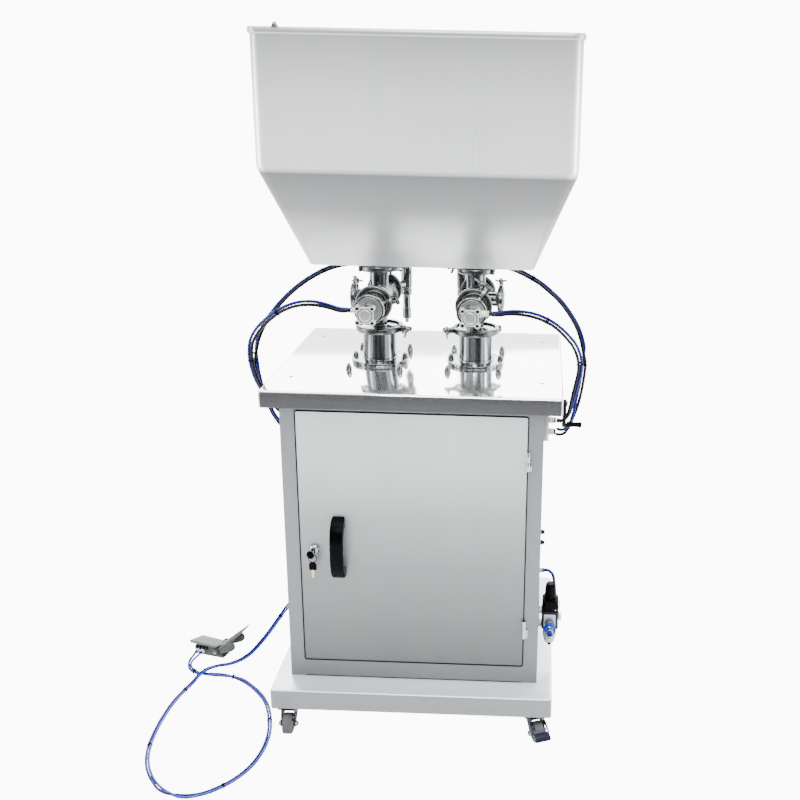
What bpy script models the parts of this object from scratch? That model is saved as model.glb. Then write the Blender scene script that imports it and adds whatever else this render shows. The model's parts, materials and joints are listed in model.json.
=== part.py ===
"""Piston paste filling machine with two filling heads on a wheeled cabinet.

X runs along the front to the right, Y goes from the door to the back, and Z is up.
Sizes are in metres. The machine's own frame has its zero at floor height, in the middle
of the cabinet's front; the last step centres the whole part over the world's origin.
"""
import math

import bmesh
import bpy
from mathutils import Matrix, Vector

MM = 0.001

# Clearances
GAP = 0.3 * MM
RUNNING_GAP = 0.4 * MM
CUT_OVERRUN = 5 * MM
WELD = 0.5 * MM
MERGE = 0.01 * MM

# Cabinet, base and table
CABINET_WIDTH = 600 * MM
CABINET_DEPTH = 526 * MM
CABINET_HEIGHT = 697 * MM
CABINET_WALL = 2 * MM
CABINET_TOP_FLANGE = 25 * MM
CASTER_HEIGHT = 70 * MM
BASE_HEIGHT = 50 * MM
BASE_OVERHANG_FRONT = 67 * MM
BASE_OVERHANG_BACK = 4 * MM
BASE_OVERHANG_SIDE = 37 * MM
BASE_WALL = 3 * MM
BASE_BEVEL = 3 * MM
TABLE_THICKNESS = 40 * MM
TABLE_WALL = 3 * MM
TABLE_OVERHANG_FRONT = 22 * MM
TABLE_OVERHANG_SIDE = 41 * MM
TABLE_CORNER = 6 * MM
TABLE_FRAME_WIDTH = 20 * MM

# Door
DOOR_WIDTH = 532 * MM
DOOR_BOTTOM_MARGIN = 45 * MM
DOOR_TOP_MARGIN = 10 * MM
DOOR_SEAM = 1.6 * MM
DOOR_DEPTH = 18 * MM
DOOR_WALL = 1.5 * MM
DOOR_PROUD = 1 * MM
HINGE_RADIUS = 4.5 * MM
HINGE_PIN_RADIUS = 2.2 * MM
HINGE_LENGTH = 45 * MM
HINGE_STAND_OFF = 6 * MM
HINGE_WEB = 3 * MM
HINGE_UPPER_HEIGHT = 700 * MM
HINGE_LOWER_HEIGHT = 269 * MM

# Door handle and lock
HANDLE_INSET = 94 * MM
HANDLE_X = -DOOR_WIDTH / 2 + HANDLE_INSET
HANDLE_BOTTOM = 392 * MM
HANDLE_LENGTH = 152 * MM
HANDLE_WIDTH = 26 * MM
HANDLE_PROJECTION = 38 * MM
HANDLE_BAR = 13 * MM
HANDLE_FOOT = 28 * MM
LOCK_INSET = 36 * MM
LOCK_X = -DOOR_WIDTH / 2 + LOCK_INSET
LOCK_HEIGHT = 464 * MM
LOCK_RADIUS = 11 * MM
LOCK_FACE_RADIUS = 8.5 * MM
LOCK_PROJECTION = 9 * MM
LOCK_BARREL_RADIUS = 9 * MM
LOCK_BARREL_LENGTH = 24 * MM
LOCK_CAM_LENGTH = 42 * MM
LOCK_CAM_WIDTH = 14 * MM
LOCK_CAM_THICKNESS = 2.5 * MM
STRIKE_HEIGHT = 60 * MM
KEY_THICKNESS = 2.4 * MM
KEY_BLADE_WIDTH = 6 * MM
KEY_BLADE_OUT = 6 * MM
KEY_BOW_WIDTH = 19 * MM
KEY_BOW_LENGTH = 20 * MM
KEY_BLADE_LENGTH = 18 * MM
KEY_HOLE_RADIUS = 3.6 * MM
KEY_RING_RADIUS = 10 * MM
KEY_RING_WIRE = 0.9 * MM

# Casters
CASTER_INSET_X = 40 * MM
CASTER_INSET_Y = 28 * MM
CASTER_PLATE = 55 * MM
CASTER_PLATE_THICKNESS = 3 * MM
CASTER_TRAIL = 20 * MM
WHEEL_RADIUS = 25 * MM
WHEEL_WIDTH = 22 * MM
WHEEL_TREAD_ROUND = 4 * MM
WHEEL_HUB_RADIUS = 9 * MM
WHEEL_HUB_WIDTH = 26 * MM
WHEEL_RIM_RADIUS = 16 * MM
WHEEL_DISH = 3 * MM
AXLE_RADIUS = 4 * MM
AXLE_NUT_RADIUS = 7 * MM
AXLE_NUT_HEIGHT = 4 * MM
FORK_WIDTH = 34 * MM
FORK_WALL = 2.5 * MM
FORK_TOP_LENGTH = 42 * MM
FORK_RACE_RADIUS = 17 * MM
FORK_RACE_HEIGHT = 4 * MM
FORK_TIP_RADIUS = 8 * MM
CASTER_ANGLES = {"front_left": 0, "front_right": 22, "rear_left": 12, "rear_right": -15}
BRAKE_WIDTH = 38 * MM
BRAKE_LENGTH = 30 * MM
BRAKE_THICKNESS = 3 * MM
BRAKE_TILT = 20
BRAKE_START = 27 * MM
BRAKE_PIVOT_HEIGHT = 47.5 * MM
BRAKE_PIN_RADIUS = 2.5 * MM
BRAKE_ARM_HALF = 5 * MM
BRAKED_CASTER = "front_right"

# Hopper
HOPPER_ABOVE_BARREL = 82 * MM
HOPPER_TAPER_HEIGHT = 233 * MM
HOPPER_STRAIGHT_HEIGHT = 300 * MM
HOPPER_HALF_WIDTH = 362 * MM
HOPPER_HALF_DEPTH = 136.5 * MM
HOPPER_TAPER = 96 * MM
HOPPER_TAPER_DEPTH = 90 * MM
HOPPER_WALL = 2 * MM
HOPPER_CORNER = 26 * MM
HOPPER_CORNER_BOTTOM = 14 * MM
HOPPER_BEND_SOFTNESS = 12 * MM
RIM_HEIGHT = 15 * MM
RIM_PROUD = 5 * MM
RIM_ROUND = 3 * MM
LID_STUD_RADIUS = 6 * MM
LID_STUD_HEIGHT = 9 * MM
LID_STUD_X = -300 * MM

# Filling heads
HEAD_MIDDLE_X = 9 * MM
HEAD_SPACING = 236 * MM
HEAD_Y = 250 * MM
BARREL_ABOVE_FILL = 77 * MM

# Filling cylinders on the table
FILL_RADIUS = 41 * MM
FILL_BORE = 37 * MM
FILL_HEIGHT = 84 * MM
FILL_FLANGE_RADIUS = 70 * MM
FILL_FLANGE_THICKNESS = 8 * MM
FILL_FLOOR = 6 * MM
FERRULE_THICKNESS = 3 * MM
FERRULE_SLOPE = 4 * MM
FILL_FERRULE_RADIUS = 52 * MM
FLANGE_NUT_PITCH = 61 * MM
NUT_RADIUS = 6.5 * MM
NUT_HEIGHT = 12 * MM
STUD_RADIUS = 4 * MM
STUD_HOLE = 4.6 * MM
TABLE_ROD_HOLE = 18 * MM
STUD_DX = 61 * MM
STUD_DY = 93 * MM
STUD_NUT_HEIGHT = 17 * MM

# Pistons, drive cylinders and stroke stop
STROKE = 45 * MM
PISTON_HEIGHT = 18 * MM
PISTON_RING_GROOVE = 1.5 * MM
ROD_RADIUS = 10 * MM
DRIVE_PLATE_X = 150 * MM
DRIVE_PLATE_Y = 214 * MM
DRIVE_PLATE_THICKNESS = 10 * MM
DRIVE_RADIUS = 34 * MM
DRIVE_BORE = 30 * MM
DRIVE_LENGTH = 150 * MM
DRIVE_END = 12 * MM
DRIVE_PISTON_HEIGHT = 15 * MM
ROD_COLLAR_RADIUS = 15 * MM
ROD_COLLAR_HEIGHT = 8 * MM
STOP_TRAVEL = 35 * MM
STOP_BAR_HEIGHT = 10 * MM
STOP_BAR_WIDTH = 34 * MM
STOP_CLEAR = 2 * MM
SCREW_Y = 120 * MM
SCREW_RADIUS = 6 * MM
SCREW_THREAD_DEPTH = 0.8 * MM
SCREW_PITCH = 8 * MM
SCREW_NUT_RADIUS = 14 * MM
SCREW_BOSS_RADIUS = 13 * MM
SCREW_BOSS_HEIGHT = 16 * MM
BEVEL_GEAR_INNER = 18 * MM
BEVEL_GEAR_OUTER = 28 * MM
BEVEL_GEAR_BACK = 5 * MM

# Crank
CRANK_DROP = 57 * MM
CRANK_SHAFT_RADIUS = 6 * MM
CRANK_THROW = 52 * MM
CRANK_HUB_RADIUS = 14 * MM
CRANK_HUB_TIP = 22 * MM
CRANK_ARM_WIDTH = 20 * MM
CRANK_ARM_THICKNESS = 8 * MM
CRANK_TABLE_CLEAR = 3 * MM
CRANK_PIN_RADIUS = 3 * MM
CRANK_BUSH_RADIUS = 13 * MM
CRANK_BUSH_LENGTH = 8 * MM
GRIP_RADIUS = 6.8 * MM
GRIP_WAIST = 5.8 * MM
GRIP_LENGTH = 38 * MM
GRIP_ROUND = 1.5 * MM

# Valve bodies
BARREL_RADIUS = 31 * MM
BARREL_BORE = 20 * MM
BARREL_HALF_LENGTH = 80 * MM
BARREL_FERRULE_RADIUS = 38 * MM
NECK_RADIUS = 22.5 * MM
LOWER_NECK_RADIUS = 18.5 * MM
NECK_BORE = 15 * MM
OUTLET_FERRULE_RADIUS = 40 * MM
OUTLET_CLAMP_MIDDLE = 1091 * MM
SIDE_PORT_RADIUS = 17 * MM
SIDE_PORT_OUT = 60 * MM
SIDE_FERRULE_RADIUS = 24 * MM
SIDE_CLAMP_RADIUS = 28 * MM
SIDE_CLAMP_HEIGHT = 13 * MM
SIDE_CAP_THICKNESS = 5 * MM

# Clamps
CLAMP_HEIGHT = 15 * MM
CLAMP_LIP = 5 * MM
CLAMP_WALL = 6 * MM
CLAMP_EAR_SHARE = 0.45
CLAMP_BOLT_SHARE = 0.7
CLAMP_EAR_THICKNESS = 6 * MM
CLAMP_SPLIT = 8 * MM
FRONT_CLAMP_EARS = {"left": (1, -0.25), "right": (0.55, -0.83)}
CLAMP_BOLT_RADIUS = 3 * MM
CLAMP_BOLT_LENGTH = 46 * MM
WING_HUB_RADIUS = 6.5 * MM
WING_HUB_HEIGHT = 9 * MM
WING_SPAN = 34 * MM
WING_HEIGHT = 16 * MM
WING_THICKNESS = 3.2 * MM

# Valve spools and their air cylinders
SPOOL_STROKE = 22 * MM
SPOOL_LAND = 26 * MM
SPOOL_WAIST = 8 * MM
SPOOL_LENGTH = 96 * MM
SPOOL_ROD_RADIUS = 5 * MM
ADAPTER_RADIUS = 33 * MM
ADAPTER_LENGTH = 40 * MM
AIR_CYLINDER_SIZE = 46 * MM
AIR_CYLINDER_LENGTH = 86 * MM
AIR_CYLINDER_BORE = 14 * MM
AIR_LUG_RADIUS = 5.5 * MM
AIR_LUG_PITCH = 33 * MM
AIR_LUG_LENGTH = 9 * MM
AIR_LUG_RECESS = 4 * MM
AIR_PISTON_LENGTH = 10 * MM
FITTING_RADIUS = 5 * MM
FITTING_LENGTH = 18 * MM
FITTING_SPACING = 14 * MM

# Discharge pipes and nozzles
NOZZLE_Y = 400 * MM
NOZZLE_SPACING = 144 * MM
NOZZLE_TIP = 917 * MM
NOZZLE_PIPE_RADIUS = 10 * MM
NOZZLE_PIPE_BORE = 8 * MM
NOZZLE_BLOCK_RADIUS = 15 * MM
NOZZLE_COLLAR_RADIUS = 11 * MM
NOZZLE_TUBE_RADIUS = 6.5 * MM
NOZZLE_SLEEVE_RADIUS = 8.5 * MM
NOZZLE_BORE = 3 * MM
NOZZLE_COLLAR_TOP = 1006 * MM
NOZZLE_COLLAR_BOTTOM = 994 * MM
NOZZLE_SLEEVE_TOP = 952 * MM
NOZZLE_SLEEVE_BOTTOM = 927 * MM
NOZZLE_ACTUATOR_TOP = 1084 * MM
NOZZLE_ACTUATOR_RADIUS = 14 * MM

# Filter regulator on the right side
FRL_X = 329 * MM
FRL_Y = 100 * MM
FRL_BODY_SIZE = 42 * MM
FRL_BODY_BOTTOM = 222 * MM
FRL_BODY_TOP = 268 * MM
FRL_BONNET_TOP = 300 * MM
FRL_KNOB_TOP = 338 * MM
FRL_BONNET_SIZE = 40 * MM
FRL_KNOB_RADIUS = 14.5 * MM
FRL_NECK_RADIUS = 9 * MM
FRL_BOWL_RADIUS = 17 * MM
FRL_BOWL_BOTTOM = 176 * MM
FRL_BOWL_WALL = 2 * MM
FRL_DRAIN_RADIUS = 3.5 * MM
FRL_DRAIN_LENGTH = 9 * MM
FRL_VALVE_RADIUS = 10 * MM
FRL_VALVE_LENGTH = 44 * MM
FRL_RING_RADIUS = 14.5 * MM
FRL_RING_LENGTH = 17 * MM
FRL_RING_TRAVEL = 8 * MM
FRL_KNOB_FLUTES = 12

# Fittings on the cabinet's sides
SIDE_BLOCK_Y = 195 * MM
SIDE_BLOCK_TOP = 752 * MM
SIDE_BLOCK_BOTTOM = 682 * MM
SIDE_BLOCK_WIDTH = 40 * MM
SIDE_BLOCK_DEPTH = 12 * MM
SIDE_ROW_UPPER = 731 * MM
SIDE_ROW_LOWER = 701 * MM
WALL_FITTING_RADIUS = 6 * MM
WALL_FITTING_LENGTH = 12 * MM
REGULATOR_FITTING_Y = 200 * MM
REGULATOR_FITTING_HEIGHT = 319 * MM
PEDAL_FITTING_Y = 292 * MM
PEDAL_FITTING_HEIGHT = 176 * MM

# Foot pedal on the floor
PEDAL_X = -566 * MM
PEDAL_Y = 268 * MM
PEDAL_TURN = -14
PEDAL_BODY_LENGTH = 74 * MM
PEDAL_WIDTH = 62 * MM
PEDAL_BODY_HEIGHT = 30 * MM
PEDAL_COVER_THICKNESS = 6 * MM
PEDAL_WALL = 5 * MM
PEDAL_CHEEK_HEIGHT = 52 * MM
PEDAL_CHEEK_LENGTH = 46 * MM
PEDAL_FOOT_HEIGHT = 3 * MM
PEDAL_PIN_RADIUS = 4 * MM
PEDAL_PIN_HEIGHT = 17 * MM
PEDAL_TREAD_LENGTH = 104 * MM
PEDAL_TREAD_THICKNESS = 9 * MM
PEDAL_TREAD_ANGLE = 40
PEDAL_TRAVEL_DEG = 12
PEDAL_PORT_RADIUS = 5 * MM
PEDAL_PORT_LENGTH = 10 * MM
PEDAL_PORT_HEIGHT = 13.5 * MM
PEDAL_PORT_INSET = 20 * MM

# Air tubes
PAIR_RADIUS = 6 * MM
PEDAL_HOSE_RADIUS = 4 * MM
FRL_HOSE_RADIUS = 4 * MM
FLOOR_LIE = 4.5 * MM

# Facets of round pieces
FINE_STEPS = 16
ROUND_STEPS = 14
SMALL_STEPS = 10
TINY_STEPS = 8

# Heights and places that follow from the sizes above
BASE_TOP = CASTER_HEIGHT + BASE_HEIGHT
CABINET_BOTTOM = BASE_TOP + GAP
CABINET_TOP = BASE_TOP + CABINET_HEIGHT
TABLE_BOTTOM = CABINET_TOP + GAP
TABLE_TOP = CABINET_TOP + TABLE_THICKNESS
CRANK_HEIGHT = TABLE_TOP - CRANK_DROP
FILL_TOP = TABLE_TOP + FILL_HEIGHT
BARREL_HEIGHT = FILL_TOP + BARREL_ABOVE_FILL
HOPPER_BOTTOM = BARREL_HEIGHT + HOPPER_ABOVE_BARREL
HOPPER_BEND = HOPPER_BOTTOM + HOPPER_TAPER_HEIGHT
HOPPER_TOP = HOPPER_BEND + HOPPER_STRAIGHT_HEIGHT
TABLE_HALF_WIDTH = CABINET_WIDTH / 2 + TABLE_OVERHANG_SIDE
BASE_HALF_WIDTH = CABINET_WIDTH / 2 + BASE_OVERHANG_SIDE
DOOR_BOTTOM = BASE_TOP + DOOR_BOTTOM_MARGIN
DOOR_TOP = CABINET_TOP - DOOR_TOP_MARGIN
HINGE_X = DOOR_WIDTH / 2
HINGE_Y = -HINGE_STAND_OFF
HEAD_XS = {
    "left": HEAD_MIDDLE_X - HEAD_SPACING / 2,
    "right": HEAD_MIDDLE_X + HEAD_SPACING / 2,
}
NOZZLE_XS = {
    "left": HEAD_MIDDLE_X - NOZZLE_SPACING / 2,
    "right": HEAD_MIDDLE_X + NOZZLE_SPACING / 2,
}
OUTWARD = {"left": -1, "right": 1}
DRIVE_TOP = TABLE_TOP - TABLE_WALL - GAP
DRIVE_BODY_TOP = DRIVE_TOP - DRIVE_PLATE_THICKNESS
DRIVE_BOTTOM = DRIVE_BODY_TOP - DRIVE_LENGTH
FILL_BASE = TABLE_TOP + GAP
PISTON_REST = FILL_BASE + FILL_FLOOR + GAP
DRIVE_PISTON_REST = DRIVE_BOTTOM + DRIVE_END + RUNNING_GAP
STOP_BAR_BOTTOM = DRIVE_BOTTOM - STOP_BAR_HEIGHT - STOP_CLEAR
ROD_COLLAR_TOP = STOP_BAR_BOTTOM - STROKE - STOP_CLEAR
ACTUATOR_FRONT = HEAD_Y - BARREL_HALF_LENGTH - ADAPTER_LENGTH - AIR_CYLINDER_LENGTH
AIR_CYLINDER_BACK = HEAD_Y - BARREL_HALF_LENGTH - ADAPTER_LENGTH - GAP


def clear_scene():
    """Start from an empty scene."""
    for item in list(bpy.data.objects):
        bpy.data.objects.remove(item, do_unlink=True)
    for group in list(bpy.data.collections):
        bpy.data.collections.remove(group)


def new_collection(name):
    group = bpy.data.collections.new(name)
    bpy.context.scene.collection.children.link(group)
    return group


clear_scene()
PARTS = new_collection("piston_paste_filling_machine")
CUTTERS = new_collection("cutters")


def material(name, colour, roughness, metallic=0.0):
    """Return one Principled material, made once for each name."""
    found = bpy.data.materials.get(name)
    if found:
        return found
    made = bpy.data.materials.new(name)
    made.use_nodes = True
    shader = made.node_tree.nodes["Principled BSDF"]
    shader.inputs["Base Color"].default_value = (*colour, 1)
    shader.inputs["Roughness"].default_value = roughness
    shader.inputs["Metallic"].default_value = metallic
    return made


def satin_sheet():
    return material("satin_sheet", (0.72, 0.74, 0.75), 0.38, 1.0)


def polished_steel():
    return material("polished_steel", (0.62, 0.63, 0.63), 0.16, 1.0)


def chrome():
    return material("chrome", (0.80, 0.80, 0.80), 0.08, 1.0)


def black_plastic():
    return material("black_plastic", (0.015, 0.015, 0.017), 0.45)


def cast_aluminium():
    return material("cast_aluminium", (0.36, 0.38, 0.37), 0.55, 0.6)


def anodised_aluminium():
    return material("anodised_aluminium", (0.62, 0.65, 0.64), 0.42, 0.8)


def black_steel():
    return material("black_steel", (0.02, 0.02, 0.022), 0.5, 0.4)


def grey_rubber():
    return material("grey_rubber", (0.22, 0.23, 0.25), 0.6)


def blue_tube():
    return material("blue_tube", (0.02, 0.06, 0.62), 0.25)


def blue_valve():
    return material("blue_valve", (0.01, 0.32, 0.80), 0.3)


def clear_bowl():
    return material("clear_bowl", (0.85, 0.88, 0.90), 0.1)


def white_seal():
    return material("white_seal", (0.85, 0.85, 0.83), 0.5)


def empty(name, place, parent=None, turn=(0, 0, 0)):
    """An empty at a joint's axis; its children keep their own local places."""
    made = bpy.data.objects.new(name, None)
    made.empty_display_size = CABINET_WALL
    made.parent = parent
    made.location = place
    made.rotation_euler = turn
    PARTS.objects.link(made)
    return made


def finish(obj, look, parent, smooth=True):
    """Give an object its material and parent, and shade its round faces smooth."""
    obj.data.materials.clear()
    obj.data.materials.append(look)
    if any(step.type == "BOOLEAN" for step in obj.modifiers):
        weld = obj.modifiers.new("weld", "WELD")
        weld.merge_threshold = MERGE
    if obj.type == "MESH" and smooth:
        obj.data.shade_smooth()
        obj.data.set_sharp_from_angle(angle=math.radians(35))
    obj.parent = parent
    return obj


def object_from(name, mesh, cutter=False):
    made = bpy.data.objects.new(name, mesh)
    (CUTTERS if cutter else PARTS).objects.link(made)
    if cutter:
        made.hide_render = True
        made.display_type = "WIRE"
    return made


def block(name, low, high, bevel=0.0, cutter=False, segments=2):
    """A box between two corners, with rounded edges where bevel is given."""
    low, high = Vector(low), Vector(high)
    bm = bmesh.new()
    bmesh.ops.create_cube(bm, size=1)
    bmesh.ops.scale(bm, vec=high - low, verts=bm.verts)
    bmesh.ops.translate(bm, vec=(low + high) / 2, verts=bm.verts)
    mesh = bpy.data.meshes.new(name)
    bm.to_mesh(mesh)
    bm.free()
    made = object_from(name, mesh, cutter)
    if bevel:
        rounding = made.modifiers.new("edges", "BEVEL")
        rounding.width = bevel
        rounding.segments = segments
        rounding.limit_method = "ANGLE"
    return made


TURNS = {
    "Z": Matrix.Identity(4),
    "X": Matrix.Rotation(math.pi / 2, 4, "Y"),
    "-X": Matrix.Rotation(-math.pi / 2, 4, "Y"),
    "Y": Matrix.Rotation(-math.pi / 2, 4, "X"),
    "-Y": Matrix.Rotation(math.pi / 2, 4, "X"),
    "-Z": Matrix.Rotation(math.pi, 4, "X"),
}


def turned(name, profile, place=(0, 0, 0), axis="Z", steps=ROUND_STEPS, cutter=False, closed=False):
    """Turn a profile of (radius, height) about an axis through place.

    The profile goes down the outer side; a closed one comes back up the inner side."""
    bm = bmesh.new()
    verts = [bm.verts.new((radius, 0, height)) for radius, height in profile]
    for a, b in zip(verts, verts[1:]):
        bm.edges.new((a, b))
    if closed:
        bm.edges.new((verts[-1], verts[0]))
    mesh = bpy.data.meshes.new(name)
    bm.to_mesh(mesh)
    bm.free()
    made = object_from(name, mesh, cutter)
    screw = made.modifiers.new("turn", "SCREW")
    screw.steps = steps
    screw.render_steps = steps
    screw.use_merge_vertices = True
    screw.merge_threshold = MERGE
    made.matrix_basis = Matrix.Translation(place) @ TURNS[axis]
    return made


def rod(name, radius, start, end, axis="Z", place=(0, 0, 0), steps=SMALL_STEPS, cutter=False):
    """A plain round bar from start to end along an axis through place."""
    profile = [(0, end), (radius, end), (radius, start), (0, start)]
    return turned(name, profile, place, axis, steps, cutter)


def extruded(name, outline, start, end, plane="YZ", cutter=False):
    """A flat outline carried from start to end across its plane."""
    maps = {
        "YZ": lambda a, b, c: (c, a, b),
        "XZ": lambda a, b, c: (a, c, b),
        "XY": lambda a, b, c: (a, b, c),
    }
    bm = bmesh.new()
    low = [bm.verts.new(maps[plane](a, b, start)) for a, b in outline]
    high = [bm.verts.new(maps[plane](a, b, end)) for a, b in outline]
    bm.faces.new(low)
    bm.faces.new(high)
    count = len(outline)
    for i in range(count):
        j = (i + 1) % count
        bm.faces.new((low[i], low[j], high[j], high[i]))
    bmesh.ops.recalc_face_normals(bm, faces=bm.faces)
    mesh = bpy.data.meshes.new(name)
    bm.to_mesh(mesh)
    bm.free()
    return object_from(name, mesh, cutter)


def boolean(obj, other, operation):
    """Cut other from obj or join it on, keeping the modifier on obj."""
    if other.name in PARTS.objects:
        PARTS.objects.unlink(other)
        CUTTERS.objects.link(other)
    other.hide_render = True
    other.display_type = "WIRE"
    step = obj.modifiers.new(operation.lower(), "BOOLEAN")
    step.operation = operation
    step.solver = "EXACT"
    step.object = other
    if other.parent is None:
        other.parent = obj
        other.matrix_parent_inverse = obj.matrix_basis.inverted()
    return obj


def cut(obj, *others):
    for other in others:
        boolean(obj, other, "DIFFERENCE")
    return obj


def join(obj, *others):
    for other in others:
        boolean(obj, other, "UNION")
    return obj


def smooth_route(points, spacing):
    """Sample a Catmull-Rom curve through the route's points at about one spacing."""
    points = [Vector(p) for p in points]
    padded = [2 * points[0] - points[1], *points, 2 * points[-1] - points[-2]]
    samples = [points[0]]
    for before, a, b, after in zip(padded, padded[1:], padded[2:], padded[3:]):
        count = max(1, round((b - a).length / spacing))
        for i in range(1, count + 1):
            t = i / count
            samples.append(
                0.5 * (2 * a + (b - before) * t
                       + (2 * before - 5 * a + 4 * b - after) * t ** 2
                       + (3 * a - before - 3 * b + after) * t ** 3)
            )
    return samples


def hose(name, points, radius, spacing, look, parent):
    """An air tube along a smooth route, a curve with a round bevel and filled ends."""
    curve = bpy.data.curves.new(name, "CURVE")
    curve.dimensions = "3D"
    curve.bevel_depth = radius
    curve.bevel_resolution = 2
    curve.use_fill_caps = True
    route = smooth_route(points, spacing)
    spline = curve.splines.new("POLY")
    spline.points.add(len(route) - 1)
    for point, place in zip(spline.points, route):
        point.co = (*place, 1)
    made = bpy.data.objects.new(name, curve)
    PARTS.objects.link(made)
    curve.materials.append(look)
    made.parent = parent
    return made


def ring_profile(inner, outer, low, high):
    return [(outer, high), (outer, low), (inner, low), (inner, high)]


def arc(centre, radius, start, end, count):
    """Points on an arc in the outline's own plane, angles in degrees."""
    points = []
    for i in range(count + 1):
        angle = math.radians(start + (end - start) * i / count)
        points.append((centre[0] + radius * math.cos(angle), centre[1] + radius * math.sin(angle)))
    return points


def rounded_rectangle(half_x, half_y, radius, corner_steps=3):
    """Points around a rectangle with round corners, counter-clockwise from the right."""
    points = []
    for turn, (sx, sy) in enumerate(((1, 1), (-1, 1), (-1, -1), (1, -1))):
        centre = (sx * (half_x - radius), sy * (half_y - radius))
        points += arc(centre, radius, turn * 90, turn * 90 + 90, corner_steps)
    return points


def base_plinth(parent):
    """Folded base tray, open below, with a caster plate at each corner."""
    low = (-BASE_HALF_WIDTH, -BASE_OVERHANG_FRONT, CASTER_HEIGHT)
    high = (BASE_HALF_WIDTH, CABINET_DEPTH + BASE_OVERHANG_BACK, BASE_TOP)
    tray = block("base_plinth", low, high, BASE_BEVEL)
    corner = CASTER_PLATE
    inner_low = Vector(low) + Vector((BASE_WALL, BASE_WALL, BASE_WALL))
    inner_high = Vector(high) - Vector((BASE_WALL, BASE_WALL, BASE_WALL))
    cut(tray, block("tray_hollow", inner_low, inner_high, cutter=True))
    across = block(
        "tray_mouth_x", (low[0] + corner, low[1] + BASE_WALL, low[2] - CUT_OVERRUN),
        (high[0] - corner, high[1] - BASE_WALL, low[2] + 2 * BASE_WALL), cutter=True)
    along = block(
        "tray_mouth_y", (low[0] + BASE_WALL, low[1] + corner, low[2] - CUT_OVERRUN),
        (high[0] - BASE_WALL, high[1] - corner, low[2] + 2 * BASE_WALL), cutter=True)
    cut(tray, across, along)
    for name, (x, y) in CASTER_PLACES.items():
        half = CASTER_PLATE / 2
        plate = block(
            "plate_" + name, (x - half, y - half, CASTER_HEIGHT - CASTER_PLATE_THICKNESS),
            (x + half, y + half, CASTER_HEIGHT + WELD))
        join(tray, plate)
    return finish(tray, satin_sheet(), parent)


CASTER_ROWS = {
    "front": -BASE_OVERHANG_FRONT + CASTER_INSET_Y,
    "rear": CABINET_DEPTH + BASE_OVERHANG_BACK - CASTER_INSET_Y,
}
CASTER_PLACES = {
    row + "_" + side: (sign * (BASE_HALF_WIDTH - CASTER_INSET_X), y)
    for row, y in CASTER_ROWS.items()
    for side, sign in (("left", -1), ("right", 1))
}


def cabinet_body(parent):
    """Welded sheet cabinet with a door opening, flanged open top and a crank bearing."""
    half = CABINET_WIDTH / 2
    wall = CABINET_WALL
    body = block("cabinet_body", (-half, 0, CABINET_BOTTOM), (half, CABINET_DEPTH, CABINET_TOP))
    cut(body, block("cabinet_hollow", (-half + wall, wall, CABINET_BOTTOM + wall),
                    (half - wall, CABINET_DEPTH - wall, CABINET_TOP - wall), cutter=True))
    flange = CABINET_TOP_FLANGE
    cut(body, block("cabinet_top_opening", (-half + flange, flange, CABINET_TOP - 2 * wall),
                    (half - flange, CABINET_DEPTH - flange, CABINET_TOP + CUT_OVERRUN), cutter=True))
    cut(body, block("door_opening", (-DOOR_WIDTH / 2, -CUT_OVERRUN, DOOR_BOTTOM),
                    (DOOR_WIDTH / 2, 2 * wall, DOOR_TOP), cutter=True))
    cam_room = LOCK_BARREL_LENGTH - DOOR_PROUD - GAP
    strike = block("lock_strike", (-half + wall / 2, wall / 2, LOCK_HEIGHT - STRIKE_HEIGHT / 2),
                   (-DOOR_WIDTH / 2 - DOOR_SEAM, cam_room, LOCK_HEIGHT + STRIKE_HEIGHT / 2))
    join(body, strike)
    bush = rod("crank_bush", CRANK_BUSH_RADIUS, half - wall - CRANK_BUSH_LENGTH, half + CRANK_BUSH_LENGTH,
               "X", (0, SCREW_Y, CRANK_HEIGHT))
    bore = rod("crank_bore", CRANK_SHAFT_RADIUS + RUNNING_GAP, half - 4 * CRANK_BUSH_LENGTH,
               half + 4 * CRANK_BUSH_LENGTH, "X", (0, SCREW_Y, CRANK_HEIGHT), cutter=True)
    join(body, bush)
    cut(body, bore)
    wall_fittings(body)
    return finish(body, satin_sheet(), parent)


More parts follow.
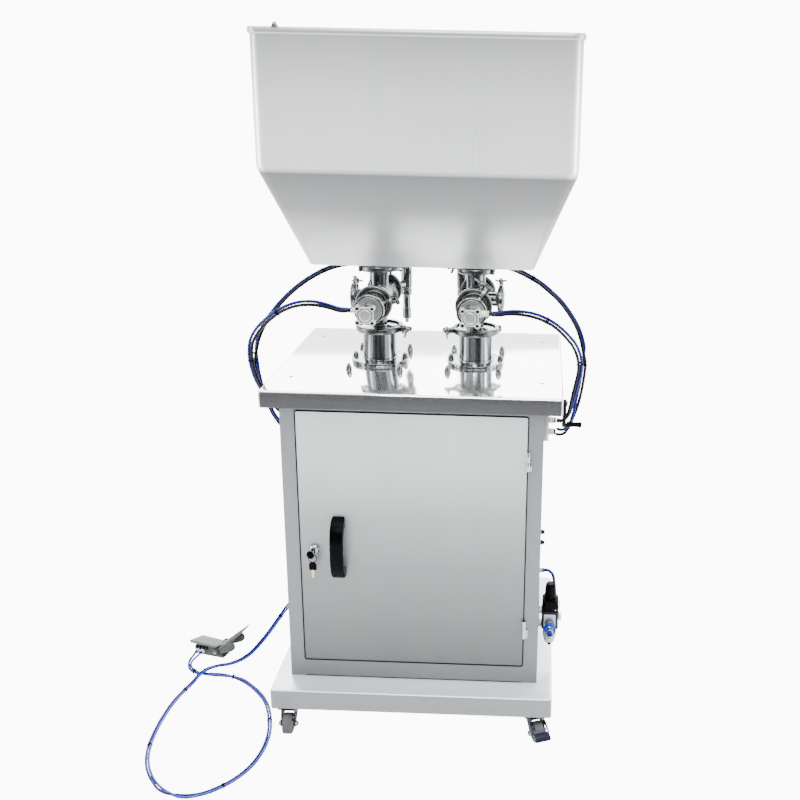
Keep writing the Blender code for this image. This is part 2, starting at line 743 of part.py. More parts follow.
def table_top(parent):
    """Folded table top on a frame that stands on the cabinet, with holes for rods and studs."""
    low = (-TABLE_HALF_WIDTH, -TABLE_OVERHANG_FRONT, TABLE_BOTTOM)
    high = (TABLE_HALF_WIDTH, CABINET_DEPTH + TABLE_OVERHANG_FRONT, TABLE_TOP)
    table = block("table_top", low, high, TABLE_CORNER)
    wall = Vector((TABLE_WALL, TABLE_WALL, 0))
    cut(table, block("table_hollow", Vector(low) + wall - Vector((0, 0, CUT_OVERRUN)),
                     Vector(high) - wall - Vector((0, 0, TABLE_WALL)), cutter=True))
    under = TABLE_TOP - TABLE_WALL
    half, inset = CABINET_WIDTH / 2 - CABINET_WALL, CABINET_WALL
    frame_low, frame_high = (-half, inset), (half, CABINET_DEPTH - inset)
    bar = TABLE_FRAME_WIDTH
    join(table, block("table_frame", (*frame_low, TABLE_BOTTOM), (*frame_high, under + WELD)))
    cut(table, block("table_frame_inside", (frame_low[0] + bar, frame_low[1] + bar, TABLE_BOTTOM - CUT_OVERRUN),
                     (frame_high[0] - bar, frame_high[1] - bar, under), cutter=True))
    boss = rod("screw_boss", SCREW_BOSS_RADIUS, under - SCREW_BOSS_HEIGHT, under + WELD,
               place=(HEAD_MIDDLE_X, SCREW_Y, 0))
    join(table, boss)
    cut(table, rod("screw_socket", SCREW_RADIUS + RUNNING_GAP, under - SCREW_BOSS_HEIGHT - CUT_OVERRUN,
                   under - TABLE_WALL, place=(HEAD_MIDDLE_X, SCREW_Y, 0), cutter=True))
    for side, x in HEAD_XS.items():
        cut(table, rod("rod_hole_" + side, TABLE_ROD_HOLE, under - CUT_OVERRUN,
                       TABLE_TOP + CUT_OVERRUN, place=(x, HEAD_Y, 0), steps=ROUND_STEPS, cutter=True))
        for dx in (-STUD_DX, STUD_DX):
            for dy in (-STUD_DY, STUD_DY):
                cut(table, rod("stud_hole", STUD_HOLE, under - CUT_OVERRUN, TABLE_TOP + CUT_OVERRUN,
                               place=(x + dx, HEAD_Y + dy, 0), cutter=True))
    return finish(table, satin_sheet(), parent)


def door_panel(hinge):
    """Folded door pan with the welded upper halves of its hinges; zero is on the hinge axis."""
    left = -DOOR_WIDTH / 2 + DOOR_SEAM - HINGE_X
    right = DOOR_WIDTH / 2 - DOOR_SEAM - HINGE_X
    front = -DOOR_PROUD - HINGE_Y
    back = front + DOOR_DEPTH
    bottom, top = DOOR_BOTTOM + DOOR_SEAM, DOOR_TOP - DOOR_SEAM
    door = block("door_panel", (left, front, bottom), (right, back, top))
    wall = DOOR_WALL
    cut(door, block("door_hollow", (left + wall, front + wall, bottom + wall),
                    (right - wall, back + CUT_OVERRUN, top - wall), cutter=True))
    for height in (HINGE_UPPER_HEIGHT, HINGE_LOWER_HEIGHT):
        web = block("door_hinge_web", (-HINGE_RADIUS - HINGE_WEB, -HINGE_WEB / 2, height + GAP),
                    (0, front + wall / 2, height + HINGE_LENGTH / 2 - GAP))
        half = rod("door_hinge_half", HINGE_RADIUS, height + GAP, height + HINGE_LENGTH / 2)
        join(door, web, half)
        cut(door, rod("hinge_pin_way", HINGE_PIN_RADIUS + RUNNING_GAP, height - CUT_OVERRUN,
                      height + HINGE_LENGTH, cutter=True))
    lock_hole = rod("lock_hole", LOCK_BARREL_RADIUS + RUNNING_GAP, -DOOR_DEPTH, DOOR_DEPTH, "Y",
                    (LOCK_X - HINGE_X, front, LOCK_HEIGHT), ROUND_STEPS, cutter=True)
    cut(door, lock_hole)
    return finish(door, satin_sheet(), hinge)


def hinge_half(name, height, parent):
    """Lower half of a weld-on hinge with its pin, on the cabinet's front."""
    place = (HINGE_X, HINGE_Y, 0)
    low = height - HINGE_LENGTH / 2
    profile = [
        (0, height + HINGE_LENGTH / 2 - GAP), (HINGE_PIN_RADIUS, height + HINGE_LENGTH / 2 - GAP),
        (HINGE_PIN_RADIUS, height), (HINGE_RADIUS, height), (HINGE_RADIUS, low), (0, low),
    ]
    half = turned(name, profile, place, steps=SMALL_STEPS)
    web = block(name + "_web", (HINGE_X + HINGE_PIN_RADIUS, HINGE_Y, low),
                (HINGE_X + HINGE_RADIUS + HINGE_WEB, -GAP, height))
    join(half, web)
    return finish(half, chrome(), parent)


def door_handle(hinge):
    """Moulded bridge handle: an arched bar on two feet, cut from one side outline."""
    front = -DOOR_PROUD - HINGE_Y - GAP
    low, high = HANDLE_BOTTOM, HANDLE_BOTTOM + HANDLE_LENGTH
    reach = front - HANDLE_PROJECTION
    round_out = HANDLE_PROJECTION * 0.6
    round_in = HANDLE_BAR
    outline = [(front, low)]
    outline += [(y, z) for y, z in arc((reach + round_out, low + round_out), round_out, 270, 180, 5)]
    outline += [(y, z) for y, z in arc((reach + round_out, high - round_out), round_out, 180, 90, 5)]
    outline += [(front, high), (front, high - HANDLE_FOOT)]
    inner = reach + HANDLE_BAR
    outline += arc((inner + round_in, high - HANDLE_FOOT - round_in), round_in, 90, 180, 3)
    outline += arc((inner + round_in, low + HANDLE_FOOT + round_in), round_in, 180, 270, 3)
    outline += [(front, low + HANDLE_FOOT)]
    x = HANDLE_X - HINGE_X
    handle = extruded("door_handle", outline, x - HANDLE_WIDTH / 2, x + HANDLE_WIDTH / 2)
    rounding = handle.modifiers.new("edges", "BEVEL")
    rounding.width = HANDLE_BAR / 4
    rounding.segments = 2
    rounding.limit_method = "ANGLE"
    rounding.angle_limit = math.radians(50)
    return finish(handle, black_plastic(), hinge)


def lock_body(hinge):
    """Chrome cam lock housing through the door, bored for the plug."""
    front = -DOOR_PROUD - HINGE_Y
    place = (LOCK_X - HINGE_X, front, LOCK_HEIGHT)
    inner = LOCK_BARREL_RADIUS * 0.6
    profile = [
        (inner, LOCK_PROJECTION), (LOCK_FACE_RADIUS, LOCK_PROJECTION),
        (LOCK_RADIUS, LOCK_PROJECTION * 0.7), (LOCK_RADIUS, GAP), (LOCK_BARREL_RADIUS, GAP),
        (LOCK_BARREL_RADIUS, -LOCK_BARREL_LENGTH), (inner, -LOCK_BARREL_LENGTH),
    ]
    return finish(turned("lock_body", profile, place, "-Y", closed=True), chrome(), hinge)


def lock_key(plug):
    """Plug with its key and rear cam; zero is on the lock's axis at the door's face."""
    radius = LOCK_BARREL_RADIUS * 0.6 - RUNNING_GAP
    key = rod("lock_key", radius, -LOCK_BARREL_LENGTH - LOCK_CAM_THICKNESS - GAP, LOCK_PROJECTION, "-Y")
    tip = -LOCK_PROJECTION - KEY_BLADE_OUT
    half = KEY_THICKNESS / 2
    blade = block("key_blade", (-half, tip - WELD, -KEY_BLADE_WIDTH / 2),
                  (half, -LOCK_PROJECTION + WELD, KEY_BLADE_WIDTH / 2))
    bow = extruded("key_bow", key_bow_outline(tip), -half, half, "YZ")
    cam_back = LOCK_BARREL_LENGTH + LOCK_CAM_THICKNESS + GAP
    cam = block("lock_cam", (-LOCK_CAM_WIDTH / 2, LOCK_BARREL_LENGTH + GAP, -radius - LOCK_CAM_LENGTH),
                (LOCK_CAM_WIDTH / 2, cam_back, LOCK_CAM_WIDTH / 2))
    join(key, blade, bow, cam)
    cut(key, rod("key_hole", KEY_HOLE_RADIUS, -KEY_BOW_WIDTH, KEY_BOW_WIDTH, "X",
                 (0, tip - KEY_BOW_LENGTH + 2 * KEY_HOLE_RADIUS, 0), cutter=True))
    return finish(key, black_plastic(), plug)


def key_bow_outline(tip):
    half = KEY_BOW_WIDTH / 2
    corner = half / 2
    return [
        (tip, -half + corner), (tip, half - corner), (tip - corner, half),
        (tip - KEY_BOW_LENGTH + corner, half), (tip - KEY_BOW_LENGTH, half - corner),
        (tip - KEY_BOW_LENGTH, -half + corner), (tip - KEY_BOW_LENGTH + corner, -half),
        (tip - corner, -half),
    ]


def spare_key(swing):
    """Second key and its wire ring, hanging from the hole in the first key's bow."""
    reach = KEY_RING_RADIUS + KEY_HOLE_RADIUS - KEY_RING_WIRE - 2 * GAP
    wire = [(KEY_RING_RADIUS + KEY_RING_WIRE * math.cos(a), KEY_RING_WIRE * math.sin(a))
            for a in (math.radians(60 * i) for i in range(6))][::-1]
    ring = turned("spare_key", wire, (0, 0, -reach), "-Y", closed=True)
    half = KEY_THICKNESS / 2
    low = -reach - KEY_RING_RADIUS - KEY_BOW_LENGTH + KEY_RING_WIRE
    corner = KEY_BOW_WIDTH / 4
    width = KEY_BOW_WIDTH / 2 - KEY_RING_WIRE
    bow_outline = [(-width, low), (width, low), (width, low + KEY_BOW_LENGTH - corner),
                   (width - corner, low + KEY_BOW_LENGTH), (-width + corner, low + KEY_BOW_LENGTH),
                   (-width, low + KEY_BOW_LENGTH - corner)]
    bow = extruded("spare_bow", bow_outline, -half, half, "XZ")
    blade = block("spare_blade", (-KEY_BLADE_WIDTH / 2, -half / 2, low - KEY_BLADE_LENGTH),
                  (KEY_BLADE_WIDTH / 2, half / 2, low + WELD))
    join(ring, bow, blade)
    return finish(ring, black_plastic(), swing)


def fork_outline():
    """Side view of a caster fork: flat top, and legs that taper back to the axle."""
    top = CASTER_HEIGHT - CASTER_PLATE_THICKNESS - GAP - FORK_RACE_HEIGHT
    half = FORK_TOP_LENGTH / 2
    axle = (-CASTER_TRAIL, WHEEL_RADIUS)
    return [(half, top), (-half, top), *arc(axle, FORK_TIP_RADIUS, 150, 330, 6), (half, top - 3 * FORK_WALL)]


def caster(name, parent):
    """One swivel caster: a fork turning under its plate and a wheel on the fork's axle."""
    x, y = CASTER_PLACES[name]
    swivel = empty("caster_swivel_" + name, (x, y, 0), parent, (0, 0, math.radians(CASTER_ANGLES[name])))
    top = CASTER_HEIGHT - CASTER_PLATE_THICKNESS - GAP
    fork = extruded("caster_fork_" + name, fork_outline(), -FORK_WIDTH / 2, FORK_WIDTH / 2)
    inner = FORK_WIDTH / 2 - FORK_WALL
    low = WHEEL_RADIUS - FORK_TIP_RADIUS - CUT_OVERRUN
    reach = CASTER_TRAIL + FORK_TOP_LENGTH
    cut(fork, block("fork_slot", (-inner, -reach, low), (inner, reach, top - FORK_RACE_HEIGHT - FORK_WALL),
                    cutter=True))
    race = rod("fork_race", FORK_RACE_RADIUS, top - FORK_RACE_HEIGHT - WELD, top, steps=ROUND_STEPS)
    out = FORK_WIDTH / 2 + AXLE_NUT_HEIGHT
    axle_place = (0, -CASTER_TRAIL, WHEEL_RADIUS)
    axle = rod("fork_axle", AXLE_RADIUS, -out, out, "X", axle_place)
    join(fork, race, axle)
    for sign in (-1, 1):
        start, end = sorted((sign * (FORK_WIDTH / 2 - WELD), sign * (out - WELD)))
        join(fork, rod("axle_nut", AXLE_NUT_RADIUS, start, end, "X", axle_place, steps=6))
    if name == BRAKED_CASTER:
        brake_pins(fork)
    finish(fork, black_steel(), swivel)
    spin = empty("caster_axle_" + name, axle_place, swivel)
    bore = AXLE_RADIUS + RUNNING_GAP
    half, hub, dish = WHEEL_WIDTH / 2, WHEEL_HUB_WIDTH / 2, WHEEL_WIDTH / 2 - WHEEL_DISH
    edge = WHEEL_TREAD_ROUND
    profile = [
        (bore, hub), (WHEEL_HUB_RADIUS, hub), (WHEEL_HUB_RADIUS, dish), (WHEEL_RIM_RADIUS, dish),
        (WHEEL_RIM_RADIUS + WHEEL_DISH, half), (WHEEL_RADIUS - edge / 2, half), (WHEEL_RADIUS, half - edge),
    ]
    mirrored = [(radius, -height) for radius, height in reversed(profile)]
    wheel = turned("caster_wheel_" + name, profile + mirrored, axis="X", steps=ROUND_STEPS, closed=True)
    finish(wheel, grey_rubber(), spin)
    return swivel


def brake_pivot():
    """Place of the brake's hinge pins in its caster's own frame."""
    return Vector((0, -CASTER_TRAIL, BRAKE_PIVOT_HEIGHT))


def brake_pins(fork):
    """Pins on both sides of a fork that carry the brake lever."""
    inner = FORK_WIDTH / 2 - FORK_WALL / 2
    outer = FORK_WIDTH / 2 + GAP + FORK_WALL
    for start, end in ((-outer, -inner), (inner, outer)):
        join(fork, rod("brake_pin", BRAKE_PIN_RADIUS, start, end, "X", brake_pivot()))


def brake_pedal(swivel):
    """Brake lever of one front caster, hinged on the fork's pins; zero is on their axis."""
    hinge = empty("brake_hinge", brake_pivot(), swivel)
    tilt = math.radians(BRAKE_TILT)
    out = (-math.cos(tilt), -math.sin(tilt))
    up = (-math.sin(tilt), math.cos(tilt))

    def placed(corners):
        return [(a * out[0] + b * up[0], a * out[1] + b * up[1]) for a, b in corners]

    start, end, thick = BRAKE_START, BRAKE_START + BRAKE_LENGTH, BRAKE_THICKNESS
    plate = placed([(start, 0), (end, 0), (end, thick), (start, thick)])
    lever = extruded("brake_pedal", plate, -BRAKE_WIDTH / 2, BRAKE_WIDTH / 2)
    half = BRAKE_ARM_HALF
    reach = start + BRAKE_LENGTH / 2
    side = placed([(-half, -half), (reach, thick * 0.2), (reach, thick * 0.8), (-half, half)])
    inner = FORK_WIDTH / 2 + 2 * GAP
    for low, high in ((-inner - FORK_WALL, -inner), (inner, inner + FORK_WALL)):
        join(lever, extruded("brake_arm", side, low, high))
    cut(lever, rod("brake_pin_way", BRAKE_PIN_RADIUS + RUNNING_GAP, -BRAKE_WIDTH, BRAKE_WIDTH, "X", cutter=True))
    return finish(lever, black_plastic(), hinge)


def hopper(parent):
    """Lofted sheet hopper with a rolled rim and two welded outlet ferrules."""
    bend = HOPPER_BEND_SOFTNESS
    taper_z = HOPPER_BEND - HOPPER_BOTTOM
    slope_x, slope_y = HOPPER_TAPER / taper_z, HOPPER_TAPER_DEPTH / taper_z
    rim_low = HOPPER_TOP - RIM_HEIGHT

    def ring(height, proud):
        """Half sizes and corner radius of the wall at a height."""
        drop = max(0.0, HOPPER_BEND - height)
        soft = 0.0
        if abs(height - HOPPER_BEND) < bend:
            soft = (bend - abs(height - HOPPER_BEND)) ** 2 / (4 * bend)
        share = min(1.0, drop / taper_z)
        corner = HOPPER_CORNER + (HOPPER_CORNER_BOTTOM - HOPPER_CORNER) * share
        half_x = HOPPER_HALF_WIDTH - slope_x * (drop + soft) + proud
        half_y = HOPPER_HALF_DEPTH - slope_y * (drop + soft) + proud
        return half_x, half_y, corner + proud

    outer = [(HOPPER_BOTTOM, 0), (HOPPER_BEND - bend, 0), (HOPPER_BEND, 0), (HOPPER_BEND + bend, 0),
             (rim_low, 0), (rim_low, RIM_PROUD - RIM_ROUND), (rim_low + RIM_ROUND, RIM_PROUD),
             (HOPPER_TOP - RIM_ROUND, RIM_PROUD), (HOPPER_TOP, RIM_PROUD - RIM_ROUND)]
    wall = HOPPER_WALL
    inner = [(HOPPER_TOP, -wall), (HOPPER_BEND + bend, -wall), (HOPPER_BEND, -wall),
             (HOPPER_BEND - bend, -wall), (HOPPER_BOTTOM + wall, -wall)]
    bm = bmesh.new()
    loops = []
    for height, proud in outer + inner:
        half_x, half_y, corner = ring(height, proud)
        points = rounded_rectangle(half_x, half_y, corner)
        loops.append([bm.verts.new((x, HEAD_Y + y, height)) for x, y in points])
    for low, high in zip(loops, loops[1:]):
        for i, vert in enumerate(low):
            j = (i + 1) % len(low)
            bm.faces.new((vert, low[j], high[j], high[i]))
    bm.faces.new(list(reversed(loops[0])))
    bm.faces.new(loops[-1])
    bmesh.ops.recalc_face_normals(bm, faces=bm.faces)
    mesh = bpy.data.meshes.new("hopper")
    bm.to_mesh(mesh)
    bm.free()
    shell = object_from("hopper", mesh)
    for x in HEAD_XS.values():
        place = (x, HEAD_Y, 0)
        low = OUTLET_CLAMP_MIDDLE + GAP / 2
        tube = [(NECK_RADIUS, HOPPER_BOTTOM + wall / 2), (NECK_RADIUS, low + FERRULE_THICKNESS),
                (OUTLET_FERRULE_RADIUS, low + FERRULE_THICKNESS), (OUTLET_FERRULE_RADIUS, low),
                (NECK_BORE - wall, low), (NECK_BORE - wall, HOPPER_BOTTOM + wall / 2)]
        join(shell, turned("outlet_ferrule", tube, place, steps=FINE_STEPS, closed=True))
        cut(shell, rod("outlet_bore", NECK_BORE, low - CUT_OVERRUN, HOPPER_BOTTOM + CUT_OVERRUN,
                       place=place, steps=ROUND_STEPS, cutter=True))
    stud = turned("lid_stud", [(0, HOPPER_TOP + LID_STUD_HEIGHT), (LID_STUD_RADIUS * 0.7,
                  HOPPER_TOP + LID_STUD_HEIGHT * 0.8), (LID_STUD_RADIUS, HOPPER_TOP + LID_STUD_HEIGHT / 2),
                  (LID_STUD_RADIUS, HOPPER_TOP - LID_STUD_HEIGHT), (0, HOPPER_TOP - LID_STUD_HEIGHT)],
                  (LID_STUD_X, HEAD_Y - HOPPER_HALF_DEPTH - RIM_PROUD + LID_STUD_RADIUS, 0),
                  steps=SMALL_STEPS)
    join(shell, stud)
    return finish(shell, satin_sheet(), parent)


def dome_nut(name, radius, base, height, place):
    """A hexagon cap nut with a domed end, standing on its base."""
    hexagon = base + height * 0.55
    profile = [(0, base + height), (radius * 0.55, base + height * 0.9), (radius * 0.8, hexagon),
               (radius, hexagon), (radius, base), (0, base)]
    return turned(name, profile, place, steps=6)


def fill_cylinder(side, parent):
    """Filling cylinder: ferrule at the top, polished tube, and a flange with two cap nuts."""
    x = HEAD_XS[side]
    flange = FILL_BASE + FILL_FLANGE_THICKNESS
    neck = FILL_TOP - FERRULE_THICKNESS - FERRULE_SLOPE
    floor = FILL_BASE + FILL_FLOOR
    rod_way = ROD_RADIUS + RUNNING_GAP
    profile = [
        (FILL_FERRULE_RADIUS, FILL_TOP), (FILL_FERRULE_RADIUS, FILL_TOP - FERRULE_THICKNESS),
        (FILL_RADIUS, neck), (FILL_RADIUS, flange), (FILL_FLANGE_RADIUS, flange),
        (FILL_FLANGE_RADIUS, FILL_BASE), (rod_way, FILL_BASE), (rod_way, floor), (FILL_BORE, floor),
        (FILL_BORE, FILL_TOP),
    ]
    tube = turned("fill_cylinder_" + side, profile, (x, HEAD_Y, 0), steps=FINE_STEPS, closed=True)
    for sign in (-1, 1):
        join(tube, dome_nut("flange_nut", NUT_RADIUS, flange - WELD, NUT_HEIGHT,
                            (x + sign * FLANGE_NUT_PITCH, HEAD_Y, 0)))
    return finish(tube, polished_steel(), parent)


def drive_cylinder(side, parent):
    """Air cylinder under the table, on a plate whose four studs come up through the table."""
    x = HEAD_XS[side]
    half_x, half_y = DRIVE_PLATE_X / 2, DRIVE_PLATE_Y / 2
    plate = block("drive_cylinder_" + side, (x - half_x, HEAD_Y - half_y, DRIVE_BODY_TOP),
                  (x + half_x, HEAD_Y + half_y, DRIVE_TOP))
    shell = rod("drive_shell", DRIVE_RADIUS, DRIVE_BOTTOM + DRIVE_END - WELD, DRIVE_BODY_TOP + WELD,
                place=(x, HEAD_Y, 0), steps=ROUND_STEPS)
    end_half = DRIVE_RADIUS + FORK_WALL
    end_cap = block("drive_end", (x - end_half, HEAD_Y - end_half, DRIVE_BOTTOM),
                    (x + end_half, HEAD_Y + end_half, DRIVE_BOTTOM + DRIVE_END))
    join(plate, shell, end_cap)
    cut(plate, rod("drive_bore", DRIVE_BORE, DRIVE_BOTTOM + DRIVE_END, DRIVE_BODY_TOP - DRIVE_END,
                   place=(x, HEAD_Y, 0), steps=FINE_STEPS, cutter=True))
    cut(plate, rod("drive_rod_way", ROD_RADIUS + RUNNING_GAP, DRIVE_BOTTOM - CUT_OVERRUN,
                   DRIVE_TOP + CUT_OVERRUN, place=(x, HEAD_Y, 0), steps=ROUND_STEPS, cutter=True))
    for dx in (-STUD_DX, STUD_DX):
        for dy in (-STUD_DY, STUD_DY):
            place = (x + dx, HEAD_Y + dy, 0)
            stud = rod("stud", STUD_RADIUS, DRIVE_BODY_TOP + WELD, TABLE_TOP + NUT_HEIGHT / 2,
                       place=place, steps=TINY_STEPS)
            nut = dome_nut("stud_nut", NUT_RADIUS, TABLE_TOP + GAP, STUD_NUT_HEIGHT, place)
            join(plate, stud, nut)
    return finish(plate, anodised_aluminium(), parent)


def piston(side, slide):
    """Filling piston, drive piston and stroke collar on one rod; zero is on the rod's axis."""
    top = PISTON_REST + PISTON_HEIGHT
    groove = PISTON_RING_GROOVE
    fill = FILL_BORE - RUNNING_GAP
    drive = DRIVE_BORE - RUNNING_GAP
    drive_top = DRIVE_PISTON_REST + DRIVE_PISTON_HEIGHT
    foot = ROD_COLLAR_TOP - ROD_COLLAR_HEIGHT
    middle = PISTON_REST + PISTON_HEIGHT / 2
    profile = [
        (0, top), (fill - groove, top), (fill, top - groove), (fill, middle + groove),
        (fill - groove, middle + groove), (fill - groove, middle - groove), (fill, middle - groove),
        (fill, PISTON_REST), (ROD_RADIUS, PISTON_REST), (ROD_RADIUS, drive_top), (drive, drive_top),
        (drive, DRIVE_PISTON_REST), (ROD_RADIUS, DRIVE_PISTON_REST), (ROD_RADIUS, ROD_COLLAR_TOP),
        (ROD_COLLAR_RADIUS, ROD_COLLAR_TOP), (ROD_COLLAR_RADIUS, foot), (0, foot),
    ]
    return finish(turned("piston_" + side, profile, steps=FINE_STEPS), white_seal(), slide)


def clamp(name, ferrule, place, axis, spread, hand, look, parent):
    """A hinged pipe clamp: grooved ring split at one side, ears, hinge block and eye bolt.

    spread is the direction, in the ring's own plane, in which its ears stand out, and
    hand is the side of the ears that the bolt's nut is on."""
    height, lip = CLAMP_HEIGHT, CLAMP_LIP
    outer = ferrule + CLAMP_WALL
    groove = FERRULE_THICKNESS + 2 * GAP
    inner = ferrule - lip
    profile = [
        (outer, height / 2), (outer, -height / 2), (inner, -height / 2), (ferrule + GAP, -groove),
        (ferrule + GAP, groove), (inner, height / 2),
    ]
    ring = turned(name, profile, place, axis, FINE_STEPS, closed=True)
    turn = math.atan2(spread[1], spread[0])
    frame = Matrix.Translation(place) @ TURNS[axis] @ Matrix.Rotation(turn, 4, "Z")
    split = CLAMP_SPLIT / 2
    thick = CLAMP_EAR_THICKNESS
    ear = CLAMP_EAR_SHARE * ferrule
    reach = outer + ear
    pieces = [
        block("clamp_ears", (outer - CLAMP_WALL + GAP * 2, -split - thick, -height / 3),
              (reach, split + thick, height / 3)),
        block("clamp_hinge", (-outer - thick, -split, -height / 2), (-outer + CLAMP_WALL / 2, split, height / 2)),
    ]
    for piece in pieces:
        piece.matrix_basis = frame
        join(ring, piece)
    slot = block("clamp_slot", (inner - CUT_OVERRUN, -split, -height), (reach + CUT_OVERRUN, split, height),
                 cutter=True)
    slot.matrix_basis = frame
    cut(ring, slot)
    middle = outer + CLAMP_BOLT_SHARE * ear
    shank = rod("clamp_bolt", CLAMP_BOLT_RADIUS, -split - thick - CLAMP_BOLT_RADIUS,
                CLAMP_BOLT_LENGTH - split - thick, steps=TINY_STEPS)
    shank.matrix_basis = frame @ Matrix.Translation((middle, 0, 0)) @ TURNS["Y" if hand > 0 else "-Y"]
    join(ring, shank)
    return finish(ring, look, parent)


def clamp_bolt_frame(ferrule, place, axis, spread, hand):
    """Where a clamp's wing nut sits: on its bolt, against the far ear, axis along local Z."""
    turn = math.atan2(spread[1], spread[0])
    middle = ferrule + CLAMP_WALL + CLAMP_BOLT_SHARE * CLAMP_EAR_SHARE * ferrule
    seat = CLAMP_SPLIT / 2 + CLAMP_EAR_THICKNESS + GAP
    return (Matrix.Translation(place) @ TURNS[axis] @ Matrix.Rotation(turn, 4, "Z")
            @ Matrix.Translation((middle, hand * seat, 0)) @ TURNS["Y" if hand > 0 else "-Y"])


def wing_nut(name, spin):
    """Hub with two swept wings; zero is on the bolt's axis at the ear."""
    bore = CLAMP_BOLT_RADIUS + RUNNING_GAP
    hub = turned(name, ring_profile(bore, WING_HUB_RADIUS, 0, WING_HUB_HEIGHT), steps=SMALL_STEPS, closed=True)
    half = WING_THICKNESS / 2
    for sign in (-1, 1):
        outline = [(sign * a, b) for a, b in (
            (WING_HUB_RADIUS * 0.8, 0), (WING_SPAN / 2, WING_HEIGHT * 0.45), (WING_SPAN / 2, WING_HEIGHT),
            (WING_SPAN * 0.36, WING_HEIGHT), (WING_HUB_RADIUS * 0.8, WING_HUB_HEIGHT))]
        join(hub, extruded("wing", outline, -half, half, "YZ"))
    return finish(hub, polished_steel(), spin)


def valve_body(side, parent):
    """Cross-shaped valve body: barrel along Y, necks up and down, a capped side port."""
    x = HEAD_XS[side]
    place = (x, HEAD_Y, BARREL_HEIGHT)
    end = BARREL_HALF_LENGTH - GAP / 2
    lip = end - FERRULE_THICKNESS
    shoulder = lip - FERRULE_SLOPE
    barrel = turned("valve_body_" + side, [
        (0, end), (BARREL_FERRULE_RADIUS, end), (BARREL_FERRULE_RADIUS, lip),
        (BARREL_RADIUS, shoulder), (BARREL_RADIUS, -shoulder), (BARREL_FERRULE_RADIUS, -lip),
        (BARREL_FERRULE_RADIUS, -end), (0, -end)], place, "Y", FINE_STEPS)
    top = OUTLET_CLAMP_MIDDLE - GAP / 2
    foot = FILL_TOP + GAP
    upper = turned("upper_neck", [
        (0, top), (OUTLET_FERRULE_RADIUS, top), (OUTLET_FERRULE_RADIUS, top - FERRULE_THICKNESS),
        (NECK_RADIUS, top - FERRULE_THICKNESS - FERRULE_SLOPE), (NECK_RADIUS, BARREL_HEIGHT),
        (0, BARREL_HEIGHT)], (x, HEAD_Y, 0), steps=FINE_STEPS)
    lower = turned("lower_neck", [
        (0, BARREL_HEIGHT), (LOWER_NECK_RADIUS, BARREL_HEIGHT),
        (LOWER_NECK_RADIUS, foot + FERRULE_THICKNESS + FERRULE_SLOPE),
        (FILL_FERRULE_RADIUS, foot + FERRULE_THICKNESS), (FILL_FERRULE_RADIUS, foot), (0, foot)],
        (x, HEAD_Y, 0), steps=FINE_STEPS)
    axis = "X" if OUTWARD[side] > 0 else "-X"
    out = SIDE_PORT_OUT
    half = SIDE_CLAMP_HEIGHT / 2
    port = turned("side_port", [
        (0, out + half + SIDE_CAP_THICKNESS / 2), (SIDE_FERRULE_RADIUS, out + half + SIDE_CAP_THICKNESS / 2),
        (SIDE_FERRULE_RADIUS, out + half), (SIDE_CLAMP_RADIUS, out + half), (SIDE_CLAMP_RADIUS, out - half),
        (SIDE_PORT_RADIUS, out - half - FERRULE_SLOPE), (SIDE_PORT_RADIUS, 0), (0, 0)], place, axis, FINE_STEPS)
    join(barrel, upper, lower, port)
    bores = [
        rod("barrel_bore", BARREL_BORE, -BARREL_HALF_LENGTH - CUT_OVERRUN, BARREL_HALF_LENGTH + CUT_OVERRUN,
            "Y", place, ROUND_STEPS, cutter=True),
        rod("neck_bore", NECK_BORE, foot - CUT_OVERRUN, top + CUT_OVERRUN, place=(x, HEAD_Y, 0),
            steps=ROUND_STEPS, cutter=True),
    ]
    cut(barrel, *bores)
    return finish(barrel, polished_steel(), parent)


def valve_spool(side, slide):
    """Spool with three lands on the air cylinder's rod; zero is on the barrel's axis."""
    land = BARREL_BORE - RUNNING_GAP
    back = SPOOL_LENGTH / 2
    front = -BARREL_HALF_LENGTH - ADAPTER_LENGTH - AIR_CYLINDER_LENGTH / 2
    piston_radius = AIR_CYLINDER_BORE - RUNNING_GAP
    profile = [
        (0, back), (land, back), (land, back - SPOOL_LAND), (SPOOL_WAIST, back - SPOOL_LAND),
        (SPOOL_WAIST, -back + SPOOL_LAND), (land, -back + SPOOL_LAND), (land, -back),
        (SPOOL_ROD_RADIUS, -back), (SPOOL_ROD_RADIUS, front + AIR_PISTON_LENGTH),
        (piston_radius, front + AIR_PISTON_LENGTH), (piston_radius, front), (0, front),
    ]
    return finish(turned("valve_spool_" + side, profile, axis="Y"), white_seal(), slide)


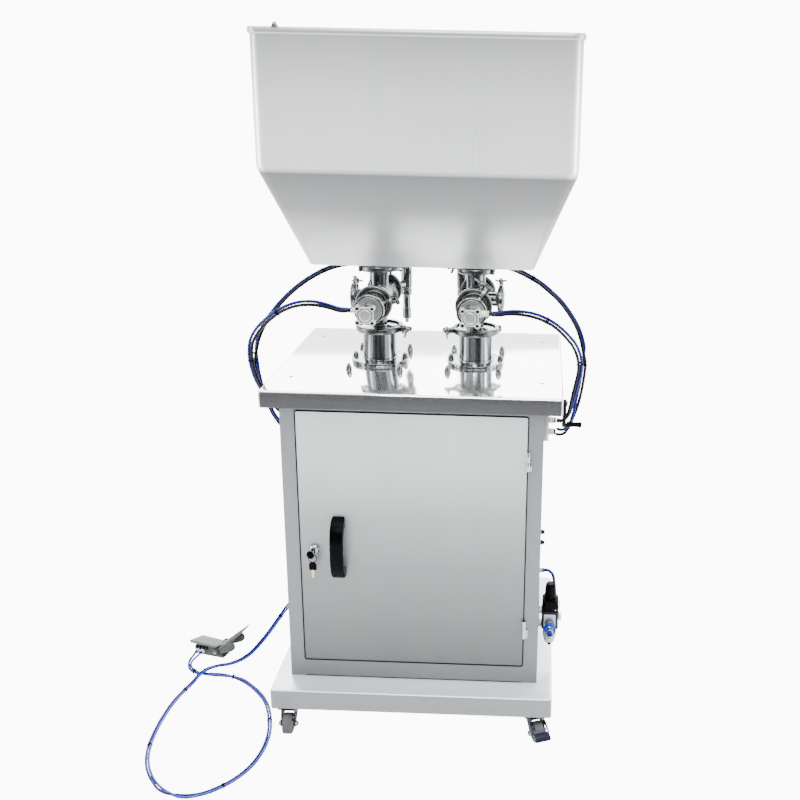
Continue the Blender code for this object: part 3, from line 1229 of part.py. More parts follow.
def air_cylinder(side, parent):
    """Compact air cylinder in front of the valve, with corner lugs and two tube fittings."""
    x = HEAD_XS[side]
    out = OUTWARD[side]
    half = AIR_CYLINDER_SIZE / 2
    front = ACTUATOR_FRONT
    body = block("air_cylinder_" + side, (x - half, front + AIR_LUG_RECESS, BARREL_HEIGHT - half),
                 (x + half, AIR_CYLINDER_BACK + WELD, BARREL_HEIGHT + half))
    back = HEAD_Y - BARREL_HALF_LENGTH - GAP / 2
    place = (x, 0, BARREL_HEIGHT)
    collar = ADAPTER_RADIUS - FERRULE_SLOPE
    adapter = turned("adapter", [
        (0, back), (BARREL_FERRULE_RADIUS, back), (BARREL_FERRULE_RADIUS, back - FERRULE_THICKNESS),
        (collar, back - FERRULE_THICKNESS - FERRULE_SLOPE), (collar, back - ADAPTER_LENGTH * 0.6),
        (ADAPTER_RADIUS, back - ADAPTER_LENGTH * 0.6), (ADAPTER_RADIUS, back - ADAPTER_LENGTH),
        (0, back - ADAPTER_LENGTH)], place, "Y", FINE_STEPS)
    join(body, adapter)
    for sx in (-1, 1):
        for sz in (-1, 1):
            lug = (x + sx * AIR_LUG_PITCH / 2, 0, BARREL_HEIGHT + sz * AIR_LUG_PITCH / 2)
            join(body, rod("lug", AIR_LUG_RADIUS, front, front + AIR_LUG_LENGTH, "Y", lug, steps=TINY_STEPS))
    for dy, dz in fitting_offsets():
        start = half - WELD
        fit_place = (x, front + dy, BARREL_HEIGHT + dz)
        axis = "X" if out > 0 else "-X"
        join(body, rod("fitting", FITTING_RADIUS, start, half + FITTING_LENGTH, axis, fit_place, steps=TINY_STEPS))
    cut(body, rod("air_bore", AIR_CYLINDER_BORE, front + AIR_LUG_LENGTH, AIR_CYLINDER_BACK - AIR_LUG_LENGTH,
                  "Y", place, ROUND_STEPS, cutter=True))
    cut(body, rod("air_rod_way", SPOOL_ROD_RADIUS + RUNNING_GAP, front + AIR_LUG_LENGTH,
                  back + CUT_OVERRUN, "Y", place, cutter=True))
    return finish(body, anodised_aluminium(), parent)


def fitting_offsets():
    """Places of the two tube fittings on an air cylinder, behind its front and about its axis."""
    return ((2 * FITTING_SPACING, FITTING_RADIUS), (3 * FITTING_SPACING, FITTING_RADIUS))


def nozzle(side, parent):
    """Discharge pipe from the barrel's back, its shut-off nozzle and the nozzle's air cylinder."""
    x, y = NOZZLE_XS[side], NOZZLE_Y
    bore = NOZZLE_BORE
    stem = turned("nozzle_" + side, [
        (0, NOZZLE_ACTUATOR_TOP), (NOZZLE_ACTUATOR_RADIUS, NOZZLE_ACTUATOR_TOP),
        (NOZZLE_ACTUATOR_RADIUS, BARREL_HEIGHT + 2 * NOZZLE_PIPE_RADIUS),
        (NOZZLE_BLOCK_RADIUS, BARREL_HEIGHT + 2 * NOZZLE_PIPE_RADIUS),
        (NOZZLE_BLOCK_RADIUS, NOZZLE_COLLAR_TOP), (NOZZLE_COLLAR_RADIUS, NOZZLE_COLLAR_TOP),
        (NOZZLE_COLLAR_RADIUS, NOZZLE_COLLAR_BOTTOM), (NOZZLE_TUBE_RADIUS, NOZZLE_COLLAR_BOTTOM),
        (NOZZLE_TUBE_RADIUS, NOZZLE_SLEEVE_TOP), (NOZZLE_SLEEVE_RADIUS, NOZZLE_SLEEVE_TOP),
        (NOZZLE_SLEEVE_RADIUS, NOZZLE_SLEEVE_BOTTOM), (NOZZLE_BORE * 1.6, NOZZLE_SLEEVE_BOTTOM),
        (NOZZLE_BORE * 1.6, NOZZLE_TIP), (bore, NOZZLE_TIP), (bore, NOZZLE_COLLAR_TOP), (0, NOZZLE_COLLAR_TOP)],
        (x, y, 0), steps=ROUND_STEPS)
    back = HEAD_Y + BARREL_HALF_LENGTH + GAP / 2
    head_x = HEAD_XS[side]
    cap = turned("rear_cap", [
        (0, back + FERRULE_THICKNESS * 4), (NOZZLE_PIPE_RADIUS * 1.5, back + FERRULE_THICKNESS * 3),
        (BARREL_FERRULE_RADIUS - FERRULE_SLOPE, back + FERRULE_THICKNESS + FERRULE_SLOPE),
        (BARREL_FERRULE_RADIUS, back + FERRULE_THICKNESS), (BARREL_FERRULE_RADIUS, back), (0, back)],
        (head_x, 0, BARREL_HEIGHT), "Y", FINE_STEPS)
    bend = (y - back) / 3
    route = [(head_x, back + FERRULE_THICKNESS, BARREL_HEIGHT), (head_x, back + bend, BARREL_HEIGHT),
             ((head_x + x) / 2, y - bend, BARREL_HEIGHT), (x, y, BARREL_HEIGHT)]
    pipe = mesh_tube("discharge_pipe", route, NOZZLE_PIPE_RADIUS, NOZZLE_PIPE_RADIUS * 2)
    fit_axis = "X" if OUTWARD[side] > 0 else "-X"
    join(stem, cap, pipe)
    for dz in (0, FITTING_SPACING):
        place = (x, y, NOZZLE_ACTUATOR_TOP - FITTING_SPACING / 2 - dz)
        join(stem, rod("nozzle_fitting", FITTING_RADIUS, NOZZLE_ACTUATOR_RADIUS / 2,
                       NOZZLE_ACTUATOR_RADIUS + FITTING_LENGTH, fit_axis, place, steps=TINY_STEPS))
    return finish(stem, polished_steel(), parent)


def mesh_tube(name, points, radius, spacing):
    """A closed tube along a smooth route, made into a mesh so that it can be joined."""
    curve = bpy.data.curves.new(name, "CURVE")
    curve.dimensions = "3D"
    curve.bevel_depth = radius
    curve.bevel_resolution = 2
    curve.use_fill_caps = True
    route = smooth_route(points, spacing)
    spline = curve.splines.new("POLY")
    spline.points.add(len(route) - 1)
    for point, place in zip(spline.points, route):
        point.co = (*place, 1)
    source = bpy.data.objects.new(name + "_curve", curve)
    PARTS.objects.link(source)
    graph = bpy.context.evaluated_depsgraph_get()
    mesh = bpy.data.meshes.new_from_object(source.evaluated_get(graph))
    bpy.data.objects.remove(source, do_unlink=True)
    bm = bmesh.new()
    bm.from_mesh(mesh)
    bmesh.ops.remove_doubles(bm, verts=bm.verts, dist=MERGE)
    bm.to_mesh(mesh)
    bm.free()
    return object_from(name, mesh)


def adjust_screw(spin):
    """Stroke screw with its bevel gear; zero is on the screw's axis at the crank's height."""
    top = TABLE_TOP - TABLE_WALL - TABLE_WALL - GAP - CRANK_HEIGHT
    low = STOP_BAR_BOTTOM - STOP_TRAVEL - SCREW_PITCH - CRANK_HEIGHT
    gear_in, gear_out, back = BEVEL_GEAR_INNER, BEVEL_GEAR_OUTER, BEVEL_GEAR_BACK
    thread_top = -BEVEL_GEAR_OUTER
    profile = [(0, top), (SCREW_RADIUS, top), (SCREW_RADIUS, gear_out + back), (gear_out - back, gear_out + back),
               (gear_out - RUNNING_GAP, gear_out), (gear_in - RUNNING_GAP, gear_in), (SCREW_RADIUS, gear_in)]
    profile += [(SCREW_RADIUS, thread_top), (SCREW_RADIUS, low), (0, low)]
    return finish(turned("adjust_screw", profile), polished_steel(), spin)


def stop_bar(slide):
    """Bar under both rods with the screw's nut; zero is on the screw's axis at the bar's foot."""
    half = STOP_BAR_WIDTH / 2
    dy = HEAD_Y - SCREW_Y
    reach = HEAD_SPACING / 2 + half
    bar = block("stop_bar", (-reach, dy - half, 0), (reach, dy + half, STOP_BAR_HEIGHT))
    web = block("stop_web", (-half, 0, 0), (half, dy, STOP_BAR_HEIGHT))
    nut = rod("stop_nut", SCREW_NUT_RADIUS + STOP_CLEAR, 0, STOP_BAR_HEIGHT, steps=ROUND_STEPS)
    join(bar, web, nut)
    for sign in (-1, 1):
        cut(bar, rod("rod_clearance", ROD_RADIUS + RUNNING_GAP, -CUT_OVERRUN, STOP_BAR_HEIGHT + CUT_OVERRUN,
                     place=(sign * HEAD_SPACING / 2, dy, 0), steps=ROUND_STEPS, cutter=True))
    cut(bar, rod("screw_clearance", SCREW_RADIUS + RUNNING_GAP, -CUT_OVERRUN, STOP_BAR_HEIGHT + CUT_OVERRUN,
                 cutter=True))
    return finish(bar, anodised_aluminium(), slide)


def crank_arm(spin):
    """Crank with its shaft and bevel gear; zero is on the shaft's axis over the screw's axis."""
    gear_in, gear_out, back = BEVEL_GEAR_INNER, BEVEL_GEAR_OUTER, BEVEL_GEAR_BACK
    plane = TABLE_HALF_WIDTH + CRANK_TABLE_CLEAR - HEAD_MIDDLE_X
    shaft = turned("crank_arm", [
        (0, plane), (CRANK_HUB_RADIUS, plane), (CRANK_HUB_RADIUS, plane - CRANK_HUB_TIP * 0.6),
        (CRANK_SHAFT_RADIUS + RUNNING_GAP, plane - CRANK_HUB_TIP), (CRANK_SHAFT_RADIUS, plane - CRANK_HUB_TIP),
        (CRANK_SHAFT_RADIUS, gear_out + back), (gear_out - back, gear_out + back),
        (gear_out - RUNNING_GAP, gear_out), (gear_in - RUNNING_GAP, gear_in), (0, gear_in)], axis="X")
    half = CRANK_ARM_WIDTH / 2
    throw = CRANK_THROW
    outline = [*arc((0, 0), half, 150, 30, 6), *arc((0, -throw), half * 0.7, 0, -180, 6)]
    arm = extruded("arm", outline, plane - WELD, plane + CRANK_ARM_THICKNESS, "YZ")
    pin = rod("grip_pin", CRANK_PIN_RADIUS, plane + CRANK_ARM_THICKNESS - WELD,
              plane + CRANK_ARM_THICKNESS + GRIP_LENGTH - GRIP_ROUND, "X", (0, 0, -throw))
    join(shaft, arm, pin)
    return finish(shaft, black_steel(), spin)


def crank_grip(spin):
    """Turning grip on the crank's pin; zero is on the pin's axis at the arm's face."""
    bore = CRANK_PIN_RADIUS + RUNNING_GAP
    start = GAP
    end = GRIP_LENGTH
    deep = GRIP_LENGTH - GRIP_ROUND + GAP
    profile = [(0, end), (GRIP_RADIUS - GRIP_ROUND, end), (GRIP_RADIUS, end - GRIP_ROUND),
               (GRIP_WAIST, (start + end) / 2), (GRIP_RADIUS, start + GRIP_ROUND),
               (GRIP_RADIUS - GRIP_ROUND, start), (bore, start), (bore, deep), (0, deep)]
    return finish(turned("crank_grip", profile, axis="X"), black_plastic(), spin)


def filter_regulator(parent):
    """Regulator body with bonnet and wall bracket, and the hand valve's stem at its front."""
    half = FRL_BODY_SIZE / 2
    x, y = FRL_X, FRL_Y
    body = block("regulator_body", (x - half, y - half, FRL_BODY_BOTTOM), (x + half, y + half, FRL_BODY_TOP),
                 FERRULE_THICKNESS, segments=1)
    bonnet_half = FRL_BONNET_SIZE / 2
    bonnet = block("bonnet", (x - bonnet_half, y - bonnet_half, FRL_BODY_TOP - WELD),
                   (x + bonnet_half, y + bonnet_half, FRL_BONNET_TOP), FERRULE_SLOPE, segments=1)
    neck = rod("knob_neck", FRL_NECK_RADIUS, FRL_BONNET_TOP - WELD, FRL_BONNET_TOP + FRL_NECK_RADIUS,
               place=(x, y, 0))
    wall = CABINET_WIDTH / 2 + GAP
    bracket = block("regulator_bracket", (wall, y - bonnet_half, FRL_BODY_BOTTOM + FERRULE_SLOPE),
                    (x - half + WELD, y + bonnet_half, FRL_BODY_TOP + FERRULE_SLOPE))
    front = y - half
    stem = turned("valve_stem", [
        (0, front + WELD), (FRL_VALVE_RADIUS, front + WELD), (FRL_VALVE_RADIUS, front - FRL_VALVE_LENGTH * 0.7),
        (FRL_VALVE_RADIUS * 0.8, front - FRL_VALVE_LENGTH * 0.7), (FRL_VALVE_RADIUS * 0.8, front - FRL_VALVE_LENGTH),
        (0, front - FRL_VALVE_LENGTH)], (x, 0, FRL_BODY_BOTTOM + half / 2), "Y")
    back = y + half
    port = rod("rear_port", FITTING_RADIUS + FERRULE_THICKNESS, back - WELD, back + WALL_FITTING_LENGTH, "Y",
               (x, 0, FRL_BODY_BOTTOM + half))
    join(body, bonnet, neck, bracket, stem, port)
    return finish(body, black_plastic(), parent)


def regulator_knob(spin):
    """Fluted regulator knob; zero is on its axis at its lower face."""
    height = FRL_KNOB_TOP - FRL_BONNET_TOP - GAP
    neck = FRL_NECK_RADIUS + RUNNING_GAP
    deep = FRL_NECK_RADIUS + GAP
    radius = FRL_KNOB_RADIUS
    profile = [(0, height), (radius * 0.85, height), (radius, height - FERRULE_THICKNESS), (radius, 0),
               (neck, 0), (neck, deep), (0, deep)]
    return finish(turned("regulator_knob", profile, steps=ROUND_STEPS), black_plastic(), spin)


def regulator_bowl(spin):
    """Clear bowl with its drain; zero is on its axis at its top."""
    top = FRL_BODY_BOTTOM - GAP
    low = FRL_BOWL_BOTTOM - top
    radius, wall = FRL_BOWL_RADIUS, FRL_BOWL_WALL
    inner = [(0, low + wall), (radius * 0.7 - wall, low + wall), (radius - wall, low * 0.6), (radius - wall, 0)]
    outer = [(radius, 0), (radius, low * 0.6), (radius * 0.7, low), (FRL_DRAIN_RADIUS, low),
             (FRL_DRAIN_RADIUS, low - FRL_DRAIN_LENGTH), (0, low - FRL_DRAIN_LENGTH)]
    return finish(turned("regulator_bowl", inner + outer), clear_bowl(), spin)


def valve_ring(slide):
    """Sliding sleeve of the hand valve; zero is on its axis at its back face."""
    bore = FRL_VALVE_RADIUS + RUNNING_GAP
    length = FRL_RING_LENGTH
    lip = length / 5
    profile = [(bore, 0), (FRL_RING_RADIUS, 0), (FRL_RING_RADIUS, -lip), (FRL_RING_RADIUS - FRL_BOWL_WALL, -lip * 2),
               (FRL_RING_RADIUS - FRL_BOWL_WALL, -lip * 3), (FRL_RING_RADIUS, -lip * 4), (FRL_RING_RADIUS, -length),
               (bore, -length)]
    return finish(turned("valve_ring", profile, axis="Y", closed=True), blue_valve(), slide)


def side_block(side, parent):
    """Tube block on a cabinet side under the table, with two rows of push-in fittings."""
    out = OUTWARD[side]
    wall = CABINET_WIDTH / 2 + GAP
    xs = sorted((out * wall, out * (wall + SIDE_BLOCK_DEPTH)))
    half = SIDE_BLOCK_WIDTH / 2
    made = block("side_block_" + side, (xs[0], SIDE_BLOCK_Y - half, SIDE_BLOCK_BOTTOM),
                 (xs[1], SIDE_BLOCK_Y + half, SIDE_BLOCK_TOP), FERRULE_THICKNESS, segments=1)
    axis = "X" if out > 0 else "-X"
    for height in (SIDE_ROW_UPPER, SIDE_ROW_LOWER):
        for dy in (-FITTING_SPACING / 2, FITTING_SPACING / 2):
            join(made, rod("side_fitting", FITTING_RADIUS, wall + SIDE_BLOCK_DEPTH - WELD,
                           wall + SIDE_BLOCK_DEPTH + FITTING_LENGTH, axis, (0, SIDE_BLOCK_Y + dy, height), steps=TINY_STEPS))
    return finish(made, anodised_aluminium(), parent)


def wall_fittings(body):
    """Tube fittings through the cabinet's sides for the regulator and the pedal."""
    half = CABINET_WIDTH / 2
    regulator = rod("regulator_fitting", WALL_FITTING_RADIUS, half - CABINET_WALL / 2, half + WALL_FITTING_LENGTH,
                    "X", (0, REGULATOR_FITTING_Y, REGULATOR_FITTING_HEIGHT), steps=TINY_STEPS)
    pedal = rod("pedal_fitting", WALL_FITTING_RADIUS, half - CABINET_WALL / 2, half + WALL_FITTING_LENGTH,
                "-X", (0, PEDAL_FITTING_Y, PEDAL_FITTING_HEIGHT), steps=TINY_STEPS)
    join(body, regulator, pedal)


def pedal_base(frame):
    """Cast foot valve: a wedge body with a cover, side cheeks, and tube ports at its end."""
    half = PEDAL_WIDTH / 2
    length, height = PEDAL_BODY_LENGTH, PEDAL_BODY_HEIGHT
    cover = PEDAL_COVER_THICKNESS
    foot = PEDAL_FOOT_HEIGHT
    outline = [
        (PEDAL_CHEEK_LENGTH * 0.5, 0), (PEDAL_CHEEK_LENGTH, foot), (PEDAL_CHEEK_LENGTH, height * 0.5),
        (PEDAL_PIN_RADIUS, height * 0.8), (0, height + cover), (-length, height + 2 * cover),
        (-length, height + cover), (-length * 0.86, height * 0.75), (-length * 0.8, 0),
    ]
    body = extruded("pedal_base", outline, -half, half, "XZ")
    inner = half - PEDAL_WALL
    well = block("pedal_well", (-PEDAL_PIN_RADIUS * 2.2, -inner, foot + FERRULE_THICKNESS),
                 (PEDAL_CHEEK_LENGTH * 2, inner, height * 3), cutter=True)
    cut(body, well)
    pin = rod("pedal_pin", PEDAL_PIN_RADIUS, -half + PEDAL_WALL / 2, half - PEDAL_WALL / 2, "Y",
              (0, 0, PEDAL_PIN_HEIGHT))
    join(body, pin)
    for dx in pedal_port_places():
        join(body, rod("pedal_port", PEDAL_PORT_RADIUS, half - WELD, half + PEDAL_PORT_LENGTH, "-Y",
                       (dx, 0, PEDAL_PORT_HEIGHT), steps=TINY_STEPS))
    return finish(body, cast_aluminium(), frame)


def pedal_port_places():
    """Places along the pedal's body of its two front ports."""
    first = -PEDAL_BODY_LENGTH + PEDAL_PORT_INSET
    return (first, first + FITTING_SPACING)


def pedal_lever(hinge):
    """Tread plate rising from the pedal's pin; zero is on the pin's axis."""
    inner = PEDAL_WIDTH / 2 - PEDAL_WALL - GAP * 2
    angle = math.radians(PEDAL_TREAD_ANGLE)
    along = (math.cos(angle), math.sin(angle))
    up = (-math.sin(angle), math.cos(angle))
    start = PEDAL_PIN_RADIUS * 1.2
    thick = PEDAL_TREAD_THICKNESS
    corners = [(-start, -thick / 2), (PEDAL_TREAD_LENGTH * 0.6, -thick / 2), (PEDAL_TREAD_LENGTH, thick / 4),
               (PEDAL_TREAD_LENGTH, thick / 2), (-start, thick / 2)]
    outline = [(a * along[0] + b * up[0], a * along[1] + b * up[1]) for a, b in corners]
    lever = extruded("pedal_lever", outline, -inner, inner, "XZ")
    eye = rod("lever_eye", PEDAL_PIN_RADIUS * 1.9, -inner, inner, "Y", steps=ROUND_STEPS)
    join(lever, eye)
    cut(lever, rod("lever_bore", PEDAL_PIN_RADIUS + RUNNING_GAP, -PEDAL_WIDTH, PEDAL_WIDTH, "Y", cutter=True))
    return finish(lever, cast_aluminium(), hinge)


# Hand-chosen points of the air tubes, in metres in the machine's own frame
LEFT_VALVE_ROUTE = [
    (-0.1503, 0.079, 1.023), (-0.172, 0.079, 1.023), (-0.205, 0.083, 1.031), (-0.240, 0.090, 1.034),
    (-0.279, 0.100, 1.027), (-0.317, 0.112, 1.009), (-0.350, 0.125, 0.984), (-0.377, 0.135, 0.957),
    (-0.396, 0.142, 0.926), (-0.403, 0.149, 0.890), (-0.401, 0.156, 0.852), (-0.393, 0.164, 0.817),
    (-0.380, 0.175, 0.782), (-0.364, 0.187, 0.750), (-0.346, 0.195, 0.731), (-0.331, 0.195, 0.731),
]
LEFT_NOZZLE_ROUTE = [
    (-0.0955, 0.400, 1.070), (-0.120, 0.400, 1.070), (-0.165, 0.394, 1.074), (-0.210, 0.374, 1.073),
    (-0.250, 0.340, 1.066), (-0.282, 0.303, 1.053), (-0.309, 0.270, 1.036), (-0.334, 0.242, 1.014),
    (-0.358, 0.218, 0.986), (-0.380, 0.200, 0.953), (-0.396, 0.190, 0.912), (-0.402, 0.189, 0.868),
    (-0.399, 0.193, 0.822), (-0.391, 0.199, 0.780), (-0.379, 0.203, 0.744), (-0.364, 0.201, 0.715),
    (-0.347, 0.195, 0.701), (-0.331, 0.195, 0.701),
]
RIGHT_VALVE_ROUTE = [
    (0.1683, 0.079, 1.023), (0.190, 0.079, 1.023), (0.215, 0.085, 1.025), (0.243, 0.092, 1.023),
    (0.272, 0.100, 1.016), (0.300, 0.110, 1.003), (0.325, 0.120, 0.985), (0.348, 0.131, 0.961),
    (0.367, 0.142, 0.935), (0.379, 0.154, 0.903), (0.382, 0.167, 0.870), (0.378, 0.181, 0.837),
    (0.372, 0.192, 0.803), (0.366, 0.198, 0.771), (0.359, 0.198, 0.745), (0.346, 0.195, 0.731),
    (0.331, 0.195, 0.731),
]
RIGHT_NOZZLE_ROUTE = [
    (0.1135, 0.400, 1.070), (0.138, 0.400, 1.070), (0.177, 0.388, 1.076), (0.212, 0.345, 1.076),
    (0.246, 0.303, 1.070), (0.281, 0.270, 1.057), (0.306, 0.247, 1.042), (0.332, 0.228, 1.022),
    (0.356, 0.212, 0.994), (0.376, 0.198, 0.962), (0.389, 0.189, 0.921), (0.392, 0.190, 0.876),
    (0.389, 0.199, 0.832), (0.383, 0.209, 0.788), (0.375, 0.212, 0.748), (0.363, 0.205, 0.716),
    (0.347, 0.195, 0.701), (0.331, 0.195, 0.701),
]
PEDAL_ROUTE = [
    (-0.6217, 0.2392, 0.0135), (-0.6265, 0.2198, 0.0135), (-0.629, 0.199, 0.0075),
    (-0.618, 0.177, 0.0045), (-0.585, 0.161, 0.0045), (-0.545, 0.159, 0.0045), (-0.505, 0.154, 0.0045),
    (-0.465, 0.136, 0.0045), (-0.430, 0.105, 0.0045), (-0.397, 0.070, 0.0045), (-0.370, 0.022, 0.0045),
    (-0.352, -0.030, 0.0045), (-0.341, -0.085, 0.0045), (-0.342, -0.145, 0.0045),
    (-0.358, -0.205, 0.0045), (-0.390, -0.252, 0.0045), (-0.432, -0.285, 0.0045),
    (-0.475, -0.296, 0.0045), (-0.517, -0.284, 0.0045), (-0.552, -0.254, 0.0045),
    (-0.586, -0.205, 0.0045), (-0.607, -0.145, 0.0045), (-0.616, -0.077, 0.0045),
    (-0.617, -0.010, 0.0045), (-0.612, 0.050, 0.0045), (-0.601, 0.095, 0.0048), (-0.588, 0.132, 0.0085),
    (-0.578, 0.160, 0.0138), (-0.560, 0.189, 0.0085), (-0.531, 0.207, 0.0048), (-0.500, 0.224, 0.0075),
    (-0.468, 0.247, 0.026), (-0.437, 0.268, 0.060), (-0.410, 0.282, 0.097), (-0.384, 0.290, 0.134),
    (-0.357, 0.292, 0.164), (-0.330, 0.292, 0.176), (-0.3123, 0.292, 0.176),
]
REGULATOR_ROUTE = [
    (0.3123, 0.200, 0.319), (0.323, 0.200, 0.319), (0.335, 0.194, 0.309), (0.339, 0.182, 0.288),
    (0.337, 0.168, 0.266), (0.332, 0.155, 0.249), (0.329, 0.144, 0.243), (0.329, 0.1333, 0.243),
]


def air_tubes(parent):
    """Every free air tube, each along its own route."""
    pair = 5 * PAIR_RADIUS
    hose("tube_valve_left", LEFT_VALVE_ROUTE, PAIR_RADIUS, pair, blue_tube(), parent)
    hose("tube_nozzle_left", LEFT_NOZZLE_ROUTE, PAIR_RADIUS, pair, blue_tube(), parent)
    hose("tube_valve_right", RIGHT_VALVE_ROUTE, PAIR_RADIUS, pair, blue_tube(), parent)
    hose("tube_nozzle_right", RIGHT_NOZZLE_ROUTE, PAIR_RADIUS, pair, blue_tube(), parent)
    hose("tube_pedal", PEDAL_ROUTE, PEDAL_HOSE_RADIUS, 6 * PEDAL_HOSE_RADIUS, blue_tube(), parent)
    hose("tube_regulator", REGULATOR_ROUTE, FRL_HOSE_RADIUS, 3 * FRL_HOSE_RADIUS, blue_tube(), parent)


def cabinet(machine):
    base_plinth(machine)
    cabinet_body(machine)
    table_top(machine)
    for name in CASTER_PLACES:
        swivel = caster(name, machine)
        if name == BRAKED_CASTER:
            brake_pedal(swivel)
    for side in OUTWARD:
        side_block(side, machine)


def door(machine):
    hinge = empty("door_hinge", (HINGE_X, HINGE_Y, 0), machine)
    door_panel(hinge)
    hinge_half("hinge_upper", HINGE_UPPER_HEIGHT, machine)
    hinge_half("hinge_lower", HINGE_LOWER_HEIGHT, machine)
    door_handle(hinge)
    lock_body(hinge)
    front = -DOOR_PROUD - HINGE_Y
    plug = empty("lock_turn", (LOCK_X - HINGE_X, front, LOCK_HEIGHT), hinge)
    lock_key(plug)
    bow_hole = -LOCK_PROJECTION - KEY_BLADE_OUT - KEY_BOW_LENGTH + 2 * KEY_HOLE_RADIUS
    swing = empty("key_swing", (LOCK_X - HINGE_X, front + bow_hole, LOCK_HEIGHT), hinge)
    spare_key(swing)


def filling_head(side, machine):
    """Everything of one head, from the piston drive under the table to the nozzle."""
    x = HEAD_XS[side]
    out = OUTWARD[side]
    fill_cylinder(side, machine)
    drive_cylinder(side, machine)
    slide = empty("piston_slide_" + side, (x, HEAD_Y, 0), machine)
    piston(side, slide)
    valve_body(side, machine)
    spool = empty("spool_slide_" + side, (x, HEAD_Y, BARREL_HEIGHT), machine)
    valve_spool(side, spool)
    air_cylinder(side, machine)
    nozzle(side, machine)
    joint = (x, HEAD_Y, FILL_TOP + GAP / 2)
    spread = (-out, -0.25)
    clamp("cylinder_clamp_" + side, FILL_FERRULE_RADIUS, joint, "Z", spread, out, polished_steel(), machine)
    frame = clamp_bolt_frame(FILL_FERRULE_RADIUS, joint, "Z", spread, out)
    spin = empty("wing_nut_spin_" + side, (0, 0, 0), machine)
    spin.matrix_basis = frame
    wing_nut("cylinder_wing_nut_" + side, spin)
    front = (x, HEAD_Y - BARREL_HALF_LENGTH, BARREL_HEIGHT)
    ears = FRONT_CLAMP_EARS[side]
    clamp("front_clamp_" + side, BARREL_FERRULE_RADIUS, front, "Y", ears, -1, polished_steel(), machine)
    outlet = (x, HEAD_Y, OUTLET_CLAMP_MIDDLE)
    clamp("outlet_clamp_" + side, OUTLET_FERRULE_RADIUS, outlet, "Z", (-out, 0.6), out, polished_steel(), machine)


def stroke_adjuster(machine):
    crank = empty("crank_turn", (HEAD_MIDDLE_X, SCREW_Y, CRANK_HEIGHT), machine)
    crank_arm(crank)
    face = TABLE_HALF_WIDTH + CRANK_TABLE_CLEAR - HEAD_MIDDLE_X + CRANK_ARM_THICKNESS
    grip = empty("grip_turn", (face, 0, -CRANK_THROW), crank)
    crank_grip(grip)
    adjust_screw(empty("screw_turn", (HEAD_MIDDLE_X, SCREW_Y, CRANK_HEIGHT), machine))
    stop_bar(empty("stop_slide", (HEAD_MIDDLE_X, SCREW_Y, STOP_BAR_BOTTOM), machine))


def air_preparation(machine):
    filter_regulator(machine)
    regulator_knob(empty("knob_turn", (FRL_X, FRL_Y, FRL_BONNET_TOP + GAP), machine))
    regulator_bowl(empty("bowl_turn", (FRL_X, FRL_Y, FRL_BODY_BOTTOM - GAP), machine))
    half = FRL_BODY_SIZE / 2
    place = (FRL_X, FRL_Y - half - FRL_RING_TRAVEL - GAP, FRL_BODY_BOTTOM + half / 2)
    valve_ring(empty("ring_slide", place, machine))


def foot_pedal(machine):
    frame = empty("pedal_frame", (PEDAL_X, PEDAL_Y, 0), machine, (0, 0, math.radians(PEDAL_TURN)))
    pedal_base(frame)
    pedal_lever(empty("pedal_hinge", (0, 0, PEDAL_PIN_HEIGHT), frame))


def centre_on_floor(machine):
    """Move the machine so that the middle of its floor area is the world's origin.

    The free air tubes don't count, and the lowest point is the floor."""
    bpy.context.view_layer.update()
    graph = bpy.context.evaluated_depsgraph_get()
    corners = []
    for item in PARTS.objects:
        if item.type == "MESH":
            shape = item.evaluated_get(graph)
            corners += [item.matrix_world @ vert.co for vert in shape.data.vertices]
    low = Vector([min(c[i] for c in corners) for i in range(3)])
    high = Vector([max(c[i] for c in corners) for i in range(3)])
    machine.location = (-(low.x + high.x) / 2, -(low.y + high.y) / 2, -low.z)
    bpy.context.view_layer.update()


def build():
    machine = empty("machine", (0, 0, 0))
    cabinet(machine)
    door(machine)
    hopper(machine)
    for side in HEAD_XS:
        filling_head(side, machine)
    stroke_adjuster(machine)
    air_preparation(machine)
    foot_pedal(machine)
    air_tubes(machine)
    centre_on_floor(machine)
    return machine


build()
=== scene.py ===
# %% [markdown]
# # A piston paste filling machine
#
# The solids of the machine are already made and packed. This lesson dresses them: each solid gets
# a surface with the folds, threads, welds and finishes of the real one. We start by loading the
# frame. Everything is in metres and already stands in its place.

# %% Load the frame
import json
import math

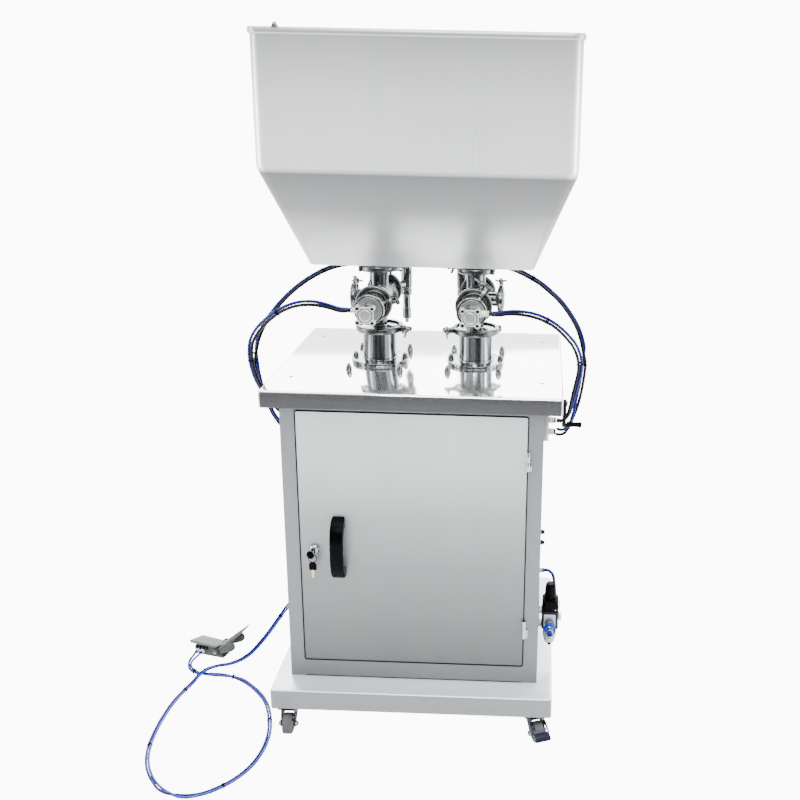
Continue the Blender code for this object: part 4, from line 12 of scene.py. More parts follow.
import bmesh
import bpy
import numpy as np
from mathutils import Matrix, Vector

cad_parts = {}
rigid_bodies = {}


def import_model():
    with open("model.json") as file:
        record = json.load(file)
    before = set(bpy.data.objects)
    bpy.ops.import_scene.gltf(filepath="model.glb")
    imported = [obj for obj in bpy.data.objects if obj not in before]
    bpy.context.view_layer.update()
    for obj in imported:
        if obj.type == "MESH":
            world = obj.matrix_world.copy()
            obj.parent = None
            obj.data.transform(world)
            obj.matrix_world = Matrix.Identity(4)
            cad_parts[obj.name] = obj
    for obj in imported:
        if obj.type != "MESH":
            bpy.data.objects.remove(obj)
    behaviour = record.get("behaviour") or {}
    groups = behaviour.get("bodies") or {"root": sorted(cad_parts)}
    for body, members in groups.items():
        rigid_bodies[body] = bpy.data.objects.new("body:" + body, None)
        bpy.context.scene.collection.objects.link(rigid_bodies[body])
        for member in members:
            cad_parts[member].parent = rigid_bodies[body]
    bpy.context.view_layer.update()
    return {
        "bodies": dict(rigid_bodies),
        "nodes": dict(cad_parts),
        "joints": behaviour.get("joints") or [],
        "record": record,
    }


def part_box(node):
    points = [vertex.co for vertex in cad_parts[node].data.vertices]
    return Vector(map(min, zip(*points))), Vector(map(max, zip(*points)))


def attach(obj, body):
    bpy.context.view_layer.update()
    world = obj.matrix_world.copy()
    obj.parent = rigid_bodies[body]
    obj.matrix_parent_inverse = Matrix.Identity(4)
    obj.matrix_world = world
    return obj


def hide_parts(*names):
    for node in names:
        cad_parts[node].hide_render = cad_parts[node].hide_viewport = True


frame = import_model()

# %% [markdown]
# A fitter measures a machine from one corner. Here sizes are millimetres from the middle of the
# cabinet's front, at floor height: X to the right, Y to the back and Z up. The base tray is as
# wide on the left as on the right and stands 67 mm before the cabinet, so its box gives the zero.

# %% Measure from the cabinet's front
MM = 0.001
BASE_FRONT = -67.0
base_low, base_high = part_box("base_plinth")
ZERO = np.array([(base_low.x + base_high.x) / 2, base_low.y - BASE_FRONT * MM, 0.0])


def world(points):
    """Millimetres of the machine's own frame into metres of the row frame."""
    return np.asarray(points, float) * MM + ZERO


def own(point):
    """The way back: one point of the row frame in the machine's millimetres."""
    return (np.array(point) - ZERO) / MM


print("machine's zero in the row frame:", ZERO.round(4))

# %% [markdown]
# ## Camera
#
# The photographer stood right of the middle, a little above the hopper's rim, and looked down.
# The lens was found by fitting the edges of the cabinet, the table and the hopper. The picture
# was cropped, so the optical centre isn't in its middle: a lens shift puts it back.

# %% The camera
CAMERA_PLACE = (285.394, -2105.546, 1554.776)
YAW, PITCH, ROLL = -0.021931, -0.283350, 0.021997
FOCAL_PIXELS = 993.346
OPTICAL_CENTRE = (518.727, 358.920)
FRAME_PIXELS = 800.0
SENSOR = 36.0

forward = np.array([math.sin(YAW) * math.cos(PITCH), math.cos(YAW) * math.cos(PITCH), math.sin(PITCH)])
level = np.array([math.cos(YAW), -math.sin(YAW), 0.0])
upward = np.cross(level, forward)
right = level * math.cos(ROLL) + upward * math.sin(ROLL)
up = -level * math.sin(ROLL) + upward * math.cos(ROLL)
camera_data = bpy.data.cameras.new("camera")
camera_data.sensor_width = SENSOR
camera_data.lens = FOCAL_PIXELS * SENSOR / FRAME_PIXELS
camera_data.shift_x = 0.5 - OPTICAL_CENTRE[0] / FRAME_PIXELS
camera_data.shift_y = OPTICAL_CENTRE[1] / FRAME_PIXELS - 0.5
camera_data.clip_end = 60
camera = bpy.data.objects.new("camera", camera_data)
bpy.context.scene.collection.objects.link(camera)
turn = Matrix(np.column_stack([right, up, -forward]).tolist()).to_4x4()
camera.matrix_world = Matrix.Translation(world(CAMERA_PLACE)) @ turn
bpy.context.scene.camera = camera
print("lens mm:", round(camera_data.lens, 2),
      "shift:", round(camera_data.shift_x, 4), round(camera_data.shift_y, 4))

# %% [markdown]
# ## Shapes as functions of two parameters
#
# Almost every part of this machine is turned, rolled or folded. Such a surface is a grid of
# points: one parameter runs along a profile or a path, the other runs round it. A shape here is
# a pair: an array of points in the machine's millimetres, and a list of faces.

# %% A grid of points becomes a shape
def grid(points, wrap=True, capped=False):
    """Faces between neighbours of a rows by columns grid; wrap joins the last column to the first.

    capped closes the first and the last row with one flat face each."""
    points = np.asarray(points, float)
    rows, columns = points.shape[:2]
    index = np.arange(rows * columns).reshape(rows, columns)
    ahead = np.roll(index, -1, axis=1)
    last = columns if wrap else columns - 1
    quads = np.stack([index[:-1, :last], ahead[:-1, :last], ahead[1:, :last], index[1:, :last]], axis=-1)
    faces = quads.reshape(-1, 4).tolist()
    if capped:
        faces += [index[0, ::-1].tolist(), index[-1].tolist()]
    return points.reshape(-1, 3), faces


def axes(axis):
    """Three unit vectors for an axis name or a direction: across, across, along.

    Three vectors given together are taken as they are."""
    if not isinstance(axis, str) and np.ndim(axis) == 2:
        return tuple(np.asarray(axis, float))
    names = {"X": (1, 0, 0), "-X": (-1, 0, 0), "Y": (0, 1, 0), "-Y": (0, -1, 0),
             "Z": (0, 0, 1), "-Z": (0, 0, -1)}
    along = np.array(names[axis] if isinstance(axis, str) else axis, float)
    along /= np.linalg.norm(along)
    helper = np.array([0.0, 0.0, 1.0]) if abs(along[2]) < 0.9 else np.array([1.0, 0.0, 0.0])
    first = np.cross(helper, along)
    first /= np.linalg.norm(first)
    return first, np.cross(along, first), along


def eased(profile, radius, closed=False, steps=3):
    """A polyline with its corners rounded: each corner becomes a quadratic curve of three points.

    The curve starts and ends at most the radius, or half of the shorter side, from the corner."""
    points = np.asarray(profile, float)
    before = np.roll(points, 1, axis=0) - points
    after = np.roll(points, -1, axis=0) - points
    long_before = np.linalg.norm(before, axis=1, keepdims=True) + 1e-12
    long_after = np.linalg.norm(after, axis=1, keepdims=True) + 1e-12
    reach = np.minimum(radius, 0.49 * np.minimum(long_before, long_after))
    if not closed:
        reach[[0, -1]] = 0
    t = np.linspace(0, 1, steps + 1)[None, :, None]
    start = (points + before / long_before * reach)[:, None]
    end = (points + after / long_after * reach)[:, None]
    curve = (1 - t) ** 2 * start + 2 * t * (1 - t) * points[:, None] + t ** 2 * end
    if closed:
        return curve.reshape(-1, points.shape[1])
    return np.concatenate([points[:1], curve[1:-1].reshape(-1, points.shape[1]), points[-1:]])


# %% [markdown]
# A lathe gives most of the steel parts. The point at height h and radius r of the profile, turned
# by the angle a, is the place plus r times cos a and sin a across the axis, plus h along it.

# %% Turned, swept and cut shapes
def turned(profile, place=(0, 0, 0), axis="Z", steps=56, ease=0.8, closed=False):
    """r(u) (cos v, sin v) across the axis plus h(u) along it, for a profile of (r, h)."""
    outline = eased(profile, ease, closed) if ease else np.asarray(profile, float)
    if closed:
        outline = np.concatenate([outline, outline[:1]])
    a, b, c = axes(axis)
    angle = np.linspace(0, 2 * math.pi, steps, endpoint=False)
    ring = np.cos(angle)[:, None] * a + np.sin(angle)[:, None] * b
    points = np.asarray(place, float) + outline[:, :1, None] * ring[None] + outline[:, 1:, None] * c
    return grid(points)


def frames_along(path):
    """Unit tangent and two normals at each point, each normal carried on from the one before."""
    path = np.asarray(path, float)
    tangent = np.gradient(path, axis=0)
    tangent /= np.linalg.norm(tangent, axis=1, keepdims=True)
    normal = np.empty_like(path)
    normal[0] = axes(tangent[0])[0]
    for i in range(1, len(path)):
        carried = normal[i - 1] - tangent[i] * (normal[i - 1] @ tangent[i])
        normal[i] = carried / np.linalg.norm(carried)
    return tangent, normal, np.cross(tangent, normal)


def swept(path, section, size=None, capped=True, closed=False):
    """path(u) + size(u) (x(v) n(u) + y(v) b(u)): a section carried along a path."""
    path = np.asarray(path, float)
    section = np.asarray(section, float)
    size = np.ones((len(path), 2)) if size is None else np.broadcast_to(size, (len(path), 2))
    _, normal, other = frames_along(path)
    points = (path[:, None] + (section[None, :, :1] * size[:, None, :1]) * normal[:, None]
              + (section[None, :, 1:] * size[:, None, 1:]) * other[:, None])
    if closed:
        points = np.concatenate([points, points[:1]])
    return grid(points, capped=capped and not closed)


def circle(radius, steps=20):
    angle = np.linspace(0, 2 * math.pi, steps, endpoint=False)
    return np.stack([radius * np.cos(angle), radius * np.sin(angle)], axis=1)


def plate(outline, low, high, axis="Z", place=(0, 0, 0), edge=0.6, steps=3):
    """A flat outline between two heights on an axis; its edges are rounded by drawing it in.

    Near each face the outline moves inwards along its own normals by edge (1 - sin t)."""
    outline = np.asarray(outline, float)
    area = np.sum(outline[:, 0] * np.roll(outline[:, 1], -1) - outline[:, 1] * np.roll(outline[:, 0], -1))
    if area < 0:
        outline = outline[::-1]
    side = np.roll(outline, -1, axis=0) - outline
    side /= np.linalg.norm(side, axis=1, keepdims=True) + 1e-12
    inward = np.stack([-side[:, 1], side[:, 0]], axis=1)
    normal = inward + np.roll(inward, 1, axis=0)
    normal /= np.maximum(np.sum(normal * inward, axis=1, keepdims=True), 0.3)
    edge = min(edge, (high - low) * 0.49)
    t = np.linspace(0, math.pi / 2, steps + 1)
    inset = edge * (1 - np.sin(t))
    rise = edge * (1 - np.cos(t))
    insets = np.concatenate([inset, inset[::-1]])
    heights = np.concatenate([low + rise, high - rise[::-1]])
    flat = outline[None] + insets[:, None, None] * normal[None]
    a, b, c = axes(axis)
    points = (np.asarray(place, float) + flat[..., :1] * a + flat[..., 1:] * b
              + heights[:, None, None] * c)
    return grid(points, capped=True)


def rounded_rectangle(half_x, half_y, corner, steps=5):
    """Points round a rectangle whose corners are quarter circles."""
    corner = min(corner, half_x, half_y)
    quarter = np.linspace(0, math.pi / 2, steps + 1)
    points = []
    for k, (sx, sy) in enumerate(((1, 1), (-1, 1), (-1, -1), (1, -1))):
        angle = quarter + k * math.pi / 2
        middle = np.array([sx * (half_x - corner), sy * (half_y - corner)])
        points.append(middle + corner * np.stack([np.cos(angle), np.sin(angle)], axis=1))
    return np.concatenate(points)


def block(low, high, edge=0.8, corner=2.0, axis="Z"):
    """A box with rounded upright corners and eased edges, between two corners."""
    low, high = np.asarray(low, float), np.asarray(high, float)
    middle, half = (low + high) / 2, (high - low) / 2
    a, b, c = axes(axis)
    size = np.abs([half @ a, half @ b, half @ c])
    return plate(rounded_rectangle(size[0], size[1], corner), -size[2], size[2], axis, middle, edge)


def shifted(shape, by):
    return shape[0] + np.asarray(by, float), shape[1]


def rotated(shape, degrees, axis="Z", about=(0, 0, 0)):
    turning = np.array(Matrix.Rotation(math.radians(degrees), 3, axes(axis)[2].tolist()))
    about = np.asarray(about, float)
    return (shape[0] - about) @ turning.T + about, shape[1]


# %% [markdown]
# One helper turns shapes into a piece. It merges each shape's doubled points, which closes seams
# and poles, turns the faces outwards, shades round surfaces smooth and leaves real edges sharp.

# %% Shapes become a piece that rides on a body
made_triangles = {}


def piece(name, body, look, *shapes, sharp=38, replaces=(), slot=None):
    joined = bmesh.new()
    for points, faces in shapes:
        mesh = bpy.data.meshes.new(name)
        mesh.from_pydata(world(points).tolist(), [], faces)
        part = bmesh.new()
        part.from_mesh(mesh)
        bmesh.ops.remove_doubles(part, verts=part.verts, dist=1e-6)
        bmesh.ops.recalc_face_normals(part, faces=part.faces)
        part.to_mesh(mesh)
        part.free()
        joined.from_mesh(mesh)
        bpy.data.meshes.remove(mesh)
    mesh = bpy.data.meshes.new(name)
    joined.to_mesh(mesh)
    joined.free()
    mesh.shade_smooth()
    mesh.set_sharp_from_angle(angle=math.radians(sharp))
    mesh.materials.append(look)
    made = bpy.data.objects.new(name, mesh)
    bpy.context.scene.collection.objects.link(made)
    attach(made, body)
    if replaces:
        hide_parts(*([replaces] if isinstance(replaces, str) else replaces))
    made_triangles[name] = sum(len(face.vertices) - 2 for face in mesh.polygons)
    return made


# %% [markdown]
# ## Finishes
#
# A finish is a small network of shader nodes. A wrapped socket lets us write shader maths as
# Python: adding or multiplying two sockets makes a Math node. Everything else goes through
# one method that takes a node's type, its settings and the values of its sockets.

# %% Shader maths in Python
class Value:
    """A socket on which Python's operators add Math nodes."""

    def __init__(self, graph, socket):
        self.graph = graph
        self.socket = socket

    def math(self, operation, first, second):
        return self.graph.node("ShaderNodeMath", {"operation": operation}, {0: first, 1: second})

    def __add__(self, other):
        return self.math("ADD", self, other)

    def __sub__(self, other):
        return self.math("SUBTRACT", self, other)

    def __rsub__(self, other):
        return self.math("SUBTRACT", other, self)

    def __mul__(self, other):
        return self.math("MULTIPLY", self, other)

    __radd__ = __add__
    __rmul__ = __mul__


class Finish:
    """A material whose patterns are read in metres of the row frame."""

    def __init__(self, name, **sockets):
        self.material = bpy.data.materials.new(name)
        self.material.use_nodes = True
        self.tree = self.material.node_tree
        self.shader = self.tree.nodes["Principled BSDF"]
        for key, value in sockets.items():
            self.shader.inputs[key.replace("_", " ")].default_value = value

    def node(self, kind, settings=None, sockets=None, output=0):
        made = self.tree.nodes.new(kind)
        for key, value in (settings or {}).items():
            if key == "stops":
                ramp = made.color_ramp
                while len(ramp.elements) < len(value):
                    ramp.elements.new(0.5)
                for element, (position, grey) in zip(ramp.elements, value):
                    element.position = position
                    element.color = (grey, grey, grey, 1)
            else:
                setattr(made, key, value)
        for key, value in (sockets or {}).items():
            self.plug(made.inputs[key], value)
        return Value(self, made.outputs[output])

    def plug(self, socket, value):
        if isinstance(value, Value):
            self.tree.links.new(value.socket, socket)
        else:
            socket.default_value = value

    def noise(self, scale, stretch=(1, 1, 1), detail=3.0, seed=(0, 0, 0)):
        """Noise in object coordinates; a small stretch number draws it out along that axis."""
        here = self.node("ShaderNodeTexCoord", output="Object")
        placed = self.node("ShaderNodeMapping", None, {"Vector": here, "Scale": stretch, "Location": seed})
        sockets = {"Vector": placed, "Scale": scale, "Detail": detail}
        return self.node("ShaderNodeTexNoise", None, sockets)

    def ramp(self, value, *stops):
        return self.node("ShaderNodeValToRGB", {"stops": stops}, {"Fac": value})

    def mix(self, share, first, second):
        sockets = {0: share, 6: (*first, 1) if isinstance(first, tuple) else first,
                   7: (*second, 1) if isinstance(second, tuple) else second}
        return self.node("ShaderNodeMix", {"data_type": "RGBA"}, sockets, output=2)

    def wear(self, colour=None, roughness=None, metallic=None, height=None, depth=0.0001, strength=0.3):
        """Plug what changes over the surface; height goes through a Bump node."""
        for socket, value in (("Base Color", colour), ("Roughness", roughness), ("Metallic", metallic)):
            if value is not None:
                self.plug(self.shader.inputs[socket], value)
        if height is not None:
            sockets = {"Height": height, "Distance": depth, "Strength": strength}
            bump = self.node("ShaderNodeBump", None, sockets)
            self.plug(self.shader.inputs["Normal"], bump)
        return self.material


# %% [markdown]
# Stainless sheet is brushed on a belt: fine parallel scratches and wider, fainter bands. Noise
# that is drawn out 50 times along the belt's direction gives both. The scratches move the
# roughness and a tiny bump, and the bands shift the colour by a few hundredths. A ramp over
# height then multiplies painted light and shade into the colour of most sheets.

# %% Brushed stainless sheet
def brushed(name, along, tone, rough, contrast=0.05, shade=None, metal=0.55):
    """Sheet brushed along one axis; tone is the sheet's base colour.

    shade holds (height in metres, brightness) stops: painted light and shade, a brightness that changes with
    height and multiplies the colour."""
    stretch = [1.0, 1.0, 1.0]
    stretch["XYZ".index(along)] = 0.02
    made = Finish(name, Metallic=metal, IOR=1.5, Specular_IOR_Level=0.3)
    scratches = made.noise(900.0, stretch, 2.0)
    bands = made.noise(22.0, stretch, 4.0, (0.3, 0.1, 0.7))
    clouds = made.noise(3.2, (1, 1, 1), 3.0)
    pale = tuple(min(1.0, c * (1 + contrast)) for c in tone)
    deep = tuple(c * (1 - contrast) for c in tone)
    share = made.ramp(bands * 0.6 + clouds * 0.4, (0.3, 0.0), (0.7, 1.0))
    smear = made.ramp(clouds, (0.35, 0.0), (0.75, 1.0))
    colour = made.mix(share, deep, pale)
    if shade:
        here = made.node("ShaderNodeTexCoord", output="Object")
        height = made.node("ShaderNodeSeparateXYZ", None, {"Vector": here}, output="Z")
        low, high = shade[0][0], shade[-1][0]
        stops = (((z - low) / (high - low), value) for z, value in shade)
        grey = made.ramp((height - low) * (1 / (high - low)), *stops)
        colour = made.node("ShaderNodeMix", {"data_type": "RGBA", "blend_type": "MULTIPLY"},
                           {0: 1.0, 6: colour, 7: grey}, output=2)
    return made.wear(colour, rough + 0.10 * scratches + 0.06 * smear - 0.06,
                     height=scratches, depth=0.00006, strength=0.12)


# Painted light and shade, as brightness by height: a dark band under the hopper's knee, the door darker
# towards the bottom, the table's skirt and the base's front darker than their tops, and the cabinet lighter
# towards the top.
HOPPER_SHADE = ((1.10, 0.66), (1.16, 0.46), (1.24, 0.19), (1.322, 0.13), (1.336, 1.0), (1.38, 1.0),
                (1.48, 0.86), (1.63, 0.42))
DOOR_SHADE = ((0.16, 0.10), (0.26, 0.13), (0.42, 0.20), (0.55, 0.31), (0.68, 0.55), (0.81, 0.70))
TABLE_SHADE = ((0.817, 0.50), (0.851, 0.54), (0.8535, 0.70), (0.8565, 1.0))
BASE_SHADE = ((0.060, 0.26), (0.117, 0.27), (0.1195, 1.0))
FRAME_SHADE = ((0.12, 0.80), (0.30, 0.90), (0.817, 1.35))
sheet_hopper = brushed("sheet_hopper", "Z", (0.96, 0.985, 1.0), 0.30, 0.04, HOPPER_SHADE)
# The cabinet's satin stainless is drawn far darker than the same sheet on the door: painted shade.
sheet_frame = brushed("sheet_cabinet", "Z", (0.165, 0.175, 0.18), 0.36, 0.05, FRAME_SHADE)
sheet_level = brushed("sheet_base", "X", (0.66, 0.69, 0.71), 0.34, 0.08, BASE_SHADE)
sheet_table = brushed("sheet_table_top", "X", (0.97, 0.975, 0.98), 0.07, 0.02, TABLE_SHADE, 0.96)
sheet_door = brushed("sheet_door", "Z", (0.93, 0.985, 1.0), 0.36, 0.05, DOOR_SHADE)


# %% [markdown]
# Turned and polished steel keeps faint rings from the lathe and the buffing wheel. Cast clamps
# are polished too, but a little wavy and darker. Chrome is the smoothest.

# %% Polished metals
def polished(name, tone, rough, waves=40.0, depth=0.00015, spots=0.05, painted_reflection_axis=None):
    """Metal with faint waves and stains. Given an axis, it gets painted reflections instead of the stains:
    bright and dark bands that run along that axis.
    """
    made = Finish(name, Metallic=1.0, IOR=2.4)
    wave = made.noise(waves, (1, 1, 1), 2.0)
    grime = made.noise(140.0, (1, 1, 1), 4.0)
    stain = made.ramp(grime, (0.45, 0.0), (0.75, 1.0))
    deep = tuple(c * 0.80 for c in tone)
    if painted_reflection_axis:
        stretch = [1.0, 1.0, 1.0]
        stretch["XYZ".index(painted_reflection_axis)] = 0.03
        # Painted reflections: bright and dark bands along the axis, as a polished tube mirrors the room.
        band = made.ramp(made.noise(95.0, stretch, 2.0), (0.36, 0.0), (0.62, 1.0))
        stains_and_painted_reflections = made.mix(band, tuple(c * 0.32 for c in tone), tuple(min(1.0, c * 1.9) for c in tone))
    else:
        stains_and_painted_reflections = made.mix(stain * 0.5, tone, deep)
    return made.wear(stains_and_painted_reflections, rough + spots * stain + 0.03 * wave,
                     height=wave, depth=depth, strength=0.10)


steel_polished = polished("steel_polished", (0.16, 0.172, 0.172), 0.12)
# The tube of the cylinders and valves gets painted reflection bands down its height.
steel_tube = polished("steel_tube", (0.17, 0.183, 0.183), 0.12, painted_reflection_axis="Z")
steel_disc = polished("steel_disc", (0.27, 0.295, 0.285), 0.34, 260.0, 0.0002, 0.06)
steel_cast = polished("steel_cast_clamp", (0.115, 0.122, 0.122), 0.22, 160.0, 0.0003, 0.10)
steel_bright = polished("steel_bright_fastener", (0.20, 0.20, 0.195), 0.16)
chrome = polished("chrome_plate", (0.36, 0.37, 0.38), 0.08, 30.0, 0.00005)
aluminium = polished("aluminium_anodised", (0.38, 0.40, 0.39), 0.36, 220.0, 0.0002, 0.08)
aluminium_bright = polished("aluminium_milled", (0.60, 0.61, 0.60), 0.34, 220.0, 0.0002, 0.08)
nickel = polished("nickel_fitting", (0.50, 0.50, 0.47), 0.22, 90.0, 0.0002, 0.08)


# %% [markdown]
# Moulded plastic has an orange-peel grain, rubber is duller with pale dust on it, paint on steel
# is chipped grey in places, and a sand-cast pedal has a pebbled skin. One function of a base
# colour, a rub colour and two scales covers them.

# %% Plastics, rubber, paint and casting
def moulded(name, tone, rub, rough, grain=700.0, depth=0.0002, rubbed=0.4, **sockets):
    made = Finish(name, **sockets)
    skin = made.noise(grain, (1, 1, 1), 2.0)
    hands = made.noise(60.0, (1, 1, 1), 5.0, (0.2, 0.4, 0.1))
    worn = made.ramp(hands, (0.45, 0.0), (0.8, 1.0))
    return made.wear(made.mix(worn * rubbed, tone, rub), rough + 0.12 * worn + 0.08 * skin,
                     height=skin, depth=depth, strength=0.35)


plastic_black = moulded("plastic_black", (0.0006, 0.0008, 0.001), (0.002, 0.0025, 0.003),
                        0.22, Specular_IOR_Level=0.03)
paint_black = moulded("paint_black", (0.003, 0.003, 0.004), (0.012, 0.012, 0.014),
                      0.34, 300.0, Specular_IOR_Level=0.12)
rubber_seal = moulded("rubber_seal", (0.002, 0.003, 0.004), (0.006, 0.006, 0.006),
                      0.55, Specular_IOR_Level=0.05)
rubber_grey = moulded("rubber_tread", (0.05, 0.052, 0.058), (0.11, 0.11, 0.12),
                      0.62, 900.0, 0.0004, 0.6, Specular_IOR_Level=0.2)
casting = moulded("casting_aluminium", (0.060, 0.066, 0.060), (0.095, 0.102, 0.095),
                  0.42, 420.0, 0.0006, 0.6, Metallic=0.55, Specular_IOR_Level=0.2)
casting_pale = moulded("casting_cover", (0.105, 0.11, 0.102), (0.165, 0.17, 0.16),
                       0.44, 420.0, 0.0005, 0.6, Metallic=0.45, Specular_IOR_Level=0.2)
navy = moulded("plastic_navy", (0.003, 0.004, 0.018), (0.010, 0.012, 0.03),
               0.28, Specular_IOR_Level=0.15)
plastic_white = moulded("plastic_white", (0.62, 0.63, 0.60), (0.50, 0.51, 0.49), 0.30)
plastic_cream = moulded("plastic_cream", (0.55, 0.58, 0.26), (0.45, 0.48, 0.22), 0.30)
plastic_blue = moulded("plastic_blue_valve", (0.001, 0.035, 0.34), (0.002, 0.10, 0.50),
                       0.16, 300.0, 0.0001, 0.7, Specular_IOR_Level=0.12)
plastic_collet = moulded("plastic_blue_collet", (0.001, 0.004, 0.20), (0.003, 0.015, 0.30),
                         0.25, Specular_IOR_Level=0.2)
seal_white = moulded("seal_white", (0.62, 0.62, 0.60), (0.50, 0.50, 0.48), 0.45)
tube_blue = moulded("tube_blue", (0.0012, 0.0025, 0.085), (0.002, 0.007, 0.17),
                    0.16, 80.0, 0.0001, 0.8, Specular_IOR_Level=0.15)
# A lighter blue for one tube of the pedal's pair: a painted highlight on a blue tube.
tube_blue_painted_highlight = moulded("tube_blue_painted_highlight", (0.004, 0.012, 0.22), (0.02, 0.05, 0.42),
                     0.14, 80.0, 0.0001, 0.8, Specular_IOR_Level=0.3)
tube_black = moulded("tube_black", (0.0012, 0.0012, 0.003), (0.003, 0.003, 0.009),
                     0.20, 80.0, 0.0001, 0.8, Specular_IOR_Level=0.12)
bowl_clear = moulded("bowl_clear", (0.93, 0.96, 0.98), (0.86, 0.90, 0.94), 0.06, 60.0, 0.0001, 0.5,
                     Transmission_Weight=0.85, IOR=1.48)


# %% [markdown]
# ## Air tubes
#
# Each moving part is fed by a pair of polyurethane tubes, one to push and one to pull. A pair
# leaves two push-in fittings 14 mm apart, closes up, is tied here and there, and parts again at
# the far end. A route is a few listed points with a smooth curve through them; the tubes of a
# pair lie on both sides of it.

# %% A smooth route and a pair of tubes along it
def smooth(points, spacing):
    """Catmull-Rom curve through the points, sampled at about one spacing."""
    p = np.asarray(points, float)
    p = np.concatenate([2 * p[:1] - p[1:2], p, 2 * p[-1:] - p[-2:-1]])
    samples = [p[1:2]]
    for before, a, b, after in zip(p, p[1:], p[2:], p[3:]):
        count = max(1, round(np.linalg.norm(b - a) / spacing))
        t = (np.arange(count)[:, None] + 1) / count
        samples.append(0.5 * (2 * a + (b - before) * t + (2 * before - 5 * a + 4 * b - after) * t ** 2
                              + (3 * a - before - 3 * b + after) * t ** 3))
    return np.concatenate(samples)


def lengths(line):
    """Distance along a line to each of its points."""
    steps = np.linalg.norm(np.diff(line, axis=0), axis=1)
    return np.concatenate([[0.0], np.cumsum(steps)])


def resampled(line, count):
    far = lengths(line)
    even = np.linspace(0, far[-1], count)
    return np.stack([np.interp(even, far, line[:, k]) for k in range(3)], axis=1)


def beside(line, start_side, lean, spread, closing=45.0):
    """Direction to one tube of a pair and its distance, at each point of the pair's middle line.

    The side turns from start_side by the lean angle and back; the distance narrows from
    7 mm at both ends to half the spread, over the closing length."""
    tangent = np.gradient(line, axis=0)
    tangent /= np.linalg.norm(tangent, axis=1, keepdims=True)
    far = lengths(line)
    share = far / far[-1]
    side = np.asarray(start_side, float) - tangent * (tangent @ np.asarray(start_side, float))[:, None]
    side /= np.linalg.norm(side, axis=1, keepdims=True)
    other = np.cross(tangent, side)
    angle = (lean(share) * math.pi / 180)[:, None]
    direction = side * np.cos(angle) + other * np.sin(angle)
    near_end = np.clip(np.minimum(far, far[-1] - far) / closing, 0, 1)
    near_end = near_end * near_end * (3 - 2 * near_end)
    return direction, 7.0 + (spread(share) / 2 - 7.0) * near_end


def tube(name, line, radius, look, node, body="root", count=40):
    """A free tube: one smooth curve with a round section."""
    line = resampled(np.asarray(line, float), count)
    curve = bpy.data.curves.new(name, "CURVE")
    curve.dimensions = "3D"
    curve.bevel_depth = radius * MM
    curve.bevel_resolution = 5
    curve.resolution_u = 6
    curve.use_fill_caps = True
    spline = curve.splines.new("BEZIER")
    spline.bezier_points.add(count - 1)
    for point, place in zip(spline.bezier_points, world(line)):
        point.co = place
        point.handle_left_type = "AUTO"
        point.handle_right_type = "AUTO"
    curve.materials.append(look)
    made = bpy.data.objects.new(name, curve)
    bpy.context.scene.collection.objects.link(made)
    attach(made, body)
    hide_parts(node)
    return made, line


def tie(name, place, tangent, side, reach, radius, look):
    """A cable tie: a flat band round both tubes, with its lock and a cut tail."""
    tangent = tangent / np.linalg.norm(tangent)
    side = side - tangent * (side @ tangent)
    side /= np.linalg.norm(side)
    upwards = np.cross(tangent, side)
    if upwards[2] < 0:
        side, upwards = -side, -upwards
    angle = np.linspace(0, 2 * math.pi, 28, endpoint=False)
    bulge = radius + 0.5
    ring = ((np.sign(np.cos(angle)) * reach + bulge * np.cos(angle))[:, None] * side
            + (bulge * np.sin(angle))[:, None] * upwards)
    outline = eased([(0.5, -1.3), (0.5, 1.3), (-0.4, 1.3), (-0.4, -1.3)], 0.25, True, 2)
    outward = np.cos(angle)[:, None] * side + np.sin(angle)[:, None] * upwards
    points = (place + ring[:, None] + outline[None, :, :1] * outward[:, None]
              + outline[None, :, 1:] * tangent[None, None])
    band = grid(np.concatenate([points, points[:1]]))
    low, high = place + upwards * (bulge + 1.2), place + upwards * (bulge + 1.5)
    lock = plate(rounded_rectangle(1.7, 2.4, 0.6, 2), -1.5, 1.6, upwards, low, 0.4)
    tail = plate(rounded_rectangle(0.5, 1.2, 0.3, 2), 0, 6.0, upwards + side * 0.6, high, 0.3)
    return piece(name, "root", look, band, lock, tail)


def tube_pair(key, node, points, radius, looks, side, lean, spread, ties=(), drop=0.0):
    """Both tubes of a pair with their ties. drop lowers what lies on the floor, in mm."""
    middle = smooth(np.asarray(points, float) / MM, 8.0)
    share = lengths(middle) / lengths(middle)[-1]
    inside = np.clip(np.minimum(share - 0.006, 1 - share) / 0.02, 0, 1)
    middle[:, 2] -= drop * inside * np.clip((30 - middle[:, 2]) / 15, 0, 1)
    direction, distance = beside(middle, side, lean, spread)
    tangent = np.gradient(middle, axis=0)
    bands = []
    for k, where in enumerate(ties):
        at = int(where * (len(middle) - 1))
        bands.append(tie(f"{key}_tie_{k + 1}", middle[at], tangent[at], direction[at], distance[at],
                         radius, plastic_black))
    for sign, look, word in ((1, looks[0], "a"), (-1, looks[1], "b")):
        beside_it = middle + sign * direction * distance[:, None]
        made, line = tube(f"{key}_{word}", beside_it, radius, look, node)
        bands if sign > 0 else []


# %% [markdown]
# The routes repeat the centre lines of the solid tubes, in metres of the machine's own frame.
# The pairs at the valves and nozzles hang in free bows past the table's ends. The pair of the
# pedal lies on the floor in one loop, crosses itself in a low hump and rises to the cabinet.

